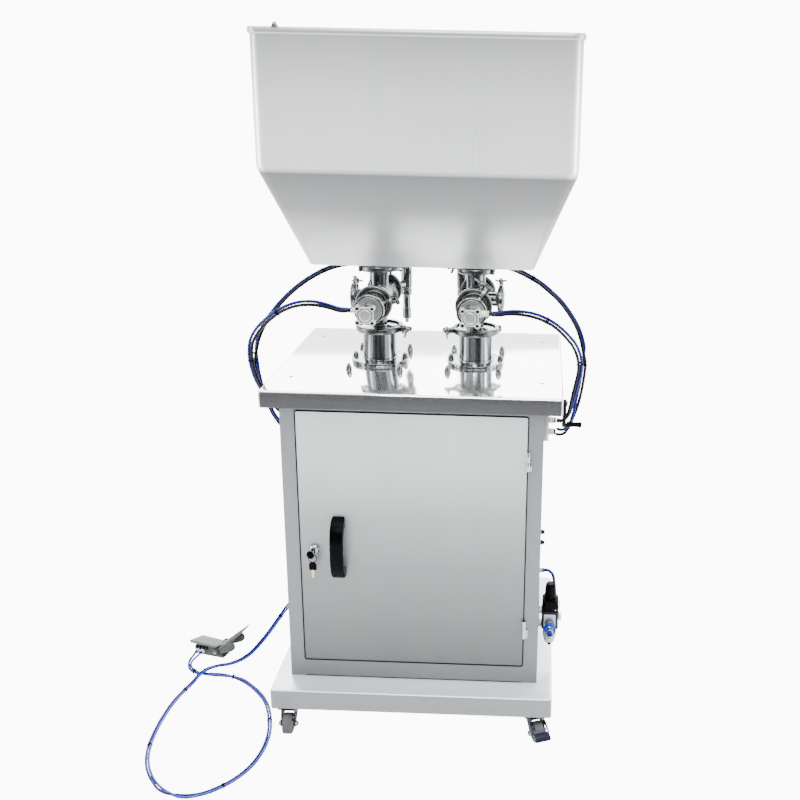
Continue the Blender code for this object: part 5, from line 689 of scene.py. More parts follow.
# %% Tubes of the valves and nozzles
VALVE_LEFT = [
    (-0.1503, 0.079, 1.023), (-0.172, 0.079, 1.023), (-0.205, 0.083, 1.031), (-0.240, 0.090, 1.034),
    (-0.279, 0.100, 1.027), (-0.317, 0.112, 1.009), (-0.350, 0.125, 0.984), (-0.377, 0.135, 0.957),
    (-0.396, 0.142, 0.926), (-0.403, 0.149, 0.890), (-0.401, 0.156, 0.852), (-0.393, 0.164, 0.817),
    (-0.380, 0.175, 0.782), (-0.364, 0.187, 0.750), (-0.346, 0.195, 0.731), (-0.331, 0.195, 0.731),
]
NOZZLE_LEFT = [
    (-0.0955, 0.400, 1.070), (-0.120, 0.400, 1.070), (-0.165, 0.394, 1.074), (-0.210, 0.374, 1.073),
    (-0.250, 0.340, 1.066), (-0.282, 0.303, 1.053), (-0.309, 0.270, 1.036), (-0.334, 0.242, 1.014),
    (-0.358, 0.218, 0.986), (-0.380, 0.200, 0.953), (-0.396, 0.190, 0.912), (-0.402, 0.189, 0.868),
    (-0.399, 0.193, 0.822), (-0.391, 0.199, 0.780), (-0.379, 0.203, 0.744), (-0.364, 0.201, 0.715),
    (-0.347, 0.195, 0.701), (-0.331, 0.195, 0.701),
]
VALVE_RIGHT = [
    (0.1683, 0.079, 1.023), (0.190, 0.079, 1.023), (0.215, 0.085, 1.025), (0.243, 0.092, 1.023),
    (0.272, 0.100, 1.016), (0.300, 0.110, 1.003), (0.325, 0.120, 0.985), (0.348, 0.131, 0.961),
    (0.367, 0.142, 0.935), (0.379, 0.154, 0.903), (0.382, 0.167, 0.870), (0.378, 0.181, 0.837),
    (0.372, 0.192, 0.803), (0.366, 0.198, 0.771), (0.359, 0.198, 0.745), (0.346, 0.195, 0.731),
    (0.331, 0.195, 0.731),
]
NOZZLE_RIGHT = [
    (0.1135, 0.400, 1.070), (0.138, 0.400, 1.070), (0.177, 0.388, 1.076), (0.212, 0.345, 1.076),
    (0.246, 0.303, 1.070), (0.281, 0.270, 1.057), (0.306, 0.247, 1.042), (0.332, 0.228, 1.022),
    (0.356, 0.212, 0.994), (0.376, 0.198, 0.962), (0.389, 0.189, 0.921), (0.392, 0.190, 0.876),
    (0.389, 0.199, 0.832), (0.383, 0.209, 0.788), (0.375, 0.212, 0.748), (0.363, 0.205, 0.716),
    (0.347, 0.195, 0.701), (0.331, 0.195, 0.701),
]


def bow(degrees):
    """An angle that grows to the given degrees in the middle of the route and goes back."""
    return lambda share: degrees * np.sin(math.pi * share) ** 0.7


def gap(middle, close=7.7):
    """Spread of a pair: wider between its ties than at them."""
    return lambda share: close + (middle - close) * np.sin(3 * math.pi * share) ** 2


TUBE = 3.7
tube_pair("valve_tubes_left", "tube_valve_left", VALVE_LEFT, TUBE, (tube_blue, tube_black),
          (0, 1, 0), bow(-75), gap(9.0), (0.335, 0.66))
tube_pair("nozzle_tubes_left", "tube_nozzle_left", NOZZLE_LEFT, TUBE, (tube_blue, tube_black),
          (0, 0, 1), bow(80), gap(7.9), (0.28, 0.70))
tube_pair("valve_tubes_right", "tube_valve_right", VALVE_RIGHT, TUBE, (tube_blue, tube_black),
          (0, 1, 0), bow(75), gap(8.8), (0.30, 0.62))
tube_pair("nozzle_tubes_right", "tube_nozzle_right", NOZZLE_RIGHT, TUBE, (tube_blue, tube_black),
          (0, 0, 1), bow(-80), gap(8.2), (0.30, 0.70))

# %% Tubes of the pedal and the regulator
PEDAL = [
    (-0.6217, 0.2392, 0.0135), (-0.6265, 0.2198, 0.0135), (-0.629, 0.199, 0.0075),
    (-0.618, 0.177, 0.0045), (-0.585, 0.161, 0.0045), (-0.545, 0.159, 0.0045), (-0.505, 0.154, 0.0045),
    (-0.465, 0.136, 0.0045), (-0.430, 0.105, 0.0045), (-0.397, 0.070, 0.0045), (-0.370, 0.022, 0.0045),
    (-0.352, -0.030, 0.0045), (-0.341, -0.085, 0.0045), (-0.342, -0.145, 0.0045),
    (-0.358, -0.205, 0.0045), (-0.390, -0.252, 0.0045), (-0.432, -0.285, 0.0045),
    (-0.475, -0.296, 0.0045), (-0.517, -0.284, 0.0045), (-0.552, -0.254, 0.0045),
    (-0.586, -0.205, 0.0045), (-0.607, -0.145, 0.0045), (-0.616, -0.077, 0.0045),
    (-0.617, -0.010, 0.0045), (-0.612, 0.050, 0.0045), (-0.601, 0.095, 0.0048), (-0.588, 0.132, 0.0085),
    (-0.578, 0.160, 0.0138), (-0.560, 0.189, 0.0085), (-0.531, 0.207, 0.0048), (-0.500, 0.224, 0.0075),
    (-0.468, 0.247, 0.026), (-0.437, 0.268, 0.060), (-0.410, 0.282, 0.097), (-0.384, 0.290, 0.134),
    (-0.357, 0.292, 0.164), (-0.330, 0.292, 0.176), (-0.3123, 0.292, 0.176),
]
REGULATOR = [
    (0.3123, 0.200, 0.319), (0.323, 0.200, 0.319), (0.335, 0.194, 0.309), (0.339, 0.182, 0.288),
    (0.337, 0.168, 0.266), (0.332, 0.155, 0.249), (0.329, 0.144, 0.243), (0.329, 0.1333, 0.243),
]
PEDAL_TUBE = 2.9
PEDAL_TIES = (0.05, 0.115, 0.255, 0.41, 0.60, 0.735, 0.93)
tube_pair("pedal_tubes", "tube_pedal", PEDAL, PEDAL_TUBE, (tube_blue_painted_highlight, tube_blue), (0.97, -0.24, 0),
          lambda share: 0 * share, lambda share: 6.1 + 0 * share, PEDAL_TIES, 1.1)
regulator_line = smooth(np.asarray(REGULATOR) / MM, 5.0)
regulator_tube, regulator_line = tube("regulator_tube", regulator_line, 4.0, tube_blue,
                                      "tube_regulator", count=20)

# %% [markdown]
# ## Sheet metal
#
# The hopper is one sheet rolled and folded: straight above, tapered below, with a rolled rim. Its
# section is a rounded rectangle at every height, so height is one parameter and the way round is
# the other. The inner wall follows 2 mm inside, and the two close at the rim and the bottom.

# %% The hopper
HOPPER_Y = 250.0
HOPPER_FOOT, HOPPER_KNEE, HOPPER_RIM = 1100.0, 1333.0, 1625.5
SHEET = 2.0
LEFT, RIGHT = -109.0, 127.0


def hopper_ring(height, proud):
    """The hopper's section at a height, proud of its sheet. It tapers below the knee."""
    down = np.clip((HOPPER_KNEE - height) / (HOPPER_KNEE - HOPPER_FOOT), 0, 1)
    half_x, half_y = 362.0 - 96.0 * down + proud, 136.5 - 90.0 * down + proud
    flat = rounded_rectangle(half_x, half_y, max(26.0 - 12.0 * down + proud, 1.0), 10)
    return np.column_stack([flat[:, 0], flat[:, 1] + HOPPER_Y, np.full(len(flat), height)])


bend = [(HOPPER_KNEE + 14 * t, -1.6 * (1 - abs(t)) ** 2) for t in np.linspace(-1, 1, 9)]
roll = np.linspace(-0.5 * math.pi, 0.5 * math.pi, 9)
rows = [(HOPPER_FOOT, -3.0), (1100.6, -1.2), (1102.0, 0.0)] + bend
rows += [(1617.0, 0.0), (1618.0, 0.6), (1618.5, 2.5)]
rows += [(HOPPER_RIM + 7.0 * math.sin(a), 2.5 + 2.5 * math.cos(a)) for a in roll]
rows += [(1632.8, 0.0), (1632.2, -SHEET), (1615.0, -SHEET)]
rows += [(height, proud - SHEET) for height, proud in bend[::-1]]
rows += [(1103.0, -SHEET), (1102.0, -6.0)]
shell = grid(np.stack([hopper_ring(*row) for row in rows]), capped=True)
piece("hopper_shell", "root", sheet_hopper, shell, sharp=50, replaces="hopper")


def acorn(place, radius, height, axis="Z", washer=1.4, dome=True):
    """A cap nut. Its radius is the smaller of a hexagon's, a / cos(v), and a chamfer cone's.

    Above the flats the dome follows a quarter ellipse."""
    a, b, c = axes(axis)
    angle = np.linspace(0, 2 * math.pi, 48, endpoint=False)
    sector = (angle + math.pi / 6) % (math.pi / 3) - math.pi / 6
    hexagon = radius * math.cos(math.pi / 6) / np.cos(sector)
    flats = height * (0.52 if dome else 1.0)
    rows = [(0.0, 0.0), (0.0, radius * 0.9), (0.5, radius), (flats - 0.9, radius * 1.01),
            (flats, radius * 0.88)]
    if dome:
        t = np.linspace(0, math.pi / 2, 7)
        rows += [(flats + (height - flats) * math.sin(x), radius * 0.78 * math.cos(x)) for x in t]
    else:
        rows += [(flats, 0.0)]
    rows = np.array(rows)
    reach = np.minimum(hexagon[None], rows[:, 1:])
    ring = np.cos(angle)[:, None] * a + np.sin(angle)[:, None] * b
    rise = (rows[:, :1] + washer)[..., None] * c
    shapes = [grid(np.asarray(place, float) + reach[..., None] * ring[None] + rise)]
    if washer:
        disc = [(0, 0), (radius * 1.25, 0), (radius * 1.25, washer), (0, washer)]
        shapes.append(turned(disc, place, axis, 40, 0.4))
    return shapes


def outlet_pipe(x):
    """Neck welded under the hopper with its ferrule, and the bead of the weld."""
    place = (x, HOPPER_Y, 0)
    neck = [(15, 1102), (15, 1091.2), (40, 1091.2), (40, 1094), (22.5, 1095.5), (22.5, 1101), (15, 1102)]
    weld = [(22.2, 1097.6), (24.6, 1099.2), (25.4, 1100.2), (22.2, 1100.4)]
    return turned(neck, place, ease=0.5), turned(weld, place, closed=True)


piece("hopper_outlets", "root", steel_polished, *outlet_pipe(LEFT), *outlet_pipe(RIGHT))
piece("lid_stud_nut", "root", steel_bright, *acorn((-300, 111.5, 1632.0), 6.5, 9.6, washer=1.2))

# %% [markdown]
# The table is a tray of 3 mm sheet, upside down: the top turns over a 5 mm fold into a 40 mm
# skirt. It is one loft of rounded rectangles: out over the top, down the skirt and back inside.
# The base below the cabinet is the same tray with other numbers.

# %% The table top and the base
TABLE_TOP, TABLE_FOOT = 857.0, 817.3


def tray(x, low, high, top, foot, thick, fold):
    """Rings of a folded tray, from its flat top over the edge and the skirt to the inside."""
    lip, corner = 0.6, 7.0
    half_y, middle = (high - low) / 2, (high + low) / 2
    turns = np.linspace(0, math.pi / 2, 6)
    rows = [(fold * (1 - math.sin(a)), top - fold * (1 - math.cos(a))) for a in turns]
    rows += [(0.0, foot + lip), (lip, foot), (thick - lip, foot), (thick, foot + lip)]
    rows += [(thick, top - thick - 1.0), (thick + 1.0, top - thick)]
    rings = []
    for inset, z in rows:
        flat = rounded_rectangle(x - inset, half_y - inset, max(corner - inset, lip), 6)
        rings.append(np.column_stack([flat[:, 0], flat[:, 1] + middle, np.full(len(flat), z)]))
    return grid(np.stack(rings), capped=True)


def frame_bars(x, low_y, high_y, low_z, high_z, width):
    """Four bars of square tube that make a rectangle."""
    inner = x - width
    spans = [(-x, x, low_y, low_y + width), (-x, x, high_y - width, high_y),
             (-x, -inner, low_y + width, high_y - width), (inner, x, low_y + width, high_y - width)]
    return [block((x0, y0, low_z), (x1, y1, high_z)) for x0, x1, y0, y1 in spans]


table = tray(341.0, -22.0, 548.0, TABLE_TOP, TABLE_FOOT, 3.0, 5.0)
base = tray(337.0, BASE_FRONT, 530.0, 120.0, 70.0, 3.0, 4.0)
piece("table_sheet", "root", sheet_table, table, replaces="table_top")
piece("table_frame", "root", sheet_level, *frame_bars(298, 2, 524, TABLE_FOOT, 853.8, 20))
piece("base_tray", "root", sheet_level, base, replaces="base_plinth")


def cross_screw(place, radius, axis="Z"):
    """A countersunk screw: a low crown with a cross sunk into it by a smooth mask.

    The depth is 1.4 mm where the point is within 0.17 of the radius of either arm."""
    a, b, c = axes(axis)
    r = np.linspace(0, 1, 14)[:, None]
    angle = np.linspace(0, 2 * math.pi, 48, endpoint=False)[None]
    x, y = r * np.cos(angle), r * np.sin(angle)
    arm = np.minimum(np.abs(x), np.abs(y))
    cross = 1 / (1 + np.exp((arm - 0.16) * 40)) / (1 + np.exp((r - 0.62) * 30))
    z = 0.7 * (1 - r ** 2) - 1.4 * cross
    flat = radius * (x[..., None] * a + y[..., None] * b)
    return grid(np.asarray(place, float) + flat + z[..., None] * c)


screw_places = [(x, y) for x in (-292.0, 292.0) for y in (90.0, 453.0)]
seat = [(0, -0.05), (5.6, -0.05), (5.6, 0.12), (4.7, 0.2), (4.4, 0.0), (0, 0.0)]
piece("table_screws", "root", steel_bright,
      *(cross_screw((x, y, TABLE_TOP + 0.1), 4.6) for x, y in screw_places))
piece("table_screw_seats", "root", paint_black,
      *(turned(seat, (x, y, TABLE_TOP), ease=0.05) for x, y in screw_places))

# %% [markdown]
# ## Heads
#
# A head is a stack of sanitary parts. Filling cylinder, valve and hopper outlet end in ferrules,
# two of which are squeezed together by a hinged clamp. The cylinder's tube stands on a flange,
# held down by cap nuts on studs that come up through the table.

# %% Filling cylinders
SIDES = {"left": (LEFT, -1, "-X"), "right": (RIGHT, 1, "X")}
FLANGE_TOP = 865.3
CYLINDER = [(37, 941), (51.2, 941), (52, 940.4), (52, 938), (41.6, 934.2), (41, 933.2), (41, 867),
            (42.6, 865.6), (69.2, 865.3), (70, 864.5), (70, 858.1), (69.2, 857.3), (37, 857.3), (37, 941)]
FLANGE_WELD = [(40.5, 869.2), (42.8, 867.8), (43.6, 865.3), (40.5, 865.3)]
for side, (x, out, aside) in SIDES.items():
    cylinder = turned(CYLINDER, (x, HOPPER_Y, 0), steps=96, ease=0.5)
    weld = turned(FLANGE_WELD, (x, HOPPER_Y, 0), steps=72, ease=0.5, closed=True)
    piece("fill_cylinder_steel_" + side, "root", steel_tube, cylinder, weld,
          replaces="fill_cylinder_" + side)
    nuts = []
    for dx in (-61, 61):
        nuts += acorn((x + dx, HOPPER_Y, FLANGE_TOP), 6.8, 11.5, washer=1.0)
        for dy in (-93, 93):
            nuts += acorn((x + dx, HOPPER_Y + dy, TABLE_TOP + 0.1), 6.9, 16.4, washer=1.2)
    piece("cap_nuts_" + side, "root", steel_bright, *nuts)

# %% [markdown]
# A clamp is two half rings with a V groove, a hinge on one side, and on the other two ears with
# an eye bolt and a wing nut. The half rings are turned through less than half a circle.

# %% Pipe clamps
WING = [(3.4, 0.8), (9.5, 2.2), (14.2, 5.6), (16.8, 10.2), (15.4, 15.4), (11.0, 15.8), (7.4, 11.4),
        (4.2, 8.4)]


def mirrored(half):
    """A profile that is the same on both sides of height zero, from its upper half."""
    return [(r, -h) for r, h in half] + [(r, h) for r, h in half[::-1]]


def part_turned(profile, place, frame, start, end):
    """The lathe's formula between two angles only, closed by flat ends."""
    outline = eased(profile, 1.2, True, 2)
    angle = np.radians(np.linspace(start, end, 40))
    a, b, c = frame
    ring = np.cos(angle)[:, None] * a + np.sin(angle)[:, None] * b
    points = np.asarray(place, float) + ring[:, None] * outline[None, :, :1] + c * outline[None, :, 1:]
    return grid(points, capped=True)


def wing_nut(place, frame, scale=1.0):
    """Hub and two wings. Their outline is drawn once and mirrored; the third axis is the bolt."""
    _, b, c = frame
    hub = [(3.0, 0), (6.3, 0), (6.6, 1.4), (5.6, 7.4), (4.6, 9.2), (3.0, 9.2), (3.0, 0)]
    shapes = [turned(hub, place, frame, 40, 0.8)]
    for sign in (-1, 1):
        outline = eased(np.array(WING) * scale * (sign, 1), 4.0, True, 5)
        shapes.append(plate(outline, -1.7, 1.7, np.array([b, c, np.cross(b, c)]), place, 1.5, 4))
    return shapes


def threads(radius, low, high, place, frame, pitch=1.25, depth=0.45):
    """A screw: radius minus depth times a rounded sawtooth of height plus turn."""
    z = np.linspace(low, high, int((high - low) / pitch * 6))[:, None]
    angle = np.linspace(0, 2 * math.pi, 24, endpoint=False)[None]
    wave = 0.5 + 0.5 * np.cos(2 * math.pi * (z / pitch) - angle)
    ends = np.clip(np.minimum(z - low, high - z) / 0.8, 0.35, 1)
    r = (radius - depth * wave) * (0.7 + 0.3 * ends)
    a, b, c = frame
    round_ = (r * np.cos(angle))[..., None] * a + (r * np.sin(angle))[..., None] * b
    return grid(np.asarray(place, float) + round_ + (z + 0 * angle)[..., None] * c, capped=True)


def clamp(ferrule, place, frame, spread, hand, height=15.0):
    """Half rings, ears, hinge and eye bolt; spread turns the ears, hand is the nut's side."""
    a, b, c = axes(frame)
    place = np.asarray(place, float)
    turn = math.atan2(spread[1], spread[0])
    along = a * math.cos(turn) + b * math.sin(turn)
    across = b * math.cos(turn) - a * math.sin(turn)
    local = (along, across, c)
    half, outer = height / 2, ferrule + 6.0
    profile = mirrored([(outer, half - 2.6), (outer - 2.4, half), (ferrule - 4.0, half),
                        (ferrule - 4.8, half - 1.4), (ferrule + 0.4, 3.7)])
    slack = math.degrees(4.0 / ferrule)
    shapes = [part_turned(profile, place, local, slack, 178.5),
              part_turned(profile, place, local, -178.5, -slack)]
    ear = 0.45 * ferrule
    reach, bolt, nose = outer + ear, outer + 0.7 * ear, half * 0.72
    outline = mirrored([(ferrule + 1.5, half * 0.85), (ferrule + 9, nose), (reach, nose)])
    outline = eased(outline, nose * 0.95, True, 6)
    for low in (-10.0, 4.0):
        shapes.append(plate(outline, low, low + 6.0, np.array([along, c, across]), place, 1.2))
    knuckle = place - along * (outer + 1.5)
    for low, high in ((-half, -half * 0.38), (-half * 0.34, half * 0.34), (half * 0.38, half)):
        shapes.append(turned([(0, low), (4.6, low), (4.6, high), (0, high)], knuckle, local, 28, 0.6))
    shapes.append(turned(mirrored([(0, half + 1.2), (2.2, half + 1.2)]), knuckle, local, 20, 0.5))
    centre = place + along * bolt
    nut_frame = np.array([along, np.cross(hand * across, along), hand * across])
    head = [(0, -14.4), (4.4, -14.4), (5.2, -13.4), (5.2, -10.4), (0, -10.4)]
    eye_bolt = [threads(3.0, -10.0, 35.5, centre, nut_frame), turned(head, centre, nut_frame, 24, 0.8)]
    return shapes, eye_bolt, centre + hand * across * 10.3, nut_frame


VALVE_Z = 1018.0
LOWER_JOINT, UPPER_JOINT = 941.15, 1091.0
UPRIGHT = np.eye(3)
FORWARD = np.array([(1, 0, 0), (0, 0, -1), (0, 1, 0)])
FRONT_EARS = {"left": (1, -0.25), "right": (0.55, -0.83)}
for side, (x, out, aside) in SIDES.items():
    joints = {
        "cylinder": (52.0, (x, HOPPER_Y, LOWER_JOINT), UPRIGHT, (-out, -0.25), out),
        "front": (38.0, (x, 170.0, VALVE_Z), FORWARD, FRONT_EARS[side], -1),
        "outlet": (40.0, (x, HOPPER_Y, UPPER_JOINT), UPRIGHT, (-out, 0.6), out),
    }
    for word, joint in joints.items():
        rings, bolt, rest, nut_frame = clamp(*joint)
        piece(f"{word}_clamp_rings_{side}", "root", steel_cast, *rings, replaces=f"{word}_clamp_{side}")
        piece(f"{word}_clamp_bolt_{side}", "root", steel_bright, *bolt)
        if word == "cylinder":
            piece("cylinder_wings_" + side, "wing_nut_" + side, steel_cast, *wing_nut(rest, nut_frame),
                  replaces="cylinder_wing_nut_" + side)
        else:
            piece(f"{word}_wings_{side}", "root", steel_cast, *wing_nut(rest, nut_frame, 0.92))

# %% [markdown]
# The valve body is pipe welded crosswise on a barrel. Where pipes meet, the weld has been
# ground to a thin bead. The side port is shut by a blind cap in a smaller clamp.

# %% Valve bodies
BARREL_RADIUS, UPPER_RADIUS, LOWER_RADIUS, PORT_RADIUS = 31.0, 22.5, 18.5, 17.0
BARREL = mirrored([(20, 79.8), (37.2, 79.8), (38, 79), (38, 77), (31.5, 73), (31, 72)]) + [(20, -79.8)]
UPPER_PIPE = [(15, 1090.8), (39.2, 1090.8), (40, 1090), (40, 1088), (23.1, 1083.8), (22.5, 1083),
              (22.5, 1030)]
LOWER_PIPE = [(18.5, 1000), (18.5, 950), (19.3, 948.6), (52, 944.2), (52, 942), (51.2, 941.3), (15, 941.3)]
PORT = [(17, 22), (17, 48), (19, 51.0), (29, 53.0), (29, 56.0), (15, 56.0)]
CAP = [(28, 60), (28.6, 64.0), (25.5, 67.4), (17.0, 69.2), (0, 69.6)]
UPPER_GASKET = [(38.9, -1.1), (39.4, 0), (38.9, 1.1), (30, 1.1), (30, -1.1)]
LOWER_GASKET = [(50.8, -0.9), (51.6, 0), (50.8, 0.9), (44, 0.9), (44, -0.9)]


def bead(radius, place, frame, thick=1.5):
    """The weld of a pipe on the barrel: a ring swept along the curve on which the pipe's points
    x = r cos v, y = r sin v reach the barrel's height sqrt(R2 - x2)."""
    v = np.linspace(0, 2 * math.pi, 72, endpoint=False)
    x, y = radius * np.cos(v), radius * np.sin(v)
    height = np.sqrt(BARREL_RADIUS ** 2 - x ** 2)
    a, b, c = frame
    path = np.asarray(place, float) + x[:, None] * a + y[:, None] * b + height[:, None] * c
    return swept(path, circle(thick, 10), closed=True)


for side, (x, out, aside) in SIDES.items():
    centre, stand = (x, HOPPER_Y, VALVE_Z), (x, HOPPER_Y, 0)
    ex, ey, ez = UPRIGHT
    pipes = [turned(BARREL, centre, FORWARD, 80, 0.6), turned(UPPER_PIPE, stand, steps=64),
             turned(LOWER_PIPE, stand, steps=64), turned(PORT, centre, aside, 56),
             turned(CAP, centre, aside, 56, 2.0), bead(UPPER_RADIUS, centre, (ex, ey, ez)),
             bead(LOWER_RADIUS, centre, (ex, ey, -ez)), bead(PORT_RADIUS, centre, (ez, ey, out * ex), 1.2)]
    piece("valve_pipes_" + side, "root", steel_tube, *pipes, replaces="valve_body_" + side)
    port_end = (x + out * 60.0, HOPPER_Y, VALVE_Z)
    rings, bolt, rest, nut_frame = clamp(27.5, port_end, aside, (0.5 * out, 1), 1, 13.0)
    piece("side_clamp_" + side, "root", steel_cast, *rings, *wing_nut(rest, nut_frame, 0.9))
    piece("side_clamp_bolt_" + side, "root", steel_bright, *bolt)
    gaskets = [turned(profile, (x, HOPPER_Y, z), closed=True, steps=64, ease=0.3)
               for profile, z in ((UPPER_GASKET, UPPER_JOINT), (LOWER_GASKET, LOWER_JOINT))]
    piece("gaskets_" + side, "root", seal_white, *gaskets)

# %% [markdown]
# In front of each valve stands a short air cylinder that turns the flow. It is an extruded
# square on a round drum, with a milled front: four round lugs with sunk screws and a ring groove.

# %% Air cylinders and push-in fittings
FRONT_Y = 48
DRUM = [(0, 56), (15.0, 56), (15.0, 57), (14.2, 58), (14.2, 98), (16.5, 99.4), (0, 99.8)]
LUG = [(0, 0), (6.4, 0), (6.4, 15.0), (5.8, 15.8), (3.9, 15.8), (3.5, 15.0), (3.5, 11.0), (0, 11.0)]
ADAPTER = [(0, 169.8), (37.3, 169.8), (38, 169), (38, 167), (31.6, 163), (31, 162), (31, 112), (34.2, 111),
           (34.8, 110.2), (34.8, 103.4), (31.4, 102.6), (31.4, 101.8), (0, 101.8)]
ADAPTER_FACE = [(0, 99.6), (29.6, 99.6), (30.2, 100.2), (30.2, 101.9), (0, 101.9)]
ADAPTER_RIM = [(34.9, 101), (35.6, 101.8), (35.6, 104.4), (34.8, 105), (33, 105), (33, 100.2),
               (34.2, 100.2)]
SLANT = np.array([(0.65, 0, 0.76), (-0.76, 0, 0.65), (0, -1, 0)])
FITTING_LOOKS = {"left": ((nickel, plastic_black), (nickel, plastic_black)),
                 "right": ((plastic_white, plastic_cream), (plastic_cream, plastic_cream))}


def fitting(place, frame, metal=13.0, bore=3.0):
    """Push-in fitting: threaded foot, hexagon, round body; and its collet as a second shape."""
    foot = [(0, -1), (4.6, -1), (4.6, 1.2), (6.4, 1.2), (6.4, 4.8), (5.3, 5.6), (5.3, metal - 1),
            (4.9, metal), (bore + 0.4, metal)]
    collet = [(bore + 0.15, metal - 1), (bore + 1.3, metal - 1), (bore + 1.3, metal + 1.2),
              (bore + 1.9, metal + 1.8), (bore + 1.9, metal + 3.4), (bore + 0.9, metal + 4.4),
              (bore + 0.15, metal + 4.4)]
    return turned(foot, place, frame, 40, 0.5), turned(collet, place, frame, 36, 0.4, closed=True)


for side, (x, out, aside) in SIDES.items():
    line, front = (x, 0, VALVE_Z), (x, FRONT_Y, VALVE_Z)
    front_plate = block((x - 18.5, FRONT_Y, VALVE_Z - 18.5), (x + 18.5, 57, VALVE_Z + 18.5), 1.2, 7.0, "Y")
    low, high = sorted((x + out * 8, x + out * 23))
    port_block = block((low, 65, 1016), (high, 93, 1030), 0.8, 2.0)
    boss = turned([(13.4, -0.3), (13.4, 0.7), (12.2, 1.5), (0, 1.5)], front, "-Y", 56)
    groove = turned([(15.6, -0.2), (16.5, -0.2), (16.5, 0.5), (15.6, 0.5)], front, "-Y", 56, 0, True)
    corners = [(x + dx, 60, VALVE_Z + dz) for dx in (-16.5, 16.5) for dz in (-16.5, 16.5)]
    lugs = [turned(LUG, corner, "-Y", 36, 0.4) for corner in corners]
    socket = [(0, 11.1), (3.4, 11.1), (3.4, 14.6), (0, 14.6)]
    holes = [turned(socket, corner, "-Y", 6, 0) for corner in corners]
    piece("air_cylinder_body_" + side, "root", aluminium_bright, front_plate, boss, port_block, *lugs,
          replaces="air_cylinder_" + side)
    # The ring groove and the screw sockets are black rings and hexagons: painted shade in the recesses.
    piece("air_cylinder_marks_" + side, "root", paint_black, groove, *holes)
    piece("adapter_face_" + side, "root", steel_disc, turned(ADAPTER_FACE, line, FORWARD, 80, 0.4))
    piece("adapter_" + side, "root", steel_cast, turned(ADAPTER, line, FORWARD, 80, 0.4),
          turned(DRUM, line, FORWARD, 48))
    piece("adapter_rim_" + side, "root", steel_bright, turned(ADAPTER_RIM, line, FORWARD, 80, 0.4, True))
    # A dark slanted line on the adapter's face: painted shadow along the air cylinder's edge.
    shadow_line = plate(rounded_rectangle(9.0, 0.9, 0.8, 3), -0.4, 0.5, SLANT, (x - 10.0, 99.6, 1030.5), 0.2)
    piece("adapter_mark_" + side, "root", paint_black, shadow_line)
    for k, y in enumerate((72.0, 86.0)):
        metal, lip = fitting((x + out * 23, y, VALVE_Z + 5), aside)
        looks = FITTING_LOOKS[side][k]
        piece(f"valve_fitting_{side}_{k + 1}", "root", looks[0], metal, slot="polished_steel")
        piece(f"valve_collet_{side}_{k + 1}", "root", looks[1], lip, slot="black_plastic")

# %% [markdown]
# Behind the heads a pipe leads from each valve to a shut-off nozzle. A small air cylinder on
# top lifts its needle. Only a part of the left one is seen between the heads.

# %% Nozzles
NOZZLE_Y = 400
ACTUATOR = [(0, 1084), (13, 1084), (14, 1083), (14, 1074), (13.4, 1073), (13.4, 1069), (14, 1068), (14, 1012),
            (12, 1010), (12, 1006), (13.5, 1005), (13.5, 992), (12.6, 991), (9.2, 990), (9.2, 956),
            (10.8, 955), (10.8, 930), (9.8, 928.6), (5, 928), (5, 918), (4.2, 917), (2.8, 917), (2.8, 930)]
REAR_FERRULE = [(0, 344), (14, 341), (33.5, 336.6), (38, 332.6), (38, 330.6), (37.2, 330.2), (0, 330.2)]
for side, nozzle_x in (("left", -63.0), ("right", 81.0)):
    x, out, aside = SIDES[side]
    actuator = turned(ACTUATOR, (nozzle_x, NOZZLE_Y, 0), ease=0.5)
    route = smooth([(x, 333, VALVE_Z), (x, 353, VALVE_Z), ((x + nozzle_x) / 2, 377, VALVE_Z),
                    (nozzle_x, NOZZLE_Y, VALVE_Z)], 3.0)
    rear = turned(REAR_FERRULE, (x, 0, VALVE_Z), FORWARD, 72, 0.6)
    piece("nozzle_steel_" + side, "root", steel_polished, actuator, swept(route, circle(10.0, 32)), rear,
          replaces="nozzle_" + side)
    rings, bolt, rest, nut_frame = clamp(38.0, (x, 330.0, VALVE_Z), FORWARD, (0.2, -1), -out)
    piece("rear_clamp_rings_" + side, "root", steel_cast, *rings)
    piece("rear_clamp_bolt_" + side, "root", steel_bright, *bolt, *wing_nut(rest, nut_frame, 0.92))
    for k, z in enumerate((1077.0, 1063.0)):
        metal, lip = fitting((nozzle_x + out * 14, NOZZLE_Y, z), aside)
        piece(f"nozzle_fitting_{side}_{k + 1}", "root", nickel, metal)
        piece(f"nozzle_collet_{side}_{k + 1}", "root", plastic_black, lip)

# %% [markdown]
# ## Door
#
# The door is a folded pan. A black rubber profile fills the seam round it. The bridge handle is
# moulded: its side view is one outline, pushed through the handle's width with soft edges. The
# cam lock is a chrome plated turning, and a second key hangs from the first on a wire ring.

# %% Door seal and hinges
DOOR_HALF, DOOR_LOW, DOOR_HIGH = 264.1, 166.9, 805.1
HINGE_X, HINGE_Y, HINGES = 266, -6, (700.0, 269.0)
loop = rounded_rectangle(DOOR_HALF, (DOOR_HIGH - DOOR_LOW) / 2, 5.0, 6)
loop = np.column_stack([loop[:, 0], np.full(len(loop), -1.1), loop[:, 1] + (DOOR_LOW + DOOR_HIGH) / 2])
seal = swept(loop, eased([(-1.5, -0.7), (1.5, -0.7), (1.5, 2.0), (-1.5, 2.0)], 0.6, True, 3), closed=True)
piece("door_seal", "door", rubber_seal, seal)
# A black strip along the cabinet's foot, above the base: painted shade in the gap between them.
piece("foot_gap_painted_shade", "root", rubber_seal, block((-264, -0.9, 120.4), (264, 0.6, 122.0), 0.5, 0.4))
SLEEVE = [(2.4, 0.5), (4.3, 0.5), (4.75, 1.0), (4.75, 22.0), (4.3, 22.6), (0, 22.9)]
PIN_BARREL = [(0, -22.6), (4.3, -22.6), (4.75, -22.0), (4.75, -0.6), (4.3, 0), (0, 0)]
piece("hinge_sleeves", "door", chrome, *(turned(SLEEVE, (HINGE_X, HINGE_Y, z), steps=28) for z in HINGES))
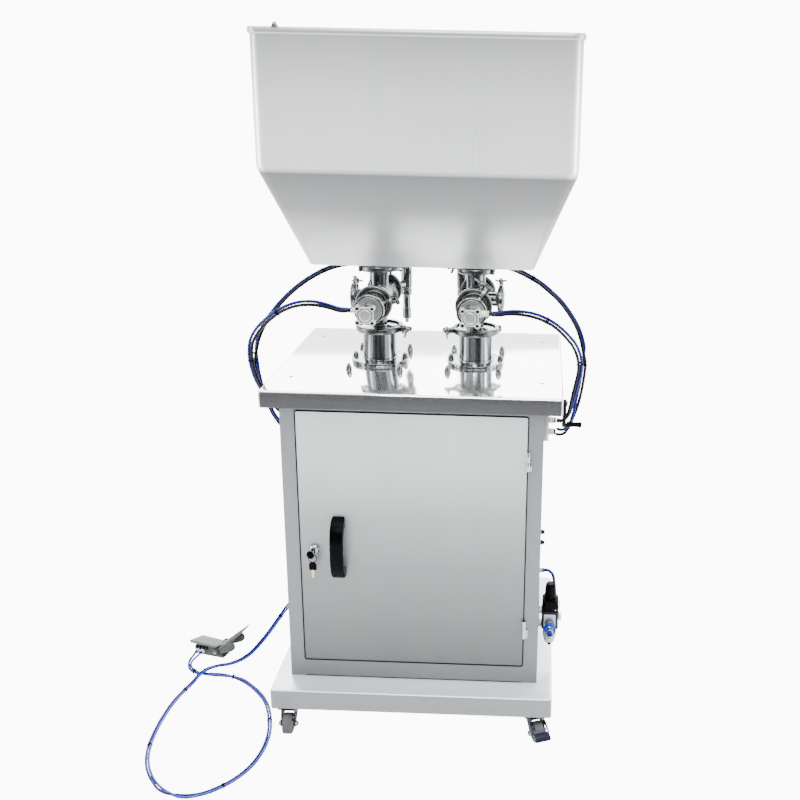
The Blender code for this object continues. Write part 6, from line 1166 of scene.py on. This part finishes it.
leaves = [block((267.0, -6.6, z - 22.4), (274.8, -0.2, z - 0.2), 0.6, 1.0) for z in HINGES]
pins = [turned(PIN_BARREL, (HINGE_X, HINGE_Y, z), steps=28) for z in HINGES]
piece("hinge_halves", "root", chrome, *pins, *leaves)

# %% Handle, lock and keys
HANDLE_X, HANDLE_LOW, HANDLE_HIGH = -172.0, 393.0, 548.0
HANDLE_DEPTH, HANDLE_FOOT, HANDLE_FACE = 40.0, 27.0, -1.3
middle, half_length = (HANDLE_LOW + HANDLE_HIGH) / 2, (HANDLE_HIGH - HANDLE_LOW) / 2
outside, inside = np.linspace(-1, 1, 33), np.linspace(1, -1, 21)
bow_out = HANDLE_FACE - HANDLE_DEPTH * (1 - np.abs(outside) ** 3.2) ** 0.55
bow_in = HANDLE_FACE - (HANDLE_DEPTH - 13.0) * (1 - np.abs(inside) ** 3.0) ** 0.6
side_view = np.concatenate([np.column_stack([bow_out, middle + half_length * outside]),
                            np.column_stack([bow_in, middle + (half_length - HANDLE_FOOT) * inside])])
handle = plate(side_view, -15.6, 15.0, "X", (HANDLE_X, 0, 0), 3.6, 5)
piece("handle_bridge", "door", plastic_black, handle, replaces="door_handle", sharp=50)

LOCK = (-230.0, -1.0, 464.0)
HOUSING = [(5.45, 9.0), (7.9, 9.0), (8.6, 8.6), (10.6, 6.6), (11.0, 5.8), (11.0, 0.9), (11.4, 0.3),
           (9.0, 0.2), (9.0, -24.0), (5.45, -24.0), (5.45, 9.0)]
PLUG = [(0, 9.0), (4.9, 9.0), (5.2, 9.3), (5.2, 9.6), (3.6, 9.9), (0, 9.9)]
KEY_BOW = [(-5.0, -8.0), (-9.5, -3.0), (-9.5, 3.0), (-6.0, 8.5), (6.0, 8.5), (9.5, 3.0), (9.5, -3.0),
           (5.0, -8.0)]
KEY_FRAME = np.array([(0.72, -0.28, -0.635), (0.66, 0.0, 0.75), (-0.21, -0.96, 0.185)])
KEY_BLADE = [(-3.1, -60.0), (-0.6, -62.6), (2.6, -60.4), (3.1, -41.0), (-3.1, -41.0)]
lock_x, lock_z = LOCK[0], LOCK[2]
piece("lock_housing", "door", chrome, turned(HOUSING, LOCK, "-Y", 56, 0.5), replaces="lock_body")
piece("lock_plug", "key", chrome, turned(PLUG, LOCK, "-Y", 40, 0.3))
key_head = plate(eased(KEY_BOW, 4.5, True, 5), -1.9, 1.9, KEY_FRAME, (lock_x - 7.5, -19.6, lock_z - 8.4),
                 1.5, 4)
key_blade = block((lock_x - 1.1, -18.6, lock_z - 3), (lock_x + 1.1, -10.6, lock_z + 3), 0.3, 0.4)
piece("key_head", "key", plastic_black, key_head, replaces="lock_key")
piece("key_blade", "key", steel_bright, rotated(key_blade, 38, "Y", LOCK))
blade = plate(eased(KEY_BLADE, 1.0, True, 3), -0.9, 0.9, "-Y", (lock_x, -28.8, lock_z), 0.4)
cuts = [block((lock_x - 3.4, -29.9, z - 0.5), (lock_x - 2.2, -27.7, z + 0.5), 0.2, 0.2)
        for z in (lock_z - 46.0, lock_z - 50.0, lock_z - 53.5, lock_z - 57.0)]
brass = polished("brass_key", (0.50, 0.42, 0.20), 0.24, 120.0)
piece("spare_key_blade", "spare", brass, blade, *cuts)

# %% [markdown]
# ## Casters
#
# Each wheel is one turning in two materials: a moulded core and a grey tread with soft edges.
# The steel fork stays as the solid has it and gets its paint and bright axle nuts.

# %% Casters
CASTERS = {"front_left": (-297.0, -39.0, 0.0), "front_right": (297.0, -39.0, 22.0),
           "rear_left": (-297.0, 502.0, 12.0), "rear_right": (297.0, 502.0, -15.0)}
TRAIL, AXLE_Z = 20.0, 25.0
TREAD = mirrored([(17.6, 10.6), (22.8, 11.0), (24.4, 9.6), (25.0, 6.0)])
CORE = mirrored([(4.3, 13.0), (8.6, 13.0), (9.0, 12.4), (9.6, 9.0), (15.0, 8.4), (16.6, 10.4),
                 (18.0, 10.8)])
AXLE_END = [(0, 4.4), (3.4, 4.4), (3.4, 6.4), (2.6, 6.9), (0, 6.9)]
RACE = [(8, 61.9), (17.6, 61.9), (18.2, 62.6), (18.2, 65.4), (17.6, 66.4), (8, 66.6)]


def with_fork(corner, *shapes):
    """Shapes drawn for a fork that points straight ahead, turned as that caster's fork is."""
    cx, cy, swivel = CASTERS[corner]
    return [rotated(shape, swivel, "Z", (cx, cy, 0)) for shape in shapes]


for corner, (cx, cy, swivel) in CASTERS.items():
    axle = (cx, cy - TRAIL, AXLE_Z)
    tread = turned(TREAD, axle, "X", 72, 1.2, True)
    core = turned(CORE, axle, "X", 64, 0.6, True)
    piece("wheel_tread_" + corner, "wheel_" + corner, rubber_grey, *with_fork(corner, tread),
          replaces="caster_wheel_" + corner, slot="grey_rubber")
    piece("wheel_core_" + corner, "wheel_" + corner, casting_pale, *with_fork(corner, core),
          slot="grey_rubber")
    nuts = [turned(RACE, (cx, cy, 0), steps=56)]
    for sign, axis in ((-1, "-X"), (1, "X")):
        place = (cx + sign * 17.2, cy - TRAIL, AXLE_Z)
        nuts += acorn(place, 7.2, 4.0, axis, 0.6, False) + [turned(AXLE_END, place, axis, 24)]
    piece("caster_nuts_" + corner, "caster_" + corner, steel_bright, *with_fork(corner, *nuts))
    bolts = []
    for place in ((cx + dx, cy + dy, 66.8) for dx in (-20.0, 20.0) for dy in (-20.0, 20.0)):
        bolts += acorn(place, 4.4, 3.0, "-Z", 0.6, False)
    piece("caster_bolts_" + corner, "root", steel_bright, *bolts)

# %% [markdown]
# The brake of the front right caster is a tongue between two arms. Both are outlines in the
# lever's own frame, which starts at its pivot and points 20 degrees below the level.

# %% The brake
BRAKE_TILT = math.radians(20)
BRAKE_PIVOT = (297.0, -59.0, 47.5)
TONGUE = [(27, 2.8), (41, 2.8), (46.5, -0.4), (48, -4.6), (45.6, -4.6), (44.4, -1.6), (40.5, 0), (27, 0)]
BRAKE_ARM = [(-5, -4.5), (4, -5), (30, 0.2), (30, 2.6), (8, 5), (-5, 5)]
ahead, rise = math.cos(BRAKE_TILT), math.sin(BRAKE_TILT)
lever_frame = np.array([(0, -ahead, -rise), (0, -rise, ahead), (1, 0, 0)])
brake = [plate(eased(TONGUE, 1.0, True, 3), -18.5, 18.5, lever_frame, BRAKE_PIVOT, 1.0)]
brake += [plate(eased(BRAKE_ARM, 3.0, True, 4), low, low + 2.4, lever_frame, BRAKE_PIVOT, 0.5)
          for low in (-20.2, 17.8)]
piece("brake_tongue", "brake", navy, *with_fork("front_right", *brake), replaces="brake_pedal")

# %% [markdown]
# ## Crank, tube blocks and pedal
#
# The crank under the table's right end sets the stroke. Its hub tapers to the shaft; the grip
# has twelve flutes, so its radius is a mean less a small cosine of twelve times the angle.

# %% Crank
CRANK_Y, CRANK_Z, CRANK_THROW = 120.0, 800.0, 52.0
GRIP_Z = CRANK_Z - CRANK_THROW
crank_axis = (0.0, CRANK_Y, CRANK_Z)
HUB = [(6.2, 322.5), (7.4, 322.0), (12.6, 330.5), (14.0, 332.0), (14.0, 343.0), (12.8, 344.2), (0, 344.2)]
END_NUT = [(0, 351.8), (6.0, 351.8), (6.0, 353.8), (4.6, 355.2), (0, 355.6)]
BUSH = [(6.4, 300.2), (13, 300.2), (13.2, 301), (13.2, 307.4), (12.4, 308.2), (6.4, 308.2)]


def arc(centre, radius, start, end, steps):
    angle = np.radians(np.linspace(start, end, steps))
    return np.stack([centre[0] + radius * np.cos(angle), centre[1] + radius * np.sin(angle)], axis=1)


arm_view = np.concatenate([arc((CRANK_Y, CRANK_Z), 10.0, 165, 15, 12),
                           arc((CRANK_Y, GRIP_Z), 7.2, 0, -180, 12)])
arm = plate(arm_view, 343.8, 352.0, "X", (0, 0, 0), 1.6, 4)
piece("crank_hub_arm", "crank", paint_black, turned(HUB, crank_axis, "X", 48), arm)
grip_screw = turned([(0, 0), (5.0, 0), (5.0, 1.2), (4.0, 2.0), (0, 2.2)], (344.1, CRANK_Y, GRIP_Z), "-X",
                    32)
piece("crank_nut", "crank", steel_bright, turned(END_NUT, crank_axis, "X", 32), grip_screw)
u = np.linspace(0, 1, 26)[:, None]
v = np.linspace(0, 2 * math.pi, 96, endpoint=False)[None]
ends = np.sqrt(np.clip(1 - ((np.abs(u - 0.5) - 0.46) / 0.04).clip(0) ** 2, 0, 1))
flutes = 0.28 * (1 + np.cos(12 * v)) * np.clip(ends * 1.2 - 0.2, 0, 1)
r = (6.3 + 0.5 * np.cos(2 * math.pi * u)) * ends - flutes
grip = np.stack([352.4 + 37.6 * u + 0 * v, CRANK_Y + r * np.cos(v), GRIP_Z + r * np.sin(v)], axis=-1)
piece("crank_grip_fluted", "grip", plastic_black, grid(grip), replaces="crank_grip")
piece("crank_bush", "root", steel_bright, turned(BUSH, crank_axis, "X", 48))

# %% Tube blocks and fittings in the cabinet's walls
for side, (_, out, aside) in SIDES.items():
    low, high = sorted((out * 300.3, out * 312.3))
    holders = [fitting((out * 312.3, y, z), aside) for z in (731.0, 701.0) for y in (188.0, 202.0)]
    screws = [cross_screw((out * 312.3, y, z), 3.0, aside)
              for y, z in ((180, 716), (210, 716), (195, 688), (195, 746))]
    piece("tube_block_" + side, "root", aluminium, block((low, 175, 682), (high, 215, 752), 1.0, 3.0, "X"),
          replaces="side_block_" + side)
    piece("tube_block_fittings_" + side, "root", nickel, *(metal for metal, _ in holders), *screws)
    piece("tube_block_collets_" + side, "root", plastic_black, *(lip for _, lip in holders))
plugs = [shape for z in (458.0, 430.0) for shape in fitting((300.2, 136.0, z), "X", 5.5)]
piece("wall_plugs", "root", paint_black, *plugs, slot="black_plastic")
holders = [fitting((300.0, 200.0, 319.0), "X", 8.6, 4.0), fitting((-300.0, 292.0, 176.0), "-X", 8.6, 2.6)]
piece("wall_fittings", "root", nickel, *(metal for metal, _ in holders))
piece("wall_collets", "root", plastic_collet, *(lip for _, lip in holders))

# %% [markdown]
# The foot valve is a sand casting on the floor. Its body is a wedge under a cover plate that
# stands over on the tube side; cheeks carry the pin of the treadle, a ribbed plate. It is drawn
# straight, in its own frame, and then turned and moved to its place.

# %% Foot pedal
PEDAL_PLACE, PEDAL_TURN = np.array([-566.0, 268.0, 0.0]), -14.0
PIN_PLACE = (0, 0, 17)
WEDGE = [(22, 0.2), (-59, 0.2), (-64, 6), (-66, 24), (-60, 33), (0, 33), (6, 26), (14, 12), (24, 4)]
COVER = [(-76, 34.5), (-76, 43.5), (0, 38.6), (5, 35.4), (2, 31.6), (-60, 33.2)]
LEAN = 0.34


def on_floor(*shapes):
    """From the pedal's own frame to its place on the floor."""
    return [rotated(shifted(shape, PEDAL_PLACE), PEDAL_TURN, "Z", PEDAL_PLACE) for shape in shapes]


def leaning(shape):
    """The casting is highest at its front wall: heights sink towards the back."""
    points = shape[0].copy()
    points[:, 2] -= LEAN * (points[:, 1] + 31) * np.clip(points[:, 2] / 36, 0, 1)
    return points, shape[1]


cast = [leaning(plate(eased(WEDGE, 3.5, True, 4), -25.6, 25.6, "-Y", (0, 0, 0), 2.4, 4))]
CHEEK = [(0, -31), (9.0, -31), (9.4, -30.4), (9.4, -25), (0, -25)]
cast += [turned(CHEEK, PIN_PLACE, axis, 36) for axis in ("Y", "-Y")]
lid = leaning(plate(eased(COVER, 2.4, True, 4), -31.4, 31.4, "-Y", (0, 0, 0), 2.4, 4))
pin = turned(mirrored([(0, 32.6), (4.0, 32.6), (4.4, 32.0)]), PIN_PLACE, "Y", 32)
lid_screws = [cross_screw((x, y, 43.3 - (x + 76) * 0.066 - LEAN * (y + 31)), 3.0)
              for x in (-66, -10) for y in (-25, 25)]
# The slots in the casting's side are black blocks: painted shade in the openings.
slots = [block((x - 2.2, -31.6, 21), (x + 2.2, -25.0, 29), 0.4, 1.6) for x in (-56, -46, -36, -26)]
holders = [fitting((x, -25.4, 13.5), "-Y", 9.0, 2.4) for x in (-54.0, -40.0)]
piece("pedal_casting", "root", casting, *on_floor(*cast), replaces="pedal_base")
piece("pedal_cover", "root", casting_pale, *on_floor(lid))
piece("pedal_steel", "root", steel_bright, *on_floor(pin, *lid_screws))
piece("pedal_slots", "root", paint_black, *on_floor(*slots))
piece("pedal_ports", "root", plastic_white, *on_floor(*(metal for metal, _ in holders)),
      slot="polished_steel")
piece("pedal_collets", "root", plastic_collet, *on_floor(*(lip for _, lip in holders)))

TREAD_ANGLE = math.radians(40)
TREAD_VIEW = [(-4.6, -4.2), (62, -4.4), (104, 1.8), (104, 4.4), (-4.6, 4.4)]
FLANGE = [(2, 3.5), (64, 3.5), (66, -14), (60, -22), (48, -24), (8, -12), (2, -4)]
forth = np.array([math.cos(TREAD_ANGLE), 0, math.sin(TREAD_ANGLE)])
over = np.array([-math.sin(TREAD_ANGLE), 0, math.cos(TREAD_ANGLE)])
tread_axes = np.array([forth, over, (0, -1, 0)])
tread = plate(eased(TREAD_VIEW, 1.6, True, 4), -25.0, 25.0, tread_axes, PIN_PLACE, 1.6, 4)
flanges = [plate(eased(FLANGE, 5.0, True, 5), low, low + 3.4, tread_axes, PIN_PLACE, 1.0)
           for low in (-26.6, 23.2)]
ribs = [plate(rounded_rectangle(1.0, 22.0, 1.0), 4.2, 5.2, np.array([forth, (0, 1, 0), over]),
              PIN_PLACE + forth * reach, 0.4) for reach in np.arange(44.0, 101.0, 6.0)]
eye = turned(mirrored([(4.5, 25.0), (7.4, 25.0), (7.8, 24.4)]) + [(4.5, -25.0)], PIN_PLACE, "Y", 40)
piece("treadle_plate", "treadle", casting, *on_floor(tread, eye, *flanges, *ribs), replaces="pedal_lever")

# %% [markdown]
# ## Filter regulator
#
# Air comes in through a hand valve with a blue sliding sleeve, passes the filter over the clear
# bowl, and the black knob on top sets the pressure. The knob has twenty flutes: its radius loses
# a cosine of twenty times the angle, which fades out at both ends.

# %% Filter regulator
REGULATOR_AXIS = (329.0, 100.0, 0.0)
HAND_VALVE = (329.0, 79.0, 232.5)
KNOB = [(0, 9.5), (0.2, 13.2), (1.4, 14.4), (9, 14.5), (24, 13.4), (31, 12.9), (35, 12.2), (37.4, 10.6),
        (38, 9.0), (37.2, 8.2), (36.6, 7.0), (36.9, 3.0), (37.0, 0.0)]
BOWL = [(0, 182), (9.4, 182), (14.6, 194.8), (15, 221.7), (17, 221.7), (17, 196), (16.6, 193.0),
        (12.4, 177.4), (11.6, 176), (3.5, 176), (3.5, 168.4), (2.8, 167), (0, 167)]
COLLAR = [(17.1, 221.6), (18.0, 221.2), (18.0, 214.6), (17.1, 214.2)]
FILTER = [(0, 213), (9, 213), (9, 198), (6, 195), (6, 186), (0, 186)]
BOWL_RING = [(8.8, 182.2), (14.0, 193.4), (14.2, 190.0), (10.6, 180.0), (8.8, 179.8)]
DRAIN = [(0, 176.4), (5.6, 176.4), (5.6, 173.4), (4.2, 172.6), (4.2, 166.6), (0, 166.4)]
STEM = [(0, -6), (12, -6), (12, 0.6), (9.9, 1.0), (9.9, 24.0), (8.2, 25.0), (8.2, 34.4), (7.4, 35.4),
        (0, 35.4)]
STEM_LIP = [(4.1, 35.2), (6.4, 35.2), (7.2, 36.4), (7.2, 41.4), (6.2, 43.6), (4.1, 44.0)]
VALVE_RING = [(10.2, 9.7), (13.6, 9.7), (14.5, 10.5), (14.5, 12.2), (13.0, 13.4), (12.6, 17.0), (13.0, 20.4),
              (14.5, 21.6), (14.5, 24.4), (13.6, 25.2), (10.2, 25.2)]


def upright(profile, steps, **options):
    """A turning about the regulator's own axis."""
    return turned(profile, REGULATOR_AXIS, steps=steps, **options)


knob_height, knob_radius = np.hsplit(eased(KNOB, 0.8, False, 3), 2)
v = np.linspace(0, 2 * math.pi, 120, endpoint=False)
fade = np.clip((knob_height - 2) / 3, 0, 1) * np.clip((34 - knob_height) / 4, 0, 1)
r = np.maximum(knob_radius - 0.45 * (0.5 - 0.5 * np.cos(20 * v)) * fade, 0)
knob = np.stack([REGULATOR_AXIS[0] + r * np.cos(v), REGULATOR_AXIS[1] + r * np.sin(v),
                 300.3 + knob_height + 0 * v], axis=-1)
piece("knob_fluted", "knob", plastic_black, grid(knob), replaces="regulator_knob")
housing = [block((308, 79, 222), (350, 121, 226), 0.8, 5.0),
           block((308.6, 79.6, 226), (349.4, 120.4, 264), 0.8, 5.0),
           block((308, 79, 264), (350, 121, 268), 0.8, 5.0)]
piece("regulator_middle", "root", navy, *housing, replaces="regulator_body")
neck = upright([(9, 296), (16.5, 296), (15.6, 299.6), (9, 300)], 48)
piece("regulator_bonnet", "root", plastic_black, block((309, 80, 268), (349, 120, 297), 1.6, 8.0), neck)
name_plate = plate(rounded_rectangle(14.5, 17.0, 2.0), 0, 1.6, "-Y", (328.0, 79.4, 245), 0.5)
piece("regulator_plate", "root", aluminium, name_plate)
dot = turned([(0, 0), (1.5, 0), (1.3, 0.5), (0, 0.6)], (342.0, 80.0, 274.0), "-Y", 20, 0.2)
piece("regulator_dot", "root", plastic_white, dot, slot="white_seal")
piece("bowl_clear_shell", "bowl", bowl_clear, upright(BOWL, 64), replaces="regulator_bowl")
piece("bowl_collar", "bowl", plastic_black, upright(COLLAR, 64, closed=True, ease=0.3))
piece("bowl_filter", "bowl", plastic_white, upright(FILTER, 40),
      upright(BOWL_RING, 56, closed=True, ease=0.4), slot="white_seal")
piece("bowl_drain", "bowl", plastic_black, upright(DRAIN, 32))
piece("hand_valve_stem", "root", nickel, turned(STEM, HAND_VALVE, "-Y", 48))
piece("hand_valve_collet", "root", plastic_collet, turned(STEM_LIP, HAND_VALVE, "-Y", 40, closed=True))
sleeve = turned(VALVE_RING, HAND_VALVE, "-Y", 64, 0.8, True)
piece("hand_valve_ring", "ring", plastic_blue, sleeve, replaces="valve_ring", slot="blue_valve")
metal, lip = fitting((329.0, 121.0, 243.0), "Y", 8.0, 4.0)
piece("regulator_port", "root", nickel, metal)
piece("regulator_port_collet", "root", plastic_collet, lip)
bracket = [block((300.3, 80, 226), (301.8, 120, 290), 0.4, 0.5),
           block((300.3, 84, 226), (309.0, 116, 228.0), 0.4, 0.5),
           block((300.3, 84, 262), (309.0, 116, 264.0), 0.4, 0.5)]
piece("regulator_bracket", "root", steel_cast, *bracket)
side_plug = [block((350.0, 92, 238), (357.5, 108, 256), 1.0, 3.0, "X"),
             block((350.0, 84, 274), (352.5, 90, 298), 0.6, 1.0)]
piece("regulator_side_plug", "root", aluminium_bright, *side_plug)

# %% [markdown]
# ## Surfaces of the solids that stay
#
# Folded panels, forks, keys and everything inside keep their own solids. They only change their
# finish, by the name of their material slot or by their own name.

# %% Finishes for the carried-over solids
KEPT = {"satin_sheet": sheet_frame, "polished_steel": steel_polished, "chrome": chrome,
        "black_plastic": plastic_black, "cast_aluminium": casting, "anodised_aluminium": aluminium,
        "black_steel": paint_black, "grey_rubber": rubber_grey, "blue_tube": tube_blue,
        "blue_valve": plastic_blue, "clear_bowl": bowl_clear, "white_seal": seal_white}
OWN = {"door_panel": sheet_door, "brake_pedal": navy, "hinge_upper": chrome, "hinge_lower": chrome}
kept = 0
for name in frame["nodes"]:
    solid = bpy.data.objects[name]
    for index, slot in enumerate(solid.data.materials):
        family = slot.name.split(".")[0]
        if name in OWN or family in KEPT:
            solid.data.materials[index] = OWN.get(name, KEPT.get(family))
            kept += 1
print("solids with a new finish:", kept)

# %% [markdown]
# ## Light
#
# Metal shows what is around it. The studio is a white floor that curves up behind the machine, a
# broad soft light overhead and one on each side. The side where the photographer stands is
# darker, and that draws the grey in the fronts and the dark cores in the polished cylinders.
# The paper is brighter to the camera than to the metal, as a lit backdrop far behind would be.

# %% The studio
def stage_surface(name, points, look):
    """A part of the room: a sheet of points that isn't part of the machine."""
    mesh = bpy.data.meshes.new(name)
    vertices, faces = grid(points, wrap=False)
    mesh.from_pydata(vertices.tolist(), [], faces)
    mesh.shade_smooth()
    mesh.materials.append(look)
    made = bpy.data.objects.new(name, mesh)
    bpy.context.scene.collection.objects.link(made)


def paper(name, scale, deep, pale, **sockets):
    """Plain material of the room, a little uneven."""
    made = Finish(name, **sockets)
    made.wear(made.mix(made.noise(scale), deep, pale))
    return made


WHITE, NEARLY_WHITE, GLOW = (0.97, 0.97, 0.97), (0.95, 0.95, 0.95), (1, 1, 1, 1)
studio = paper("studio_paper", 0.7, NEARLY_WHITE, WHITE, Roughness=0.9, Emission_Color=GLOW,
               Emission_Strength=0.6)
window = paper("studio_window", 0.7, NEARLY_WHITE, WHITE, Roughness=0.9, Emission_Color=GLOW,
               Emission_Strength=8.0)
cloth = paper("studio_dark_cloth", 2.0, (0.05, 0.05, 0.055), (0.09, 0.09, 0.095), Roughness=0.95)
lit = studio.node("ShaderNodeEmission", None, {"Strength": 11.0})
seen = studio.node("ShaderNodeLightPath", output="Is Camera Ray")
plain = Value(studio, studio.shader.outputs[0])
both = studio.node("ShaderNodeMixShader", None, {0: seen, 1: plain, 2: lit})
studio.plug(studio.tree.nodes["Material Output"].inputs["Surface"], both)

curve = [(2.5 + 2.5 * math.sin(a), 2.5 - 2.5 * math.cos(a)) for a in np.linspace(0.1, math.pi / 2, 12)]
sweep = [(-9.0, 0.0), (2.5, 0.0)] + curve + [(5.0, 8.0)]
span, wide, pane = (-9, 0, 9), (-4.5, 0, 4.5), (-3.6, 0, 3.6)
stage_surface("studio_backdrop", [[(x, y, z - 0.0003) for x in span] for y, z in sweep], studio.material)
stage_surface("studio_window", [[(x, 4.9, z) for x in pane] for z in (1.0, 3.0, 5.5)], window.material)
stage_surface("studio_cloth_floor", [[(x, y, 0.004) for x in wide] for y in (-4.4, -3.0, -1.9)],
              cloth.material)
stage_surface("studio_cloth_wall", [[(x, -4.4 - 0.02 * z, z) for x in wide] for z in (0.0, 1.5, 3.2)],
              cloth.material)


def soft_light(name, place, target, size, power):
    """An area light that looks from its place at a target."""
    data = bpy.data.lights.new(name, "AREA")
    data.shape = "RECTANGLE"
    data.size, data.size_y = size
    data.energy = power
    made = bpy.data.objects.new(name, data)
    bpy.context.scene.collection.objects.link(made)
    a, b, c = axes(np.subtract(place, target))
    made.matrix_world = Matrix.Translation(place) @ Matrix(np.column_stack([a, b, c]).tolist()).to_4x4()


soft_light("light_top", (0.2, -0.4, 3.4), (0.1, 0.0, 0.9), (3.0, 3.0), 170)
soft_light("light_left", (-2.6, -0.6, 1.6), (0, 0, 0.9), (0.9, 2.8), 80)
soft_light("light_right", (2.9, -0.4, 1.5), (0, 0, 0.9), (0.9, 2.8), 90)
soft_light("light_front", (0.2, -3.6, 3.0), (0.1, 0, 0.8), (1.8, 0.8), 120)
air = bpy.data.worlds.new("studio_air")
air.use_nodes = True
air.node_tree.nodes["Background"].inputs["Color"].default_value = (0.93, 0.96, 1.0, 1)
air.node_tree.nodes["Background"].inputs["Strength"].default_value = 1.9
bpy.context.scene.world = air

# %% Finish: sizes
print("triangles:", sum(made_triangles.values()), "pieces:", len(made_triangles))
